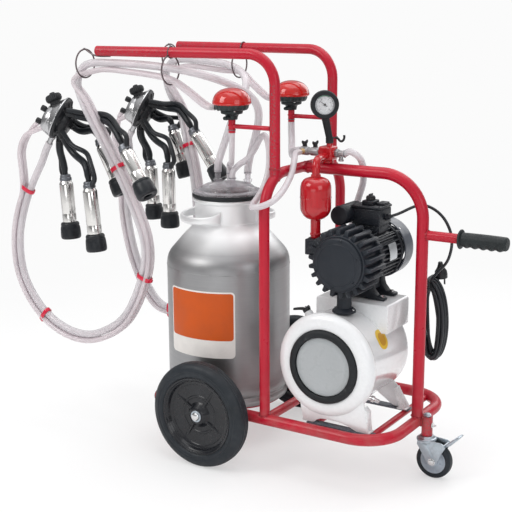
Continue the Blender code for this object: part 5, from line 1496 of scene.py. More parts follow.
# one cooling fin: (fraction of the pitch, radius)
PUMP_FIN = [(0.02, 0.0775), (0.1, 0.0768), (0.26, 0.0768), (0.34, 0.0778), (0.42, 0.086),
            (0.455, 0.0915), (0.51, 0.0935), (0.6, 0.0938), (0.72, 0.0938), (0.8, 0.0935),
            (0.86, 0.0915), (0.9, 0.086)]
MOTOR_RIB = [(0.0, 0.069), (0.44, 0.069), (0.56, 0.0742), (0.62, 0.0756), (0.78, 0.0756),
             (0.86, 0.0742)]


def toothed(count, tooth, scale=1.0):
    """(x, z) outline of so many equal teeth round the pump axis."""
    out = []
    for k in range(count):
        for fraction, radius in tooth:
            angle = 2 * pi * (k + fraction) / count
            out.append((X_PUMP + radius * scale * cos(angle),
                        Z_PUMP + radius * scale * sin(angle)))
    return out


def build_pump_casting():
    chamfer = [(0.984, Y_PUMP0), (0.996, Y_PUMP0 + 0.0012), (1.0, Y_PUMP0 + 0.003),
               (1.0, Y_PUMP1 - 0.003), (0.996, Y_PUMP1 - 0.0012), (0.984, Y_PUMP1)]
    front = [(0, -0.006), (0.0745, -0.006), (0.0765, -0.0045), (0.077, 0.002), (0, 0.002)]
    # column under the pump and its foot flange, (radius, z)
    column = [(0, 0.4665), (0.0215, 0.4665), (0.02, 0.474), (0.0195, 0.485), (0.0195, 0.506),
              (0.0215, 0.516), (0.026, 0.53), (0, 0.53)]
    flange = [(0, 0.4562), (0.0305, 0.4562), (0.0318, 0.458), (0.0318, 0.4622), (0.03, 0.464),
              (0.023, 0.47), (0, 0.4704)]
    rear = [(0, -0.008), (0.085, -0.008), (0.0865, -0.006), (0.0865, -0.002),
            (0.0845, 0.0001), (0, 0.0001)]
    body = [loft([[vec(x, y, z) for x, z in toothed(22, PUMP_FIN, scale)]
                  for scale, y in chamfer]),
            turned(raised(Y_PUMP0, front), 96, *PUMP_AXIS),
            soft_box(0.3305, 0.3695, -0.126, -0.07, 0.606, 0.6488, 0.003, 3),
            soft_box(0.352, 0.4, -0.116, -0.08, 0.612, 0.643, 0.0025, 2),
            puck(0.019, 0.647, 0.6486, 48, (X_TRAP, Y_TRAP, 0), rad=0.0005),
            turned(column, 56, (X_PUMP, -0.1, 0), rad=0.001),
            turned(flange, 56, (X_PUMP, -0.1, 0), rad=0.001),
            turned(raised(Y_PUMP1, rear), 96, *PUMP_AXIS, 0.0008)]
    piece('pump_casting', body, SLATE, rep='pump_body', sharp=32)


def build_pump_cover():
    seat = Y_PUMP0 - 0.006 - GAP
    cover = raised(seat, [
        (0, 0), (0.07, 0), (0.0712, -0.001), (0.0714, -0.005), (0.07, -0.0072),
        (0.066, -0.009), (0.06, -0.0094), (0.058, -0.0086), (0.056, -0.0086),
        (0.0545, -0.0098), (0.03, -0.011), (0, -0.0114)])
    piece('pump_cover_plate', turned(cover, 96, *PUMP_AXIS, 0.001), SLATE,
          rep='pump_cover', sharp=40)
    angles = [radians(20 + 60 * k) for k in range(6)]
    piece('pump_cover_screws',
          [socket_head((X_PUMP + 0.0648 * cos(a), seat - 0.008, Z_PUMP + 0.0648 * sin(a)),
                       (0, -1, 0), 0.0034, 0.003) for a in angles], SLATE)
    bolts = []
    for s in (-1, 1):
        bolts += hex_head((X_PUMP + s * 0.0262, -0.1, 0.4636), Z_AXIS, 0.0072, 0.0038, False)
    piece('pump_flange_bolts', bolts, BRIGHT)


def build_rotor():
    """Shaft with the pump and motor drums, the fan hub and its blades."""
    shaft = [(0, Y_PUMP0 - 0.003), (0.047, Y_PUMP0 - 0.003), (0.047, Y_PUMP1 - 0.0125),
             (0.009, Y_PUMP1 - 0.0125), (0.009, -0.028), (0.044, -0.028), (0.044, 0.07),
             (0.009, 0.07), (0.009, 0.112), (0.02, 0.112), (0.02, 0.126), (0.009, 0.126),
             (0.009, 0.148), (0, 0.148)]
    blade = soft(box(0.018, 0.0655, -0.0011, 0.0011, 0.1125, 0.1255), 0.0005, 1)
    disc = [(0.018, 0.1245), (0.0655, 0.1245), (0.0655, 0.1262), (0.018, 0.1262)]
    piece('rotor_with_fan',
          [turned(shaft, 56, *PUMP_AXIS, 0.001)] + around(blade, 7, PUMP_FRAME)
          + [turned_ring(disc, 72, *PUMP_AXIS, 0.0004, 3)],
          BRIGHT, 'rotor', rep='rotor_shaft', sharp=35)


def build_motor_frame():
    y0, y1 = Y_PUMP1 + GAP, Y_MOTOR1
    front = [(0, 0), (0.052, 0), (0.06, 0.002), (0.074, 0.0085), (0.0772, 0.0125),
             (0.0776, 0.022), (0, 0.022)]
    rear = [(0, -0.014), (0.0765, -0.014), (0.0778, -0.0125), (0.0778, -0.002), (0.0768, 0),
            (0, 0)]
    web = soft(box(0.05, 0.0768, -0.0016, 0.0016, y0 + 0.0015, y0 + 0.012), 0.0008, 1)
    body = [prism_y(toothed(36, MOTOR_RIB), y0 + 0.02, y1 - 0.012),
            turned(raised(y0, front), 96, *PUMP_AXIS, 0.001),
            turned(raised(y1, rear), 96, *PUMP_AXIS, 0.0006)]
    body += around(web, 8, PUMP_FRAME, pi / 8)
    # feet: (x from the axis, z)
    foot = [(X_PUMP + dx, z) for dx, z in (
        (-0.074, 0.4773), (-0.03, 0.4773), (-0.024, 0.481), (0.024, 0.481), (0.03, 0.4773),
        (0.078, 0.4773), (0.079, 0.48), (0.078, 0.4855), (0.056, 0.49), (0.044, 0.504),
        (0.04, 0.516), (0.038, 0.56), (-0.038, 0.56), (-0.04, 0.516), (-0.044, 0.504),
        (-0.056, 0.49), (-0.074, 0.4855))]
    body += [soft(prism_y(foot, y0 + 0.024, 0.0), 0.0014, 2),
             soft(prism_y(foot, 0.04, 0.066), 0.0014, 2),
             soft_box(X_PUMP - 0.036, X_PUMP + 0.036, y0 + 0.024, 0.064, 0.5, 0.556, 0.002, 2),
             soft_box(X_PUMP - 0.03, X_PUMP + 0.046, 0.006, 0.066, Z_PUMP + 0.06,
                      Z_PUMP + 0.0815, 0.0015, 2)]
    lug = raised(y1, [(0, -0.018), (0.0055, -0.018), (0.006, -0.0165), (0.006, -0.001),
                      (0, -0.001)])
    for angle in [radians(q) * s for s in (-1, 1) for q in (42, 138)]:   # tie rods
        ca, sa = cos(angle), sin(angle)
        body.append(turned(lug, 20, (X_PUMP + 0.0765 * ca, 0, Z_PUMP + 0.0765 * sa), Y_AXIS,
                           0.0006))
        x, z = X_PUMP + 0.0775 * ca, Z_PUMP + 0.0775 * sa
        body.append(cyl((x, y0 + 0.01, z), (x, y1 - 0.01, z), 0.0022, 12))
    piece('motor_frame', body, MOTOR, rep='motor_body', sharp=34)
    bolts = []
    for x in (X_PUMP - 0.064, X_PUMP + 0.066):
        for y in (-0.01, 0.053):
            bolts += hex_head((x, y, 0.4858), Z_AXIS, 0.01, 0.0052)
    bolts += hex_head((X_PUMP - 0.026, y0 + 0.024, 0.503), (0, -1, 0), 0.0085, 0.0045)
    piece('motor_bolts', bolts, BRIGHT)


def build_nameplate():
    """Blank nameplate bent over the motor's ribs, with four rivets."""
    matrix = frame_at(*PUMP_AXIS, X_AXIS)
    middle = -radians(8)
    piece('motor_nameplate',
          arc_strip(0.0762, middle - 0.3, middle + 0.3, 0.014, 0.058, 0.002, 0.0002, 0.001,
                    matrix, 20, 12), NAMEPLATE, sharp=50)
    rivets = []
    for angle in (middle - 0.26, middle + 0.26):
        for y in (0.0175, 0.0545):
            base = matrix @ Vector((0.0773 * cos(angle), 0.0773 * sin(angle), y))
            rivets.append(turned([(0, 0), (0.0016, 0), (0.0012, 0.0008), (0, 0.001)], 14, base,
                                 base - vec(X_PUMP, y, Z_PUMP), 0.0002))
    piece('nameplate_rivets', rivets, BRIGHT)


def build_fan_cover():
    """Drawn cap with rings of slots in its end face."""
    y0 = Y_MOTOR1 + GAP
    profile = (
        raised(y0, [(0.08, 0), (0.0826, 0), (0.0836, 0.0014), (0.0828, 0.003)])
        + raised(Y_FAN1, [(0.083, -0.015), (0.082, -0.008), (0.079, -0.003), (0.074, -0.0004),
                          (0.07, 0), (0, 0), (0, -0.002), (0.0735, -0.0022),
                          (0.078, -0.0048), (0.0803, -0.01)]))
    slots = []
    for radius in (0.022, 0.034, 0.046, 0.058):
        for k in range(4):
            outline = sector(radius - 0.003, radius + 0.003, pi / 2 * k + 0.16,
                             pi / 2 * (k + 1) - 0.16, 12)
            slots.append(plate(outline, PUMP_FRAME, Y_FAN1 - 0.006, Y_FAN1 + 0.004))
    piece('fan_cover_cap', turned_ring(profile, 96, *PUMP_AXIS), FAN_GREY,
          rep='fan_cover', cuts=slots, sharp=34)
    screws = []
    for k in range(4):
        angle = radians(45 + 90 * k)
        out = vec(cos(angle), 0, sin(angle))
        screws.append(socket_head(vec(X_PUMP, y0 + 0.0085, Z_PUMP) + out * 0.0828, out,
                                  0.003, 0.0018))
    piece('fan_cover_screws', screws, BRIGHT)


def build_terminal_box():
    x, z = X_PUMP, Z_TBOX
    parts = [
        soft_box(x - 0.034, x + 0.05, 0.0, 0.072, z, z + 0.044, 0.003, 3),
        soft_box(x - 0.0355, x + 0.0515, -0.0015, 0.0735, z + 0.0446, z + 0.052, 0.0026, 3),
        soft_box(x - 0.012, x + 0.022, 0.016, 0.056, z + 0.0515, z + 0.064, 0.0026, 3),
        soft_box(x + 0.024, x + 0.048, 0.03, 0.066, z + 0.0515, z + 0.059, 0.0022, 2)]
    screw = [(0, 0), (0.0032, 0), (0.0032, 0.0012), (0.002, 0.0018), (0, 0.0018)]
    for screw_x in (x - 0.03, x + 0.046):
        for y in (0.0045, 0.0675):
            parts.append(turned(screw, 20, (screw_x, y, z + 0.0519), rad=0.0004))
    # round drum along the box's -X side
    drum = [(0, -0.04), (0.0235, -0.04), (0.0258, -0.0385), (0.0265, -0.036), (0.0265, 0.06),
            (0.025, 0.064), (0, 0.064)]
    gland = [(0, 0), (0.0095, 0), (0.0095, 0.005), (0.0082, 0.006), (0.0082, 0.013),
             (0.0062, 0.0165), (0, 0.017)]
    parts += [turned(drum, 64, (x - 0.052, 0, z + 0.026), Y_AXIS, 0.001),
              torus((x - 0.052, -0.03, z + 0.026), Y_AXIS, 0.0265, 0.0008, 64, 8),
              turned(gland, 32, (x + 0.0495, 0.036, z + 0.02), (0.95, 0.1, 0.3), 0.0008)]
    piece('terminal_box_case', parts, MOTOR, rep='terminal_box', sharp=34)
    knob = (x + 0.005, 0.036, z + 0.064 + GAP)
    cap = [(0, 0), (0.0125, 0), (0.0127, 0.001), (0.0122, 0.008), (0.0108, 0.0108), (0, 0.0114)]
    ridge = soft(box(0.0118, 0.013, -0.0007, 0.0007, 0.0012, 0.0078), 0.0003, 1)
    piece('switch_knob_cap',
          [turned(cap, 48, knob, rad=0.0008),
           soft_box(x + 0.0028, x + 0.0072, 0.0255, 0.0465, z + 0.07, z + 0.0812, 0.0012, 2)]
          + around(ridge, 16, Matrix.Translation(knob)),
          BLACK, 'switch_knob', rep='switch_knob', sharp=36)
    piece('switch_pointer',
          soft_box(x + 0.0042, x + 0.0058, 0.0395, 0.045, z + 0.0808, z + 0.0818, 0.0003, 1),
          VINYL, 'switch_knob')


build_pump_casting()
build_pump_cover()
build_rotor()
build_motor_frame()
build_nameplate()
build_fan_cover()
build_terminal_box()


# ============================================================= mains cable
R_CABLE = 0.004


def build_mains_cable():
    """Cable from the terminal box into three wide turns of the hank."""
    lead = [(X_PUMP + 0.0545, 0.036, Z_TBOX + 0.02), (X_PUMP + 0.085, 0.045, Z_TBOX + 0.032),
            (0.585, 0.055, 0.736), (0.64, 0.06, 0.712), (0.668, 0.066, 0.655),
            (0.655, 0.078, 0.59), (0.618, 0.088, 0.545)]
    turns, steps = 3, 28
    coil = []
    for k in range(turns * steps + 1):
        t = k / steps
        angle = 2 * pi * t + pi / 2
        growth = 0.004 * t / turns
        coil.append(vec(0.601 - (0.036 + growth) * cos(angle) - 0.004 * sin(angle),
                        0.096 + 0.0125 * t, 0.408 + (0.112 + growth) * sin(angle)))
    path = spline(lead, 9)[:-1] + coil + [vec(0.606, 0.14, 0.56)]
    piece('mains_cable', tube(relaxed(dense(path, 0.006), 3), R_CABLE, 14), CABLE,
          rep='power_cable', sharp=60)


def build_cable_hank():
    """The rest of the hank, laid between the main turns."""
    rng = random.Random(7)
    # width and height of each turn against the full size
    sizes = [(1, 1)] * 4 + [(0.62, 0.94), (0.45, 0.97), (0.7, 0.92)]
    for i, (wide, tall) in enumerate(sizes):
        phase = rng.uniform(-0.15, 0.15)
        grow = rng.uniform(-0.004, 0.005)
        lift = rng.uniform(-0.008, 0.004)
        y = 0.0985 + 0.0098 * i if i < 4 else 0.103 + 0.01 * (i - 4)
        loop = []
        for k in range(72):
            angle = 2 * pi * k / 72 + phase
            wobble = 0.0022 * sin(3 * angle + i)
            loop.append(vec(
                0.6 - (0.03 + grow + wobble) * wide * cos(angle) - 0.005 * sin(angle),
                y + 0.0016 * sin(angle * 2 + i * 1.7),
                0.404 + lift + (0.104 + grow) * tall * sin(angle)))
        rings = []
        for k in range(72):
            tangent = (loop[(k + 1) % 72] - loop[k - 1]).normalized()
            across = (vec(0, 1, 0) - tangent * tangent.y).normalized()
            rings.append(circle(loop[k], tangent.cross(across), across, R_CABLE, 12))
        piece('cable_hank_turn_%d' % (i + 1), loft(rings, closed=True), CABLE, sharp=60)


def build_cable_strap_and_plug():
    middle = vec(0.5965, 0.1165, 0.515)
    half = vec(0.0055, 0, 0)
    rings = []
    for q in [2 * pi * k / 32 for k in range(32)]:
        point = vec(middle.x, 0.1165 + 0.031 * flattened(cos(q), 0.55),
                    0.515 + 0.015 * flattened(sin(q), 0.7))
        out = (point - middle).normalized() * 0.0014
        rings.append([point + half, point + half + out, point - half + out, point - half])
    piece('cable_tie_strap', soft(loft(rings, closed=True), 0.0003, 1, 60), BLACK,
          sharp=40)
    body = [(0, 0), (0.006, 0.0006), (0.0072, 0.008), (0.011, 0.018), (0.0165, 0.026),
            (0.018, 0.036), (0.0175, 0.046), (0, 0.0465)]
    parts = [turned(body, 40, (0.6065, 0.1405, 0.566), (0.05, 0.1, -1.0), 0.001)]
    for s in (-1, 1):
        parts.append(cyl((0.609 + s * 0.0095, 0.145, 0.521), (0.6095 + s * 0.0095, 0.1465, 0.503),
                         0.0024, 14))
    piece('mains_plug', parts, BLACK, sharp=36)


build_mains_cable()
build_cable_hank()
build_cable_strap_and_plug()


# ========================================================= vacuum fittings
MANIFOLD = (X_MAN, 0, Z_MAN)


def build_vacuum_trap():
    axis = vec(X_TRAP, Y_TRAP, 0)
    pot = [(0, 0.699), (0.015, 0.6992), (0.0185, 0.7), (0.026, 0.7035), (0.034, 0.711),
           (0.0395, 0.7205), (0.0412, 0.728), (0.0416, 0.74), (0.0416, 0.78), (0.041, 0.788),
           (0.039, 0.7965), (0.034, 0.804), (0.028, 0.8085), (0.018, 0.812), (0, 0.8125)]
    stem = [(0, 0.6493), (0.0135, 0.6493), (0.0135, 0.656), (0.015, 0.6575), (0.015, 0.661),
            (0.0135, 0.6625), (0.0135, 0.696), (0.0165, 0.701), (0, 0.7015)]
    riser = fillet([(X_TRAP, Y_TRAP, 0.806), (X_TRAP, Y_TRAP, 0.858), (X_MAN, -0.02, 0.858)],
                   0.022, 12)
    facing = math.atan2(-0.84, 0.54)         # raised blank pad, towards the near side
    parts = [turned(pot, 72, axis, rad=0.0015), turned(stem, 44, axis, rad=0.0008),
             torus(axis + vec(0, 0, 0.759), Z_AXIS, 0.0416, 0.0009, 72, 8),
             tube(dense(riser, 0.004), 0.0105, 26),
             arc_strip(0.0414, facing - 0.34, facing + 0.34, 0.736, 0.78, 0.004, 0.0, 0.0011,
                       Matrix.Translation(axis), 22, 22),
             hexagon(0.015, 0.8105, 0.819, axis, bevel=0.001)]
    piece('vacuum_trap_pot', parts, ENAMEL, rep='vacuum_trap', sharp=36)


def build_manifold():
    down = (raised(Z_CROSS + R_MAIN, [(0, 0.0002), (0.0145, 0.0002), (0.0145, 0.005),
                                      (0.013, 0.006)])
            + raised(Z_MAN, [(0.013, -0.01), (0, -0.01)]))
    piece('manifold_block',
          [soft_box(X_MAN - 0.02, X_MAN + 0.02, -0.02, 0.02, Z_MAN - 0.02, Z_MAN + 0.018,
                    0.005, 4),
           turned(down, 40, (X_MAN, 0, 0), rad=0.0006),
           puck(0.015, 0, 0.004, 40, (X_MAN - 0.0235, 0, Z_MAN), X_AXIS, 0.0006),
           puck(0.014, 0, 0.004, 40, (X_MAN + 0.0195, 0, Z_MAN), X_AXIS, 0.0006)],
          ENAMEL, rep='manifold', sharp=36)
    run = [(0, 0), (0.0062, 0), (0.0085, 0.0016), (0.0092, 0.004), (0.0086, 0.007),
           (0.0095, 0.01), (0.0095, 0.072), (0, 0.072)]
    neck = raised(Z_MAN, [(0, -0.002), (0.009, -0.002), (0.009, 0.0075), (0.0076, 0.009),
                          (0.0076, 0.0122), (0, 0.0122)])
    tee = [(0, -0.0125), (0.0112, -0.0125), (0.0118, -0.0105), (0.0118, 0.0105),
           (0.0112, 0.0125), (0, 0.0125)]
    parts = [turned(run, 40, (0.24, 0, Z_MAN), X_AXIS, 0.0006),
             hexagon(0.0122, 0, 0.0085, (0.301, 0, Z_MAN), X_AXIS)]
    for x in X_TAPS:
        parts += [turned(neck, 32, (x, 0, 0), rad=0.0006),
                  turned(tee, 32, (x, 0, Z_MAN), X_AXIS, 0.0006)]
    piece('manifold_pipe', parts, FITTING, sharp=36)
    spout = [(0, 0), (0.0078, 0), (0.0078, 0.01), (0.006, 0.0115), (0.006, 0.018),
             (0.0068, 0.0192), (0.006, 0.022), (0, 0.022)]
    piece('manifold_brass_fittings',
          [turned(spout, 28, (x, s * 0.006, Z_MAN), (0, s, 0), 0.0005)
           for x, s in zip(X_TAPS, (-1, 1))]
          + [hexagon(0.0118, 0, 0.012, (0.303, 0, Z_MAN), X_AXIS, 0.001)],
          BRASS, sharp=36)
    nozzle = [(0, 0.016), (0.009, 0.016), (0.009, 0.027), (0.008, 0.0285), (0.008, 0.044),
              (0.009, 0.0455), (0.0076, 0.049), (0.009, 0.05), (0.0072, 0.056),
              (0.0062, 0.058), (0, 0.058)]
    stub = [(0, 0), (0.0055, 0), (0.0055, 0.009), (0.0072, 0.01), (0.0072, 0.015), (0, 0.0155)]
    piece('manifold_right_nozzle',
          [turned(nozzle, 32, MANIFOLD, X_AXIS, 0.0005),
           hexagon(0.0118, 0.023, 0.033, MANIFOLD, X_AXIS),
           turned(stub, 28, (X_MAN + 0.04, 0, Z_MAN - 0.006), (0, 0, -1), 0.0006)],
          FITTING, sharp=36)
    socket = raised(Z_MAN, [(0, 0.012), (0.0105, 0.012), (0.0105, 0.0185), (0.0085, 0.0195),
                            (0.0085, 0.0258), (0, 0.0258)])
    piece('gauge_socket', turned(socket, 32, (X_MAN + 0.004, 0, 0), rad=0.0006), ENAMEL,
          sharp=36)


def build_taps():
    """Butterfly taps on the manifold pipe, their wings rising outwards."""
    z = Z_MAN + 0.0125 + GAP
    hub = [(0, 0), (0.0064, 0), (0.0064, 0.004), (0.005, 0.0062), (0.0046, 0.013), (0, 0.0138)]
    for tag, x in zip(('left', 'right'), X_TAPS):
        parts = [turned(hub, 32, (x, 0, z), rad=0.0006)]
        for s in (-1, 1):
            rings = []
            for k in range(13):
                u = k / 12
                centre = vec(x, s * (0.002 + 0.0125 * u), z + 0.0075 + 0.0058 * u ** 1.4)
                high = 0.0036 + 0.0026 * sin(pi * u ** 0.8)
                wide = 0.0025 + 0.0006 * sin(pi * u)
                if k == 12:
                    high, wide = high * 0.55, wide * 0.6
                rings.append([centre + vec(wide * cos(q), 0, high * sin(q))
                              for q in [2 * pi * j / 16 for j in range(16)]])
            parts.append(loft(rings))
        piece('tap_wing_' + tag, parts, BLACK, 'tap_' + tag,
              rep='tap_lever_' + tag, sharp=40)


build_vacuum_trap()
build_manifold()
build_taps()


# =================================================================== gauge
GAUGE_CENTRE = vec(0.33, -0.022, 0.996)
GAUGE_AXIS = vec(0.5422, -0.8402, 0.0).normalized()
GAUGE_BACK = GAUGE_CENTRE - GAUGE_AXIS * 0.02
R_GAUGE = 0.0375
Z_DIAL = 0.027         # dial face, from the back of the case
DIAL_SCALE = Matrix.Diagonal((0.87, 0.87, 1, 1))
SWEEP = radians(270)   # the scale, symmetric about straight up
# dial frame: local X is up and local Y runs to the left of someone facing the dial
DIAL_FRAME = frame_at(GAUGE_BACK, GAUGE_AXIS, Z_AXIS) @ DIAL_SCALE
# seven-bar digits: which bars each one lights
DIGIT_BARS = ['abcdef', 'bc', 'abged', 'abgcd', 'fgbc', 'afgcd', 'afgedc', 'abc', 'abcdefg']


def printed_on_dial(outline, thick=0.0001):
    return plate(outline, DIAL_FRAME, Z_DIAL - 0.0001, Z_DIAL + thick)


def rotated(outline, angle):
    return [(x * cos(angle) - y * sin(angle), x * sin(angle) + y * cos(angle))
            for x, y in outline]


def build_gauge_boot():
    profile = [(0, 0), (0.024, 0), (0.03, 0.0016), (0.034, 0.0045), (0.0366, 0.009),
               (R_GAUGE, 0.013), (R_GAUGE, 0.029), (0.037, 0.032), (0.0352, 0.0336),
               (0.032, 0.0338), (0.0285, 0.0333), (0.0266, 0.0324), (0.0257, 0.0312),
               (0.0257, 0.0266), (0, 0.0266)]
    foot = vec(X_MAN + 0.004, 0, Z_MAN + 0.026 + GAP)
    head = GAUGE_CENTRE - vec(0, 0, 0.024) - GAUGE_AXIS * 0.004
    path = [foot, foot + vec(0, 0, 0.004)]
    path += [(foot + vec(0, 0, 0.01)).lerp(head, k / 24) for k in range(25)]
    radii = []
    for i in range(len(path)):
        u = i / (len(path) - 1)
        flare = 0.0034 * max(0, (u - 0.82) / 0.18) ** 2
        radii.append(0.009 + 0.0018 * u + flare + (0.0014 if u < 0.12 else 0))
    ribs = [torus(GAUGE_BACK + GAUGE_AXIS * t, GAUGE_AXIS, R_GAUGE - 0.0002, 0.0009, 96, 8)
            for t in (0.0155, 0.0205, 0.0255)]
    piece('gauge_boot',
          [turned(profile, 96, GAUGE_BACK, GAUGE_AXIS, 0.0008, 2), tube(path, radii, 28)] + ribs,
          RUBBER, rep='gauge_case', sharp=40)


def digit(value, centre_x, centre_y):
    high, wide, stroke = 0.0017, 0.001, 0.00024
    # each bar: x and y of its middle, whether it stands upright
    bars = {'a': (high, 0, False), 'd': (-high, 0, False), 'g': (0, 0, False),
            'b': (high / 2, -wide, True), 'c': (-high / 2, -wide, True),
            'f': (high / 2, wide, True), 'e': (-high / 2, wide, True)}
    out = []
    for name in DIGIT_BARS[value]:
        bar_x, bar_y, upright = bars[name]
        half_x, half_y = (high / 2 + stroke, stroke) if upright else (stroke, wide + stroke)
        x, y = centre_x + bar_x, centre_y + bar_y
        out.append(printed_on_dial([(x - half_x, y - half_y), (x + half_x, y - half_y),
                                    (x + half_x, y + half_y), (x - half_x, y + half_y)],
                                   0.00008))
    return out


def build_dial():
    place = (GAUGE_BACK, GAUGE_AXIS)
    piece('gauge_dial', puck(0.0256, Z_DIAL - 0.0006, Z_DIAL - 0.0001, 96, *place, 0.0001),
          DIAL_WHITE, sharp=60)
    marks = []
    for k in range(41):                      # from lower left over the top to lower right
        major = k % 5 == 0
        inner, half = (0.0222, 0.0004) if major else (0.024, 0.00022)
        tick = [(inner, half), (0.0262, half), (0.0262, -half), (inner, -half)]
        marks.append(printed_on_dial(rotated(tick, SWEEP / 2 - SWEEP * k / 40)))
    marks.append(printed_on_dial(sector(0.0268, 0.0264, -SWEEP / 2, SWEEP / 2, 64)))
    piece('gauge_scale_marks', marks, INK, sharp=60)
    numbers = []
    for value in range(9):
        angle = SWEEP / 2 - SWEEP * value / 8
        numbers += digit(value, 0.0188 * cos(angle), 0.0188 * sin(angle))
    piece('gauge_numbers', numbers, INK, sharp=60)
    piece('gauge_green_band',
          printed_on_dial(sector(0.029, 0.0268, radians(-30), radians(46), 40)),
          GREEN, sharp=60)
    piece('gauge_bezel', torus(GAUGE_BACK + GAUGE_AXIS * 0.0314, GAUGE_AXIS, 0.0261, 0.0006,
                               96, 10), COLLAR, sharp=60)
    glass = [(0, 0.0306), (0.015, 0.0305), (0.0255, 0.03), (0.0255, 0.031), (0.015, 0.0316),
             (0, 0.0317)]
    piece('gauge_glass', turned(glass, 96, *place, 0.0002), GLASS, sharp=60)
    pivot = GAUGE_BACK + GAUGE_AXIS * (Z_DIAL + GAP)
    outline = [(-0.009, -0.0014), (-0.009, 0.0014), (-0.003, 0.001), (0.016, 0.0007),
               (0.0215, 0.0001), (0.0215, -0.0001), (0.016, -0.0007), (-0.003, -0.001)]
    hub = [(0, 0), (0.0034, 0), (0.0034, 0.0018), (0.0022, 0.0026), (0, 0.0027)]
    piece('gauge_pointer',
          [turned(hub, 32, pivot, GAUGE_AXIS, 0.0004),
           plate(rotated(outline, radians(52)),
                 frame_at(pivot, GAUGE_AXIS, Z_AXIS) @ DIAL_SCALE, 0.0009, 0.0016)],
          INK, 'gauge_needle', rep='gauge_needle', sharp=40)


build_gauge_boot()
build_dial()


# =============================================================== pulsators
PULSE_SPACING = 0.009  # half spacing of a pulsator's twin nozzles


def scalloped(profile, count, origin):
    """Turned solid with 18 shallow flutes where it is wide."""
    rings = []
    for radius, height in profile:
        ring = []
        for angle in [2 * pi * j / count for j in range(count)]:
            r = radius - (0.0016 * (0.5 - 0.5 * cos(18 * angle)) if radius > 0.035 else 0)
            ring.append(Vector(origin) + vec(r * cos(angle), r * sin(angle), height))
        rings.append(ring)
    return loft(rings)


def build_pulsators():
    z = Z_PULSATOR
    base = raised(z, [(0, 0), (0.015, 0), (0.0156, 0.004), (0.017, 0.011), (0.02, 0.014),
                      (0.0286, 0.016), (0.0298, 0.019), (0.03, 0.024), (0, 0.024)])
    skirt = raised(z, [(0.02, 0.0225), (0.04, 0.0255), (0.043, 0.0275), (0.0452, 0.031),
                       (0.0468, 0.036), (0.0475, 0.0398), (0.02, 0.04)])
    nozzle = [(0.003, 0), (0.0052, 0), (0.0052, 0.018), (0.006, 0.019), (0.005, 0.022),
              (0.003, 0.0225)]
    spout = [(0, 0), (0.006, 0), (0.006, 0.01), (0.0048, 0.011), (0.0048, 0.018), (0, 0.0182)]
    z_cap = z + 0.04 + GAP
    cap = raised(z_cap, [
        (0, 0), (0.0495, 0), (0.0512, 0.0008), (0.0525, 0.0035), (0.0526, 0.0065),
        (0.0515, 0.01), (0.0506, 0.013), (0.0496, 0.017), (0.047, 0.023), (0.043, 0.0285),
        (0.037, 0.034), (0.029, 0.0388), (0.019, 0.0422), (0.009, 0.044), (0, 0.0445)])
    for tag, s in SIDES:
        x, y = X_PULSATOR, s * Y_ARM
        parts = [turned(base, 64, (x, y, 0), rad=0.001), scalloped(skirt, 144, (x, y, 0))]
        for dy in (-PULSE_SPACING, PULSE_SPACING):
            parts.append(turned_ring(nozzle, 24, (0.079, y + dy, z + 0.03), (-1, 0, 0), 0.0004))
        parts += [turned(spout, 24, (x, y - 0.018, z + 0.006), (0, -1, 0), 0.0005),
                  hexagon(0.012, 0, 0.006, (x, y, z + 0.0005))]
        piece('pulsator_body_' + tag, parts, PULSATOR_DARK,
              rep='pulsator_base_' + tag, sharp=36)
        piece('pulsator_dome_' + tag,
              [turned(cap, 96, (x, y, 0), rad=0.0008),
               torus((x, y, z_cap + 0.0112), Z_AXIS, 0.0508, 0.0006, 96, 8)],
              PULSATOR_RED, rep='pulsator_cap_' + tag, sharp=50)
        angles = [radians(45 + 90 * k) for k in range(4)]
        piece('pulsator_screws_' + tag,
              [socket_head((x + 0.0375 * cos(a), y + 0.0375 * sin(a), z + 0.0256),
                           (0, 0, -1), 0.0026, 0.0022) for a in angles], BRIGHT)


build_pulsators()


# ================================================================ clusters
# claw centre, then for each cup the top and bottom of its shell
CLUSTERS = {
    'near': (vec(-0.459, -0.192, 0.935),
             [(vec(-0.48, -0.16, 0.763), vec(-0.466, -0.16, 0.568)),
              (vec(-0.3215, -0.236, 0.765), vec(-0.3005, -0.236, 0.562)),
              (vec(-0.346, -0.154, 0.878), vec(-0.262, -0.154, 0.722)),
              (vec(-0.196, -0.23, 0.877), vec(-0.094, -0.252, 0.743))]),
    'far': (vec(-0.456, 0.192, 0.932),
            [(vec(-0.458, 0.226, 0.761), vec(-0.445, 0.226, 0.566)),
             (vec(-0.331, 0.154, 0.771), vec(-0.328, 0.154, 0.562)),
             (vec(-0.368, 0.23, 0.88), vec(-0.311, 0.23, 0.716)),
             (vec(-0.236, 0.156, 0.883), vec(-0.126, 0.156, 0.732))]),
}
CLAW_N = vec(-0.8, -0.4, 0.447).normalized()               # dome side of the claw
CLAW_E = (vec(0, 0, 1) - CLAW_N * CLAW_N.z).normalized()   # up in the flange's plane
CLAW_F = CLAW_N.cross(CLAW_E)                              # across the flange
CLAW_AXIS = vec(-0.42, 0.0, 0.907).normalized()            # pull of the shut-off valve
OUTLET_AXIS = vec(-0.55, 0, -0.835).normalized()
MOUTH = 0.05           # mouthpiece length
R_SHELL = 0.021
R_MILK = 0.0082        # short milk tube
# claw nipples: base (n, e, f) in the claw's frame, then direction (n, e)
NIPPLES = [(-0.012, -0.042, 0.02, -0.35, -0.93), (-0.012, -0.026, 0.022, -0.8, -0.6),
           (-0.012, -0.004, 0.024, -0.97, -0.24), (-0.012, 0.026, 0.024, -0.98, 0.2)]
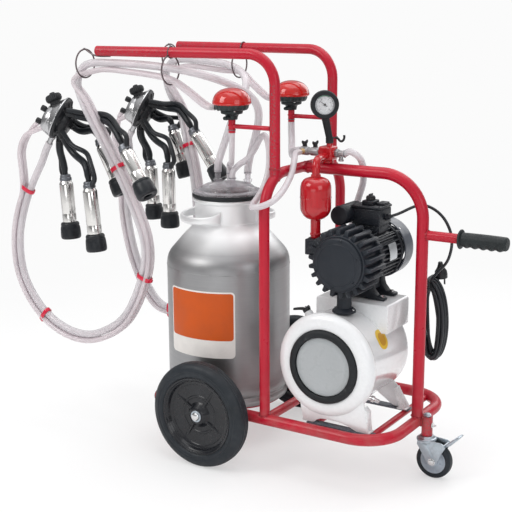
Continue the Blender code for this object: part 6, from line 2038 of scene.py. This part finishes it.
# pulse distributor in the claw's frame (n, e, f): two stubs, then two plugs
DISTRIBUTOR = [(0.04, -0.026, 0.012), (0.033, -0.044, 0.006), (0.0405, 0.006, -0.012),
               (0.04, -0.034, -0.012)]
PULSE_DIR = {'near': vec(-0.93, -0.06, -0.35).normalized(),
             'far': vec(-0.93, 0.04, -0.35).normalized()}
# rough direction of each cup's pulse nipple
NIPPLE_SIDE = {
    'near': [(-0.75, 0.45, 0.0), (1.0, -0.35, 0.25), (0.85, 0.45, 0.3), (1.0, -0.35, 0.25)],
    'far': [(-0.85, 0.35, 0.0), (1.0, -0.35, 0.25), (0.85, 0.45, 0.3), (1.0, -0.35, 0.25)]}
CURVE_OUT = (0.35, 0.6, 0.5, 0.42)     # pull of each milk tube's curve at the claw
CURVE_IN = (0.45, 0.5, 0.5, 0.5)       # and at the cup
PULSE_OUT = (0.0175, 0.027, 0.02, 0.018)   # short pulse tube's distance from it

# (radius, height along the claw's N)
CLAW_DOME = [
    (0, 0.0045), (0.056, 0.0045), (0.06, 0.0045), (0.0632, 0.0042), (0.064, 0.0022),
    (0.064, 0.0006), (0.065, 0.0006), (0.065, 0.0046), (0.0636, 0.0062), (0.0606, 0.007),
    (0.058, 0.0096), (0.053, 0.015), (0.046, 0.0212), (0.038, 0.0268), (0.029, 0.0312),
    (0.02, 0.0342), (0.01, 0.0358), (0, 0.0362)]
CLAW_BOWL = [
    (0, 0.006), (0.048, 0.006), (0.0486, 0.0075), (0.0472, 0.014), (0.0458, 0.0235),
    (0.045, 0.025), (0.0456, 0.0262), (0.044, 0.031), (0.04, 0.0375), (0.034, 0.0422),
    (0.026, 0.0452), (0.014, 0.0468), (0, 0.0472)]
CLAW_BACK = [
    (0, -0.016), (0.036, -0.016), (0.041, -0.0152), (0.047, -0.0124), (0.058, -0.0086),
    (0.0618, -0.0074), (0.0638, -0.0052), (0.0646, -0.0026), (0.0646, -0.0004),
    (0.063, 0.0004), (0, 0.0004)]
CLAW_BACK_DRUM = [
    (0, -0.035), (0.026, -0.035), (0.033, -0.0325), (0.0385, -0.027), (0.042, -0.02),
    (0.045, -0.012), (0.046, -0.008), (0, -0.008)]
# (radius across, height) outlines of radial webs
BOWL_LUG = [(0.04, 0.006), (0.052, 0.006), (0.0475, 0.02), (0.044, 0.026), (0.038, 0.024)]
BACK_RIB = [(0.033, -0.015), (0.058, -0.0078), (0.0612, -0.0078), (0.06, -0.0104),
            (0.047, -0.015), (0.038, -0.0168)]
CLAW_NIPPLE = [
    (0, 0), (0.0125, 0), (0.0125, 0.01), (0.0116, 0.013), (0.0112, 0.015), (0.0112, 0.024),
    (0.0118, 0.025), (0.0118, 0.0285), (0.0104, 0.0295), (0, 0.0295)]
CLAW_OUTLET = [
    (0, 0.0), (0.0122, 0.0), (0.0122, 0.006), (0.0104, 0.0085), (0.0104, 0.015),
    (0.0084, 0.0165), (0.0081, 0.018), (0.0081, 0.034), (0, 0.034)]
VALVE_BOSS = [(0, -0.028), (0.0158, -0.028), (0.0158, -0.01), (0.0166, -0.008),
              (0.0166, -0.0006), (0, -0.0002)]
PULSE_STUB = [(0, -0.012), (0.0072, -0.012), (0.0072, 0.002), (0.0054, 0.0036),
              (0.0048, 0.005), (0.0048, 0.015), (0, 0.0152)]
PULSE_PLUG = [(0, -0.008), (0.0062, -0.008), (0.0062, 0.005), (0.0078, 0.0062),
              (0.0088, 0.008), (0.0088, 0.018), (0.008, 0.0205), (0.0046, 0.0214), (0, 0.0216)]
VALVE_BUTTON = [
    (0, 0), (0.0195, 0), (0.0222, 0.0022), (0.0233, 0.0056), (0.0233, 0.014),
    (0.0226, 0.0172), (0.0205, 0.0194), (0.015, 0.0204), (0.0098, 0.0212), (0.0084, 0.0224),
    (0.0079, 0.0256), (0.0064, 0.0266), (0, 0.0268)]


def claw_point(side, n, e, f):
    return CLUSTERS[side][0] + CLAW_N * n + CLAW_E * e + CLAW_F * f


def claw_nipples(side):
    """Tips and directions of the four nipples on the claw's flat side."""
    centre, cups = CLUSTERS[side]
    out = []
    for (top, _), (n, e, f, dir_n, dir_e) in zip(cups, NIPPLES):
        direction = (CLAW_N * dir_n + CLAW_E * dir_e).normalized()
        base = claw_point(side, n, e, f if top.y > centre.y else -f)
        out.append((base + direction * 0.03, direction))
    return out


def claw_outlet(side):
    """Tip of the milk outlet at the claw's lowest rim."""
    return CLUSTERS[side][0] - CLAW_E * 0.045 + OUTLET_AXIS * 0.04


def build_claw(side):
    centre = CLUSTERS[side][0]
    matrix = frame_at(centre, CLAW_N, CLAW_E)
    lug = soft(prism_y(BOWL_LUG, -0.0035, 0.0035), 0.001, 2)
    lugs = [moved(lug, matrix @ Matrix.Translation((-0.0135, 0, 0)) @ Matrix.Rotation(q, 4, 'Z'))
            for q in (1.9, 2.8, 3.7, 4.6)]
    # the bowl is a fuller drum set a little below the flange's middle
    piece('claw_bowl_' + side,
          [turned(CLAW_BOWL, 96, centre - CLAW_E * 0.0135, CLAW_N, 0.0008)] + lugs,
          CAST_STEEL, sharp=34)
    piece('claw_dome_' + side, turned(CLAW_DOME, 96, centre, CLAW_N, 0.0007), CAST_STEEL,
          rep='claw_body_' + side, sharp=34)
    rib = soft(prism_y(BACK_RIB, -0.0013, 0.0013), 0.0006, 2)
    piece('claw_back_' + side,
          [turned(CLAW_BACK, 96, centre, CLAW_N, 0.0008)] + around(rib, 10, matrix, pi / 10)
          + [turned(CLAW_BACK_DRUM, 72, centre - CLAW_E * 0.006, CLAW_N, 0.0012)],
          BLACK, sharp=40)
    piece('claw_seal_' + side, torus(centre + CLAW_N * 0.001, CLAW_N, 0.0642, 0.0013, 96, 10),
          RUBBER, sharp=60)
    screw = [(0, -0.002), (0.0034, -0.002), (0.0034, 0.0022), (0.0026, 0.003), (0, 0.0031)]
    angles = [2 * pi * k / 6 + 0.3 for k in range(6)]
    piece('claw_screws_' + side,
          [turned(screw, 20, matrix @ Vector((0.059 * cos(a), 0.059 * sin(a), 0.0066)),
                  CLAW_N, 0.0004) for a in angles], BRIGHT, sharp=40)
    piece('claw_nipples_' + side,
          [turned(CLAW_NIPPLE, 32, tip - axis * 0.029, axis, 0.0006)
           for tip, axis in claw_nipples(side)], BLACK, sharp=40)
    piece('claw_outlet_' + side,
          turned(CLAW_OUTLET, 40, claw_outlet(side) - OUTLET_AXIS * 0.034, OUTLET_AXIS, 0.0006),
          CAST_STEEL, sharp=40)
    seat = centre + CLAW_N * 0.035 + CLAW_E * 0.037
    piece('claw_boss_' + side, turned(VALVE_BOSS, 48, seat, CLAW_AXIS, 0.0006), BLACK,
          sharp=40)
    stubs = [turned(PULSE_STUB, 26, claw_point(side, *spot), PULSE_DIR[side], 0.0005)
             for spot in DISTRIBUTOR[:2]]
    plugs = [turned(PULSE_PLUG, 28, claw_point(side, *spot), CLAW_N, 0.0006)
             for spot in DISTRIBUTOR[2:]]
    piece('claw_distributor_' + side, stubs + plugs, BLACK, sharp=40)
    seat = seat + CLAW_AXIS * GAP
    ridge = soft(box(0.0226, 0.0239, -0.0009, 0.0009, 0.0048, 0.0146), 0.0004, 1)
    piece('claw_button_' + side,
          [turned(VALVE_BUTTON, 64, seat, CLAW_AXIS, 0.0008)]
          + around(ridge, 24, frame_at(seat, CLAW_AXIS)),
          RUBBER, 'claw_valve_' + side, rep='claw_valve_' + side, sharp=40)


def liner_path(side, i):
    """From the claw nipple on a cubic to above the shell, then straight down it."""
    top, bottom = CLUSTERS[side][1][i]
    tip, direction = claw_nipples(side)[i]
    start = tip + direction * 0.004
    reach = (top - start).length
    axis = (bottom - top).normalized()
    end = top - axis * 0.006
    pull_out = start + direction * (CURVE_OUT[i] * reach)
    pull_in = end - axis * (CURVE_IN[i] * reach)
    out = [tip + direction * 2 * GAP]
    steps = 20
    for k in range(steps + 1):
        t = k / steps
        out.append((1 - t) ** 3 * start + 3 * (1 - t) ** 2 * t * pull_out
                   + 3 * (1 - t) * t * t * pull_in + t ** 3 * end)
    return out + [top + axis * 0.006, bottom]


def liner_profile(length, milk_end):
    """(distance, radius) of the liner: milk tube, barrel, mouthpiece, bore."""
    mouth = length - MOUTH
    profile = []
    distance = 0.0
    while distance < milk_end + 0.03:
        swell = max(0.0, min(1.0, (milk_end - 0.001 - distance) / 0.008))
        profile.append((distance, R_MILK + 0.002 * swell))
        distance += 0.005
    for base, rows in (
            (milk_end, [(0.032, R_MILK), (0.038, 0.015)]),
            (mouth, [(-0.004, 0.0152), (-0.0012, 0.0166), (0, 0.0246), (0.001, 0.0258),
                     (0.004, 0.0274), (0.007, 0.028), (0.0085, 0.0274), (0.011, 0.0275),
                     (0.0135, 0.0287), (0.02, 0.0297), (0.03, 0.0303)]),
            (length, [(-0.012, 0.0306), (-0.006, 0.0303), (-0.0022, 0.029), (-0.0004, 0.0267),
                      (0, 0.0235), (-0.0004, 0.0156), (-0.002, 0.0132), (-0.006, 0.0122),
                      (-0.011, 0.0138), (-0.025, 0.019)]),
            (mouth, [(0.006, 0.0185), (-0.01, 0.0124), (-0.04, 0.0122)])):
        profile += [(base + offset, radius) for offset, radius in rows]
    return profile


def short_pulse_path(side, i, path, milk_end, sideways, nipple_base, nipple_dir):
    """Leaves the claw beside the milk tube, swings out and drops to the collar."""
    direction = claw_nipples(side)[i][1]
    stations = frames(path)
    beside = []
    run = 0.0
    for k, (point, _, _, tangent) in enumerate(stations):
        if k:
            run += (point - stations[k - 1][0]).length
        if run > milk_end - 0.03:
            break
        out = sideways - tangent * sideways.dot(tangent)
        if out.length < 0.05:
            continue
        out.normalize()
        f = min(1.0, run / 0.07)
        f = f * f * (3 - 2 * f)
        beside.append(point + out * (0.0165 + (PULSE_OUT[i] - 0.0165) * f))
    end = nipple_base + nipple_dir * 0.0062
    guides = ([beside[0] - direction * 0.026 - sideways * 0.004] + beside[::4]
              + [end + nipple_dir * 0.03 + sideways * 0.002, end + nipple_dir * 0.012, end])
    return flowing(guides, 6, 0.004, 5)


def build_cup(side, i):
    top, bottom = CLUSTERS[side][1][i]
    axis = (bottom - top).normalized()
    length = (bottom - top).length - MOUTH - 0.0012
    tag = '%s_%d' % (side, i + 1)
    bore = R_MILK + 0.0003
    shell = ([(bore, 0.017), (0.014, 0.017), (0.0165, 0.0195), (0.0175, 0.0225),
              (0.0196, 0.0258), (0.0206, 0.028), (R_SHELL, 0.031)]
             + raised(length, [(R_SHELL, -0.03), (0.0205, -0.028), (0.0205, -0.0255),
                               (R_SHELL, -0.0235), (R_SHELL, -0.002), (0.0207, 0),
                               (0.0196, 0)])
             + [(0.0196, 0.033), (bore, 0.0215)])
    piece('shell_tube_' + tag, turned_ring(shell, 80, top, axis, 0.001), STEEL,
          rep='teat_shell_' + tag, sharp=50)
    collar = [(bore, 0.0), (0.0125, 0.0), (0.015, 0.0015), (0.016, 0.004), (0.016, 0.009),
              (0.0172, 0.01), (0.018, 0.012), (0.018, 0.018), (0.017, 0.0192), (bore, 0.0192)]
    nipple = [(0, 0), (0.005, 0), (0.005, 0.008), (0.0056, 0.009), (0.0046, 0.0125),
              (0, 0.0128)]
    sideways = Vector(NIPPLE_SIDE[side][i])
    sideways = (sideways - axis * sideways.dot(axis)).normalized()
    nipple_base = top + axis * 0.019 + sideways * 0.012
    nipple_dir = (sideways * 0.6 - axis * 0.8).normalized()
    piece('shell_collar_' + tag,
          [turned_ring(collar, 56, top, axis),
           turned(nipple, 22, nipple_base, nipple_dir, 0.0004)], COLLAR, sharp=40)
    path = relaxed(dense(liner_path(side, i), 0.005), 4)
    path_length = sum((b - a).length for a, b in zip(path, path[1:]))
    milk_end = path_length - ((bottom - top).length + 0.006)
    piece('liner_body_' + tag, swept(path, liner_profile(path_length, milk_end), 60), LINER,
          rep='liner_' + tag, sharp=50)
    pulse = short_pulse_path(side, i, path, milk_end, sideways, nipple_base, nipple_dir)
    piece('short_pulse_tube_' + tag, tube(pulse, 0.0072, 22, 0.0038), LINER, sharp=60)


for cluster_side in CLUSTERS:
    build_claw(cluster_side)
    for cup in range(4):
        build_cup(cluster_side, cup)


# =================================================================== hoses
# guide points of each milk hose between the lid nozzle and the claw outlet
MILK_GUIDES = {
    'near': [
        (0.066, 0.022, 0.842), (0.09, 0.0, 0.876), (0.114, -0.022, 0.912),
        (0.129, -0.034, 0.948), (0.13, -0.04, 0.98), (0.116, -0.05, 1.01),
        (0.086, -0.076, 1.036), (0.04, -0.112, 1.06), (-0.012, -0.146, 1.078),
        (-0.07, -0.17, 1.089), (-0.15, -0.178, 1.096), (-0.24, -0.187, 1.099),
        (-0.316, -0.193, 1.099), (-0.356, -0.195, 1.09), (-0.378, -0.197, 1.062),
        (-0.381, -0.199, 1.026), (-0.368, -0.2, 0.995), (-0.345, -0.2, 0.952),
        (-0.3, -0.199, 0.88), (-0.253, -0.196, 0.8), (-0.206, -0.196, 0.715),
        (-0.158, -0.196, 0.6), (-0.166, -0.198, 0.5), (-0.232, -0.2, 0.37),
        (-0.33, -0.2, 0.303), (-0.412, -0.2, 0.287), (-0.5, -0.2, 0.307),
        (-0.578, -0.2, 0.362), (-0.632, -0.2, 0.45), (-0.64, -0.2, 0.56),
        (-0.612, -0.2, 0.66), (-0.572, -0.2, 0.74), (-0.534, -0.2, 0.8)],
    'far': [
        (-0.024, 0.004, 0.84), (-0.012, 0.014, 0.884), (-0.004, 0.028, 0.927),
        (0.009, 0.044, 0.966), (0.02, 0.062, 1.008), (0.008, 0.088, 1.044),
        (-0.036, 0.122, 1.068), (-0.106, 0.152, 1.083), (-0.2, 0.174, 1.09),
        (-0.29, 0.188, 1.092), (-0.338, 0.194, 1.082), (-0.36, 0.195, 1.05),
        (-0.36, 0.199, 1.005), (-0.352, 0.214, 0.965), (-0.334, 0.226, 0.925),
        (-0.308, 0.213, 0.872), (-0.282, 0.194, 0.81), (-0.258, 0.19, 0.72),
        (-0.25, 0.19, 0.6), (-0.255, 0.19, 0.47), (-0.285, 0.19, 0.35),
        (-0.34, 0.19, 0.288), (-0.4, 0.19, 0.29), (-0.455, 0.19, 0.35),
        (-0.505, 0.19, 0.46), (-0.532, 0.19, 0.6), (-0.524, 0.19, 0.72),
        (-0.513, 0.19, 0.795)]}
# lid nozzle of each milk hose, and the hose's offset from it 24 mm up
MILK_START = {'near': (2, vec(0.003, -0.002, 0.024)), 'far': (0, vec(0.001, 0, 0.024))}
# twin pulse tubes: x, y of the pair's middle, z, half spacing
PULSE_ARM_RUN = {
    'near': [(-0.016, -0.166, 1.03, 0.008), (-0.063, -0.177, 1.059, 0.0075),
             (-0.13, -0.181, 1.07, 0.0075), (-0.206, -0.187, 1.077, 0.0075),
             (-0.275, -0.191, 1.081, 0.0075), (-0.33, -0.195, 1.074, 0.0075)],
    'far': [(-0.016, 0.157, 1.03, 0.008), (-0.056, 0.164, 1.06, 0.0075),
            (-0.12, 0.175, 1.062, 0.0075), (-0.206, 0.184, 1.069, 0.0075),
            (-0.27, 0.189, 1.072, 0.0075), (-0.314, 0.192, 1.064, 0.0075)]}
PULSE_CLAW_RUN = {
    'near': [(-0.612, -0.2, 0.768, 0.008), (-0.618, -0.198, 0.828, 0.008),
             (-0.594, -0.197, 0.876, 0.0075)],
    'far': [(-0.545, 0.19, 0.768, 0.008), (-0.572, 0.191, 0.828, 0.008),
            (-0.566, 0.192, 0.876, 0.0075)]}
PULSE_LEAVES = {'near': 0.7, 'far': 0.69}    # height at which the pair leaves the hose
LOOP_X = {'near': -0.42, 'far': -0.39}       # middle of the hose loop
LOOP_Z = 0.62
# (x, z) near which each clip sits on the hose
CLIPS = {'near': [(-0.585, 0.709), (-0.54, 0.334), (-0.169, 0.494), (-0.252, 0.804)],
         'far': [(-0.285, 0.822), (-0.36, 0.286), (-0.505, 0.69)]}


def milk_path(side):
    port, bend = MILK_START[side]
    start = port_top(port)
    end = claw_outlet(side)
    guides = [start, start + vec(0, 0, 0.01), start + bend] + MILK_GUIDES[side]
    guides += [end + OUTLET_AXIS * lead for lead in (0.03, 0.012, 0.0006)]
    return flowing(guides, HOSE_STEPS, 0.007, 4)


def build_milk_hose(side, path, split):
    # the run up to the split is left off the bodies and stands for the CAD hose, the rest rides
    # on the root body
    run = piece('milk_hose_lid_run_' + side, tube(path[:split + 1], 0.0108, 30, 0.0072), HOSE,
                None, rep='milk_hose_' + side, sharp=60)
    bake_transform(run)
    loop = path[split:]
    piece('milk_hose_loop_' + side, tube(loop, 0.0108, 30, 0.0072), HOSE, sharp=60)
    radii = [0.0034 + 0.001 * sin(k * 0.13) for k in range(len(loop) - 6)]
    piece('milk_film_' + side, tube(loop[6:], radii, 12), MILKY if side == 'near' else HOSE,
          sharp=60)


def loop_outward(station, loop_x):
    """Square to the hose in the loop's plane, pointing out of the loop."""
    point, _, _, tangent = station
    normal = tangent.cross(vec(0, 1, 0)).normalized()
    if normal.dot(point - vec(loop_x, point.y, LOOP_Z)) < 0:
        normal = -normal
    return normal


def build_pulse_tubes(side, sign, stations, ring_index):
    """Twin tubes: from the pulsator along the arm, then beside the milk hose
    round the loop to the claw."""
    last = len(stations) - 1
    while stations[last][0].z > PULSE_LEAVES[side]:
        last -= 1
    toward = PULSE_DIR[side]
    for tag, lane in (('a', -1), ('b', 1)):
        start = vec(0.061, sign * Y_ARM + lane * PULSE_SPACING, Z_PULSATOR + 0.03)
        guides = [start + vec(0.012, 0, 0), start, start + vec(-0.02, 0, 0.001)]
        guides += [vec(x, y + lane * half, z) for x, y, z, half in PULSE_ARM_RUN[side]]
        for k in range(ring_index, last, 9):
            f = min(1.0, (k - ring_index) / 14)
            out = loop_outward(stations[k], LOOP_X[side]) * (0.0196 * f + 0.014 * (1 - f))
            guides.append(stations[k][0] + out + vec(0, lane * 0.008, 0))
        guides.append(stations[last][0] + loop_outward(stations[last], -0.4) * 0.0198
                      + vec(0, lane * 0.008, 0))
        guides += [vec(x, y + lane * half, z) for x, y, z, half in PULSE_CLAW_RUN[side]]
        stub = DISTRIBUTOR[0 if lane > 0 else 1]
        tip = claw_point(side, *stub) + toward * 0.0152
        guides += [tip + toward * 0.026, tip + toward * 0.01, tip - toward * 0.008]
        piece('pulse_tube_%s_%s' % (side, tag),
              tube(flowing(guides, 6, 0.007, 5), 0.0074, 20, 0.0046), PULSE,
              sharp=60)


def hose_clip(station, out):
    """Rounded band round the milk hose and the pulse pair, with a catch."""
    point, _, _, tangent = station
    across = tangent.cross(out).normalized()
    half = 0.006
    rings = []
    for angle in [2 * pi * q / 48 for q in range(48)]:
        u = 0.0222 * flattened(cos(angle), 0.75) + 0.009
        v = (0.0122 + 0.0034 * max(0.0, cos(angle))) * flattened(sin(angle), 0.75)
        lift = (out * (u - 0.009) + across * v).normalized()
        base = point + out * u + across * v
        section = [(-half, 0), (-half, 0.0017), (-(half - 0.001), 0.0023),
                   (half - 0.001, 0.0023), (half, 0.0017), (half, 0)]
        rings.append([base + tangent * a + lift * b for a, b in section])
    catch = soft(box(-0.0042, 0.0042, -0.005, 0.005, -0.0046, 0.0046), 0.0009, 2)
    return [loft(rings, closed=True),
            moved(catch, frame_at(point + out * 0.033, tangent, out)),
            turned([(0, 0), (0.0034, 0), (0.003, 0.0016), (0, 0.002)], 20,
                   point - out * 0.0138, -out, 0.0004)]


def build_hose_loop(side, sign):
    path = milk_path(side)
    on_arm = [k for k, p in enumerate(path) if p.x < -0.1 and p.z > 1.0]
    split = min(on_arm, key=lambda k: abs(path[k].x + 0.1))
    build_milk_hose(side, path, split)
    stations = frames(path)
    ring_index = next(k for k in range(split, len(path)) if path[k].z < 1.05)
    build_pulse_tubes(side, sign, stations, ring_index)
    for j, (x, z) in enumerate(CLIPS[side]):
        k = min(range(ring_index, len(path)),
                key=lambda k: (path[k].x - x) ** 2 + (path[k].z - z) ** 2)
        piece('hose_clip_%s_%d' % (side, j + 1),
              hose_clip(stations[k], loop_outward(stations[k], LOOP_X[side])),
              CLIP, sharp=45)


def build_vacuum_hose():
    """From the manifold round the near post to the lid."""
    port = port_top(3)
    path = flowing([
        (0.257, -0.0286, Z_MAN), (0.257, -0.04, Z_MAN), (0.258, -0.054, 0.864),
        (0.274, -0.086, 0.85), (0.288, -0.125, 0.818), (0.292, -0.175, 0.782),
        (0.287, -0.218, 0.76), (0.266, -0.243, 0.748), (0.238, -0.238, 0.743),
        (0.221, -0.212, 0.745), (0.216, -0.18, 0.757), (0.219, -0.152, 0.784),
        (0.221, -0.13, 0.83), (0.215, -0.12, 0.885), (0.198, -0.111, 0.915),
        (0.174, -0.098, 0.905), (0.146, -0.082, 0.872), (0.112, -0.066, 0.84),
        (0.072, -0.051, 0.818), port + vec(0, 0, 0.02), port + vec(0, 0, 0.008), port],
        HOSE_STEPS, 0.006, 3)
    split = next(i for i, p in enumerate(path) if p.x < 0.199 and p.z > 0.9)
    run = piece('vacuum_hose_lid_run', tube(path[split:], 0.0085, 26, 0.0056), HOSE,
                None, rep='vacuum_hose', sharp=60)
    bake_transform(run)
    piece('vacuum_hose_post_run', tube(path[:split + 1], 0.0085, 26, 0.0056), HOSE,
          sharp=60)


def build_supply_hoses():
    # near pulsator's hose, from its spigot to the lid's second nozzle
    port = port_top(1)
    path = flowing([
        (X_PULSATOR, -Y_ARM, 0.9235), (X_PULSATOR, -Y_ARM, 0.9075), (0.119, -0.154, 0.88),
        (0.1, -0.128, 0.84), (0.06, -0.072, 0.822), (0.026, -0.028, 0.815),
        (0.014, -0.012, 0.8), port + vec(0, 0, 0.006), port + vec(0, 0, -0.01)], 8, 0.006, 3)
    for name, solid, material in (
            ('pulsator_supply_hose_near', tube(path, 0.0078, 24, 0.005), HOSE),
            ('supply_hose_core_near', tube(path[2:-2], 0.0032, 12), MILKY)):
        ob = piece(name, solid, material, None, sharp=60)
        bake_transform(ob)
    # far pulsator's hose, down to the manifold pipe's -X end
    path = flowing([
        (X_PULSATOR, Y_ARM, 0.9235), (X_PULSATOR, Y_ARM, 0.9035), (0.126, 0.15, 0.872),
        (0.15, 0.11, 0.838), (0.19, 0.05, 0.842), (0.212, 0.014, 0.858),
        (0.232, 0.002, 0.8645), (0.246, 0, Z_MAN)], 9, 0.006, 3)
    piece('pulsator_supply_hose_far', tube(path, 0.0098, 26, 0.0066), HOSE,
          sharp=60)
    # from the manifold's +X nozzle down to the tank
    path = flowing([
        (X_MAN + 0.046, 0, Z_MAN), (X_MAN + 0.058, 0, Z_MAN + 0.001), (0.388, 0.003, 0.873),
        (0.408, 0.009, 0.866), (0.42, 0.02, 0.848), (0.418, 0.04, 0.815),
        (0.398, 0.075, 0.772), (0.37, 0.094, 0.71), (0.35, 0.092, 0.62),
        (0.334, 0.082, 0.54), (0.34, 0.076, 0.48), (0.35, 0.072, 0.446),
        (0.356, 0.07, 0.428)], 7, 0.006, 3)
    piece('tank_supply_hose', tube(path, 0.0092, 26, 0.0062), HOSE, sharp=60)
    piece('supply_hose_clips',
          [torus(spot, axis, 0.01, 0.001, 40, 8) for spot, axis in (
              ((X_PULSATOR, -Y_ARM, 0.93), Z_AXIS), ((X_PULSATOR, Y_ARM, 0.93), Z_AXIS),
              ((0.246, 0, Z_MAN), X_AXIS), ((X_MAN + 0.052, 0, Z_MAN), X_AXIS))],
          COLLAR, sharp=50)


for hose_side, hose_sign in SIDES:
    build_hose_loop(hose_side, hose_sign)
build_vacuum_hose()
build_supply_hoses()


# =================================================================== stage
BACKDROP = (0.965, 0.965, 0.965, 1)


def floor_material():
    """Pale floor that runs into the backdrop towards the horizon."""
    s = Shade('pale_floor', (0.92, 0.92, 0.92), 0.62, spec=0.15)
    big = s.noise(scale=1.5, detail=2)
    s.colour(s.ramp(big, [(0.3, (0.915, 0.915, 0.915)), (0.7, (0.93, 0.93, 0.93))]))
    s.rough(s.remap(big, over=(0.3, 0.7), to=(0.58, 0.66)))
    distance = s.new('ShaderNodeVectorMath', operation='LENGTH')
    s.link(s.position, distance.inputs[0])
    far = s.remap(distance.outputs['Value'], over=(0.7, 2.4), to=(0.5, 1.0))
    rays = s.new('ShaderNodeLightPath')
    fac = s.math('MULTIPLY', far, rays.outputs['Is Camera Ray'])
    glow = s.new('ShaderNodeEmission')
    glow.inputs['Color'].default_value = BACKDROP
    glow.inputs['Strength'].default_value = 1.0
    s.mix_output(fac, s.shader.outputs[0], glow.outputs[0])
    return s.material


def build_floor():
    half, cells = 9, 40
    row = cells + 1
    marks = [-half + 2 * half * i / cells for i in range(row)]
    verts = [vec(x, y, 0.0) for x in marks for y in marks]
    corners = [i * row + j for i in range(cells) for j in range(cells)]
    faces = [(k, k + row, k + row + 1, k + 1) for k in corners]
    mesh = bpy.data.meshes.new('floor')
    mesh.from_pydata(verts, [], faces)
    ob = bpy.data.objects.new('floor', mesh)
    bpy.context.scene.collection.objects.link(ob)
    mesh.materials.append(floor_material())


def area_light(name, position, size, power, colour=(1, 1, 1), size_y=None,
               target=(0.0, 0.0, 0.55)):
    light = bpy.data.lights.new(name, 'AREA')
    light.energy = power
    light.color = colour
    light.shape = 'RECTANGLE'
    light.size = size
    light.size_y = size_y or size
    ob = bpy.data.objects.new(name, light)
    bpy.context.scene.collection.objects.link(ob)
    ob.location = position
    ob.rotation_euler = (Vector(target) - Vector(position)).to_track_quat('-Z', 'Y').to_euler()


def build_world():
    """Soft studio gradient for lighting; the camera sees a flat pale backdrop."""
    world = bpy.data.worlds.new('studio')
    bpy.context.scene.world = world
    world.use_nodes = True
    nodes, link = world.node_tree.nodes, world.node_tree.links.new
    gradient = nodes['Background']
    rays = nodes.new('ShaderNodeLightPath')
    coords = nodes.new('ShaderNodeTexCoord')
    split = nodes.new('ShaderNodeSeparateXYZ')
    link(coords.outputs['Generated'], split.inputs[0])
    ramp = nodes.new('ShaderNodeValToRGB')
    height = nodes.new('ShaderNodeMapRange')
    height.inputs['From Min'].default_value = -0.3
    height.inputs['From Max'].default_value = 1.0
    link(split.outputs['Z'], height.inputs['Value'])
    greys = ((0.23, 0.5), (0.32, 0.38), (0.45, 0.45), (0.62, 0.85), (0.8, 1.2))
    fill_ramp(ramp, [(0.0, (0.55, 0.55, 0.56))] + [(at, (v, v, v * 1.01)) for at, v in greys]
              + [(1.0, (1.35, 1.36, 1.38))])
    link(height.outputs['Result'], ramp.inputs['Fac'])
    gradient.inputs['Strength'].default_value = 0.68
    link(ramp.outputs['Color'], gradient.inputs['Color'])
    flat = nodes.new('ShaderNodeBackground')
    flat.inputs['Color'].default_value = BACKDROP
    flat.inputs['Strength'].default_value = 1.0
    mix = nodes.new('ShaderNodeMixShader')
    link(rays.outputs['Is Camera Ray'], mix.inputs[0])
    link(gradient.outputs[0], mix.inputs[1])
    link(flat.outputs[0], mix.inputs[2])
    link(mix.outputs[0], nodes['World Output'].inputs['Surface'])


def build_lights():
    area_light('key', position=(-1.6, -2.6, 2.9), size=1.7, power=50, colour=(1.0, 0.99, 0.97))
    area_light('fill', position=(2.9, -1.5, 1.7), size=1.6, power=20, colour=(0.97, 0.98, 1.0))
    area_light('top', position=(0.2, 0.3, 3.4), size=2.6, power=37)
    area_light('back', position=(0.4, 3.0, 2.3), size=2.2, power=31)
    area_light('low_front', position=(0.9, -3.4, 0.7), size=1.8, power=8, size_y=0.8,
               target=(0, 0, 0.5))


def build_camera():
    camera = bpy.data.cameras.new('photo_camera')
    camera.sensor_width = 36
    camera.sensor_height = 36
    camera.sensor_fit = 'HORIZONTAL'
    camera.lens = 77.68
    camera.shift_x = 0.0088
    camera.shift_y = -0.0004
    camera.clip_start = 0.05
    camera.clip_end = 60
    ob = bpy.data.objects.new('photo_camera', camera)
    bpy.context.scene.collection.objects.link(ob)
    # heading from +Y towards -X, pitch below the horizon, roll about the view
    heading, pitch, roll = radians(32.832), radians(13.047), radians(-0.3505)
    view = vec(-sin(heading) * cos(pitch), cos(heading) * cos(pitch), -sin(pitch))
    level = vec(cos(heading), sin(heading), 0)
    upright = level.cross(view)
    right = level * cos(roll) + upright * sin(roll)
    up = -level * sin(roll) + upright * cos(roll)
    matrix = Matrix((right, up, -view)).transposed().to_4x4()
    matrix.translation = vec(1.6723, -2.6194, 1.2697)
    ob.matrix_world = matrix
    bpy.context.scene.camera = ob


build_floor()
build_world()
build_lights()
build_camera()
scene = bpy.context.scene
scene.view_settings.view_transform = 'Standard'
scene.view_settings.look = 'None'
scene.cycles.transparent_max_bounces = 32
scene.cycles.max_bounces = 12
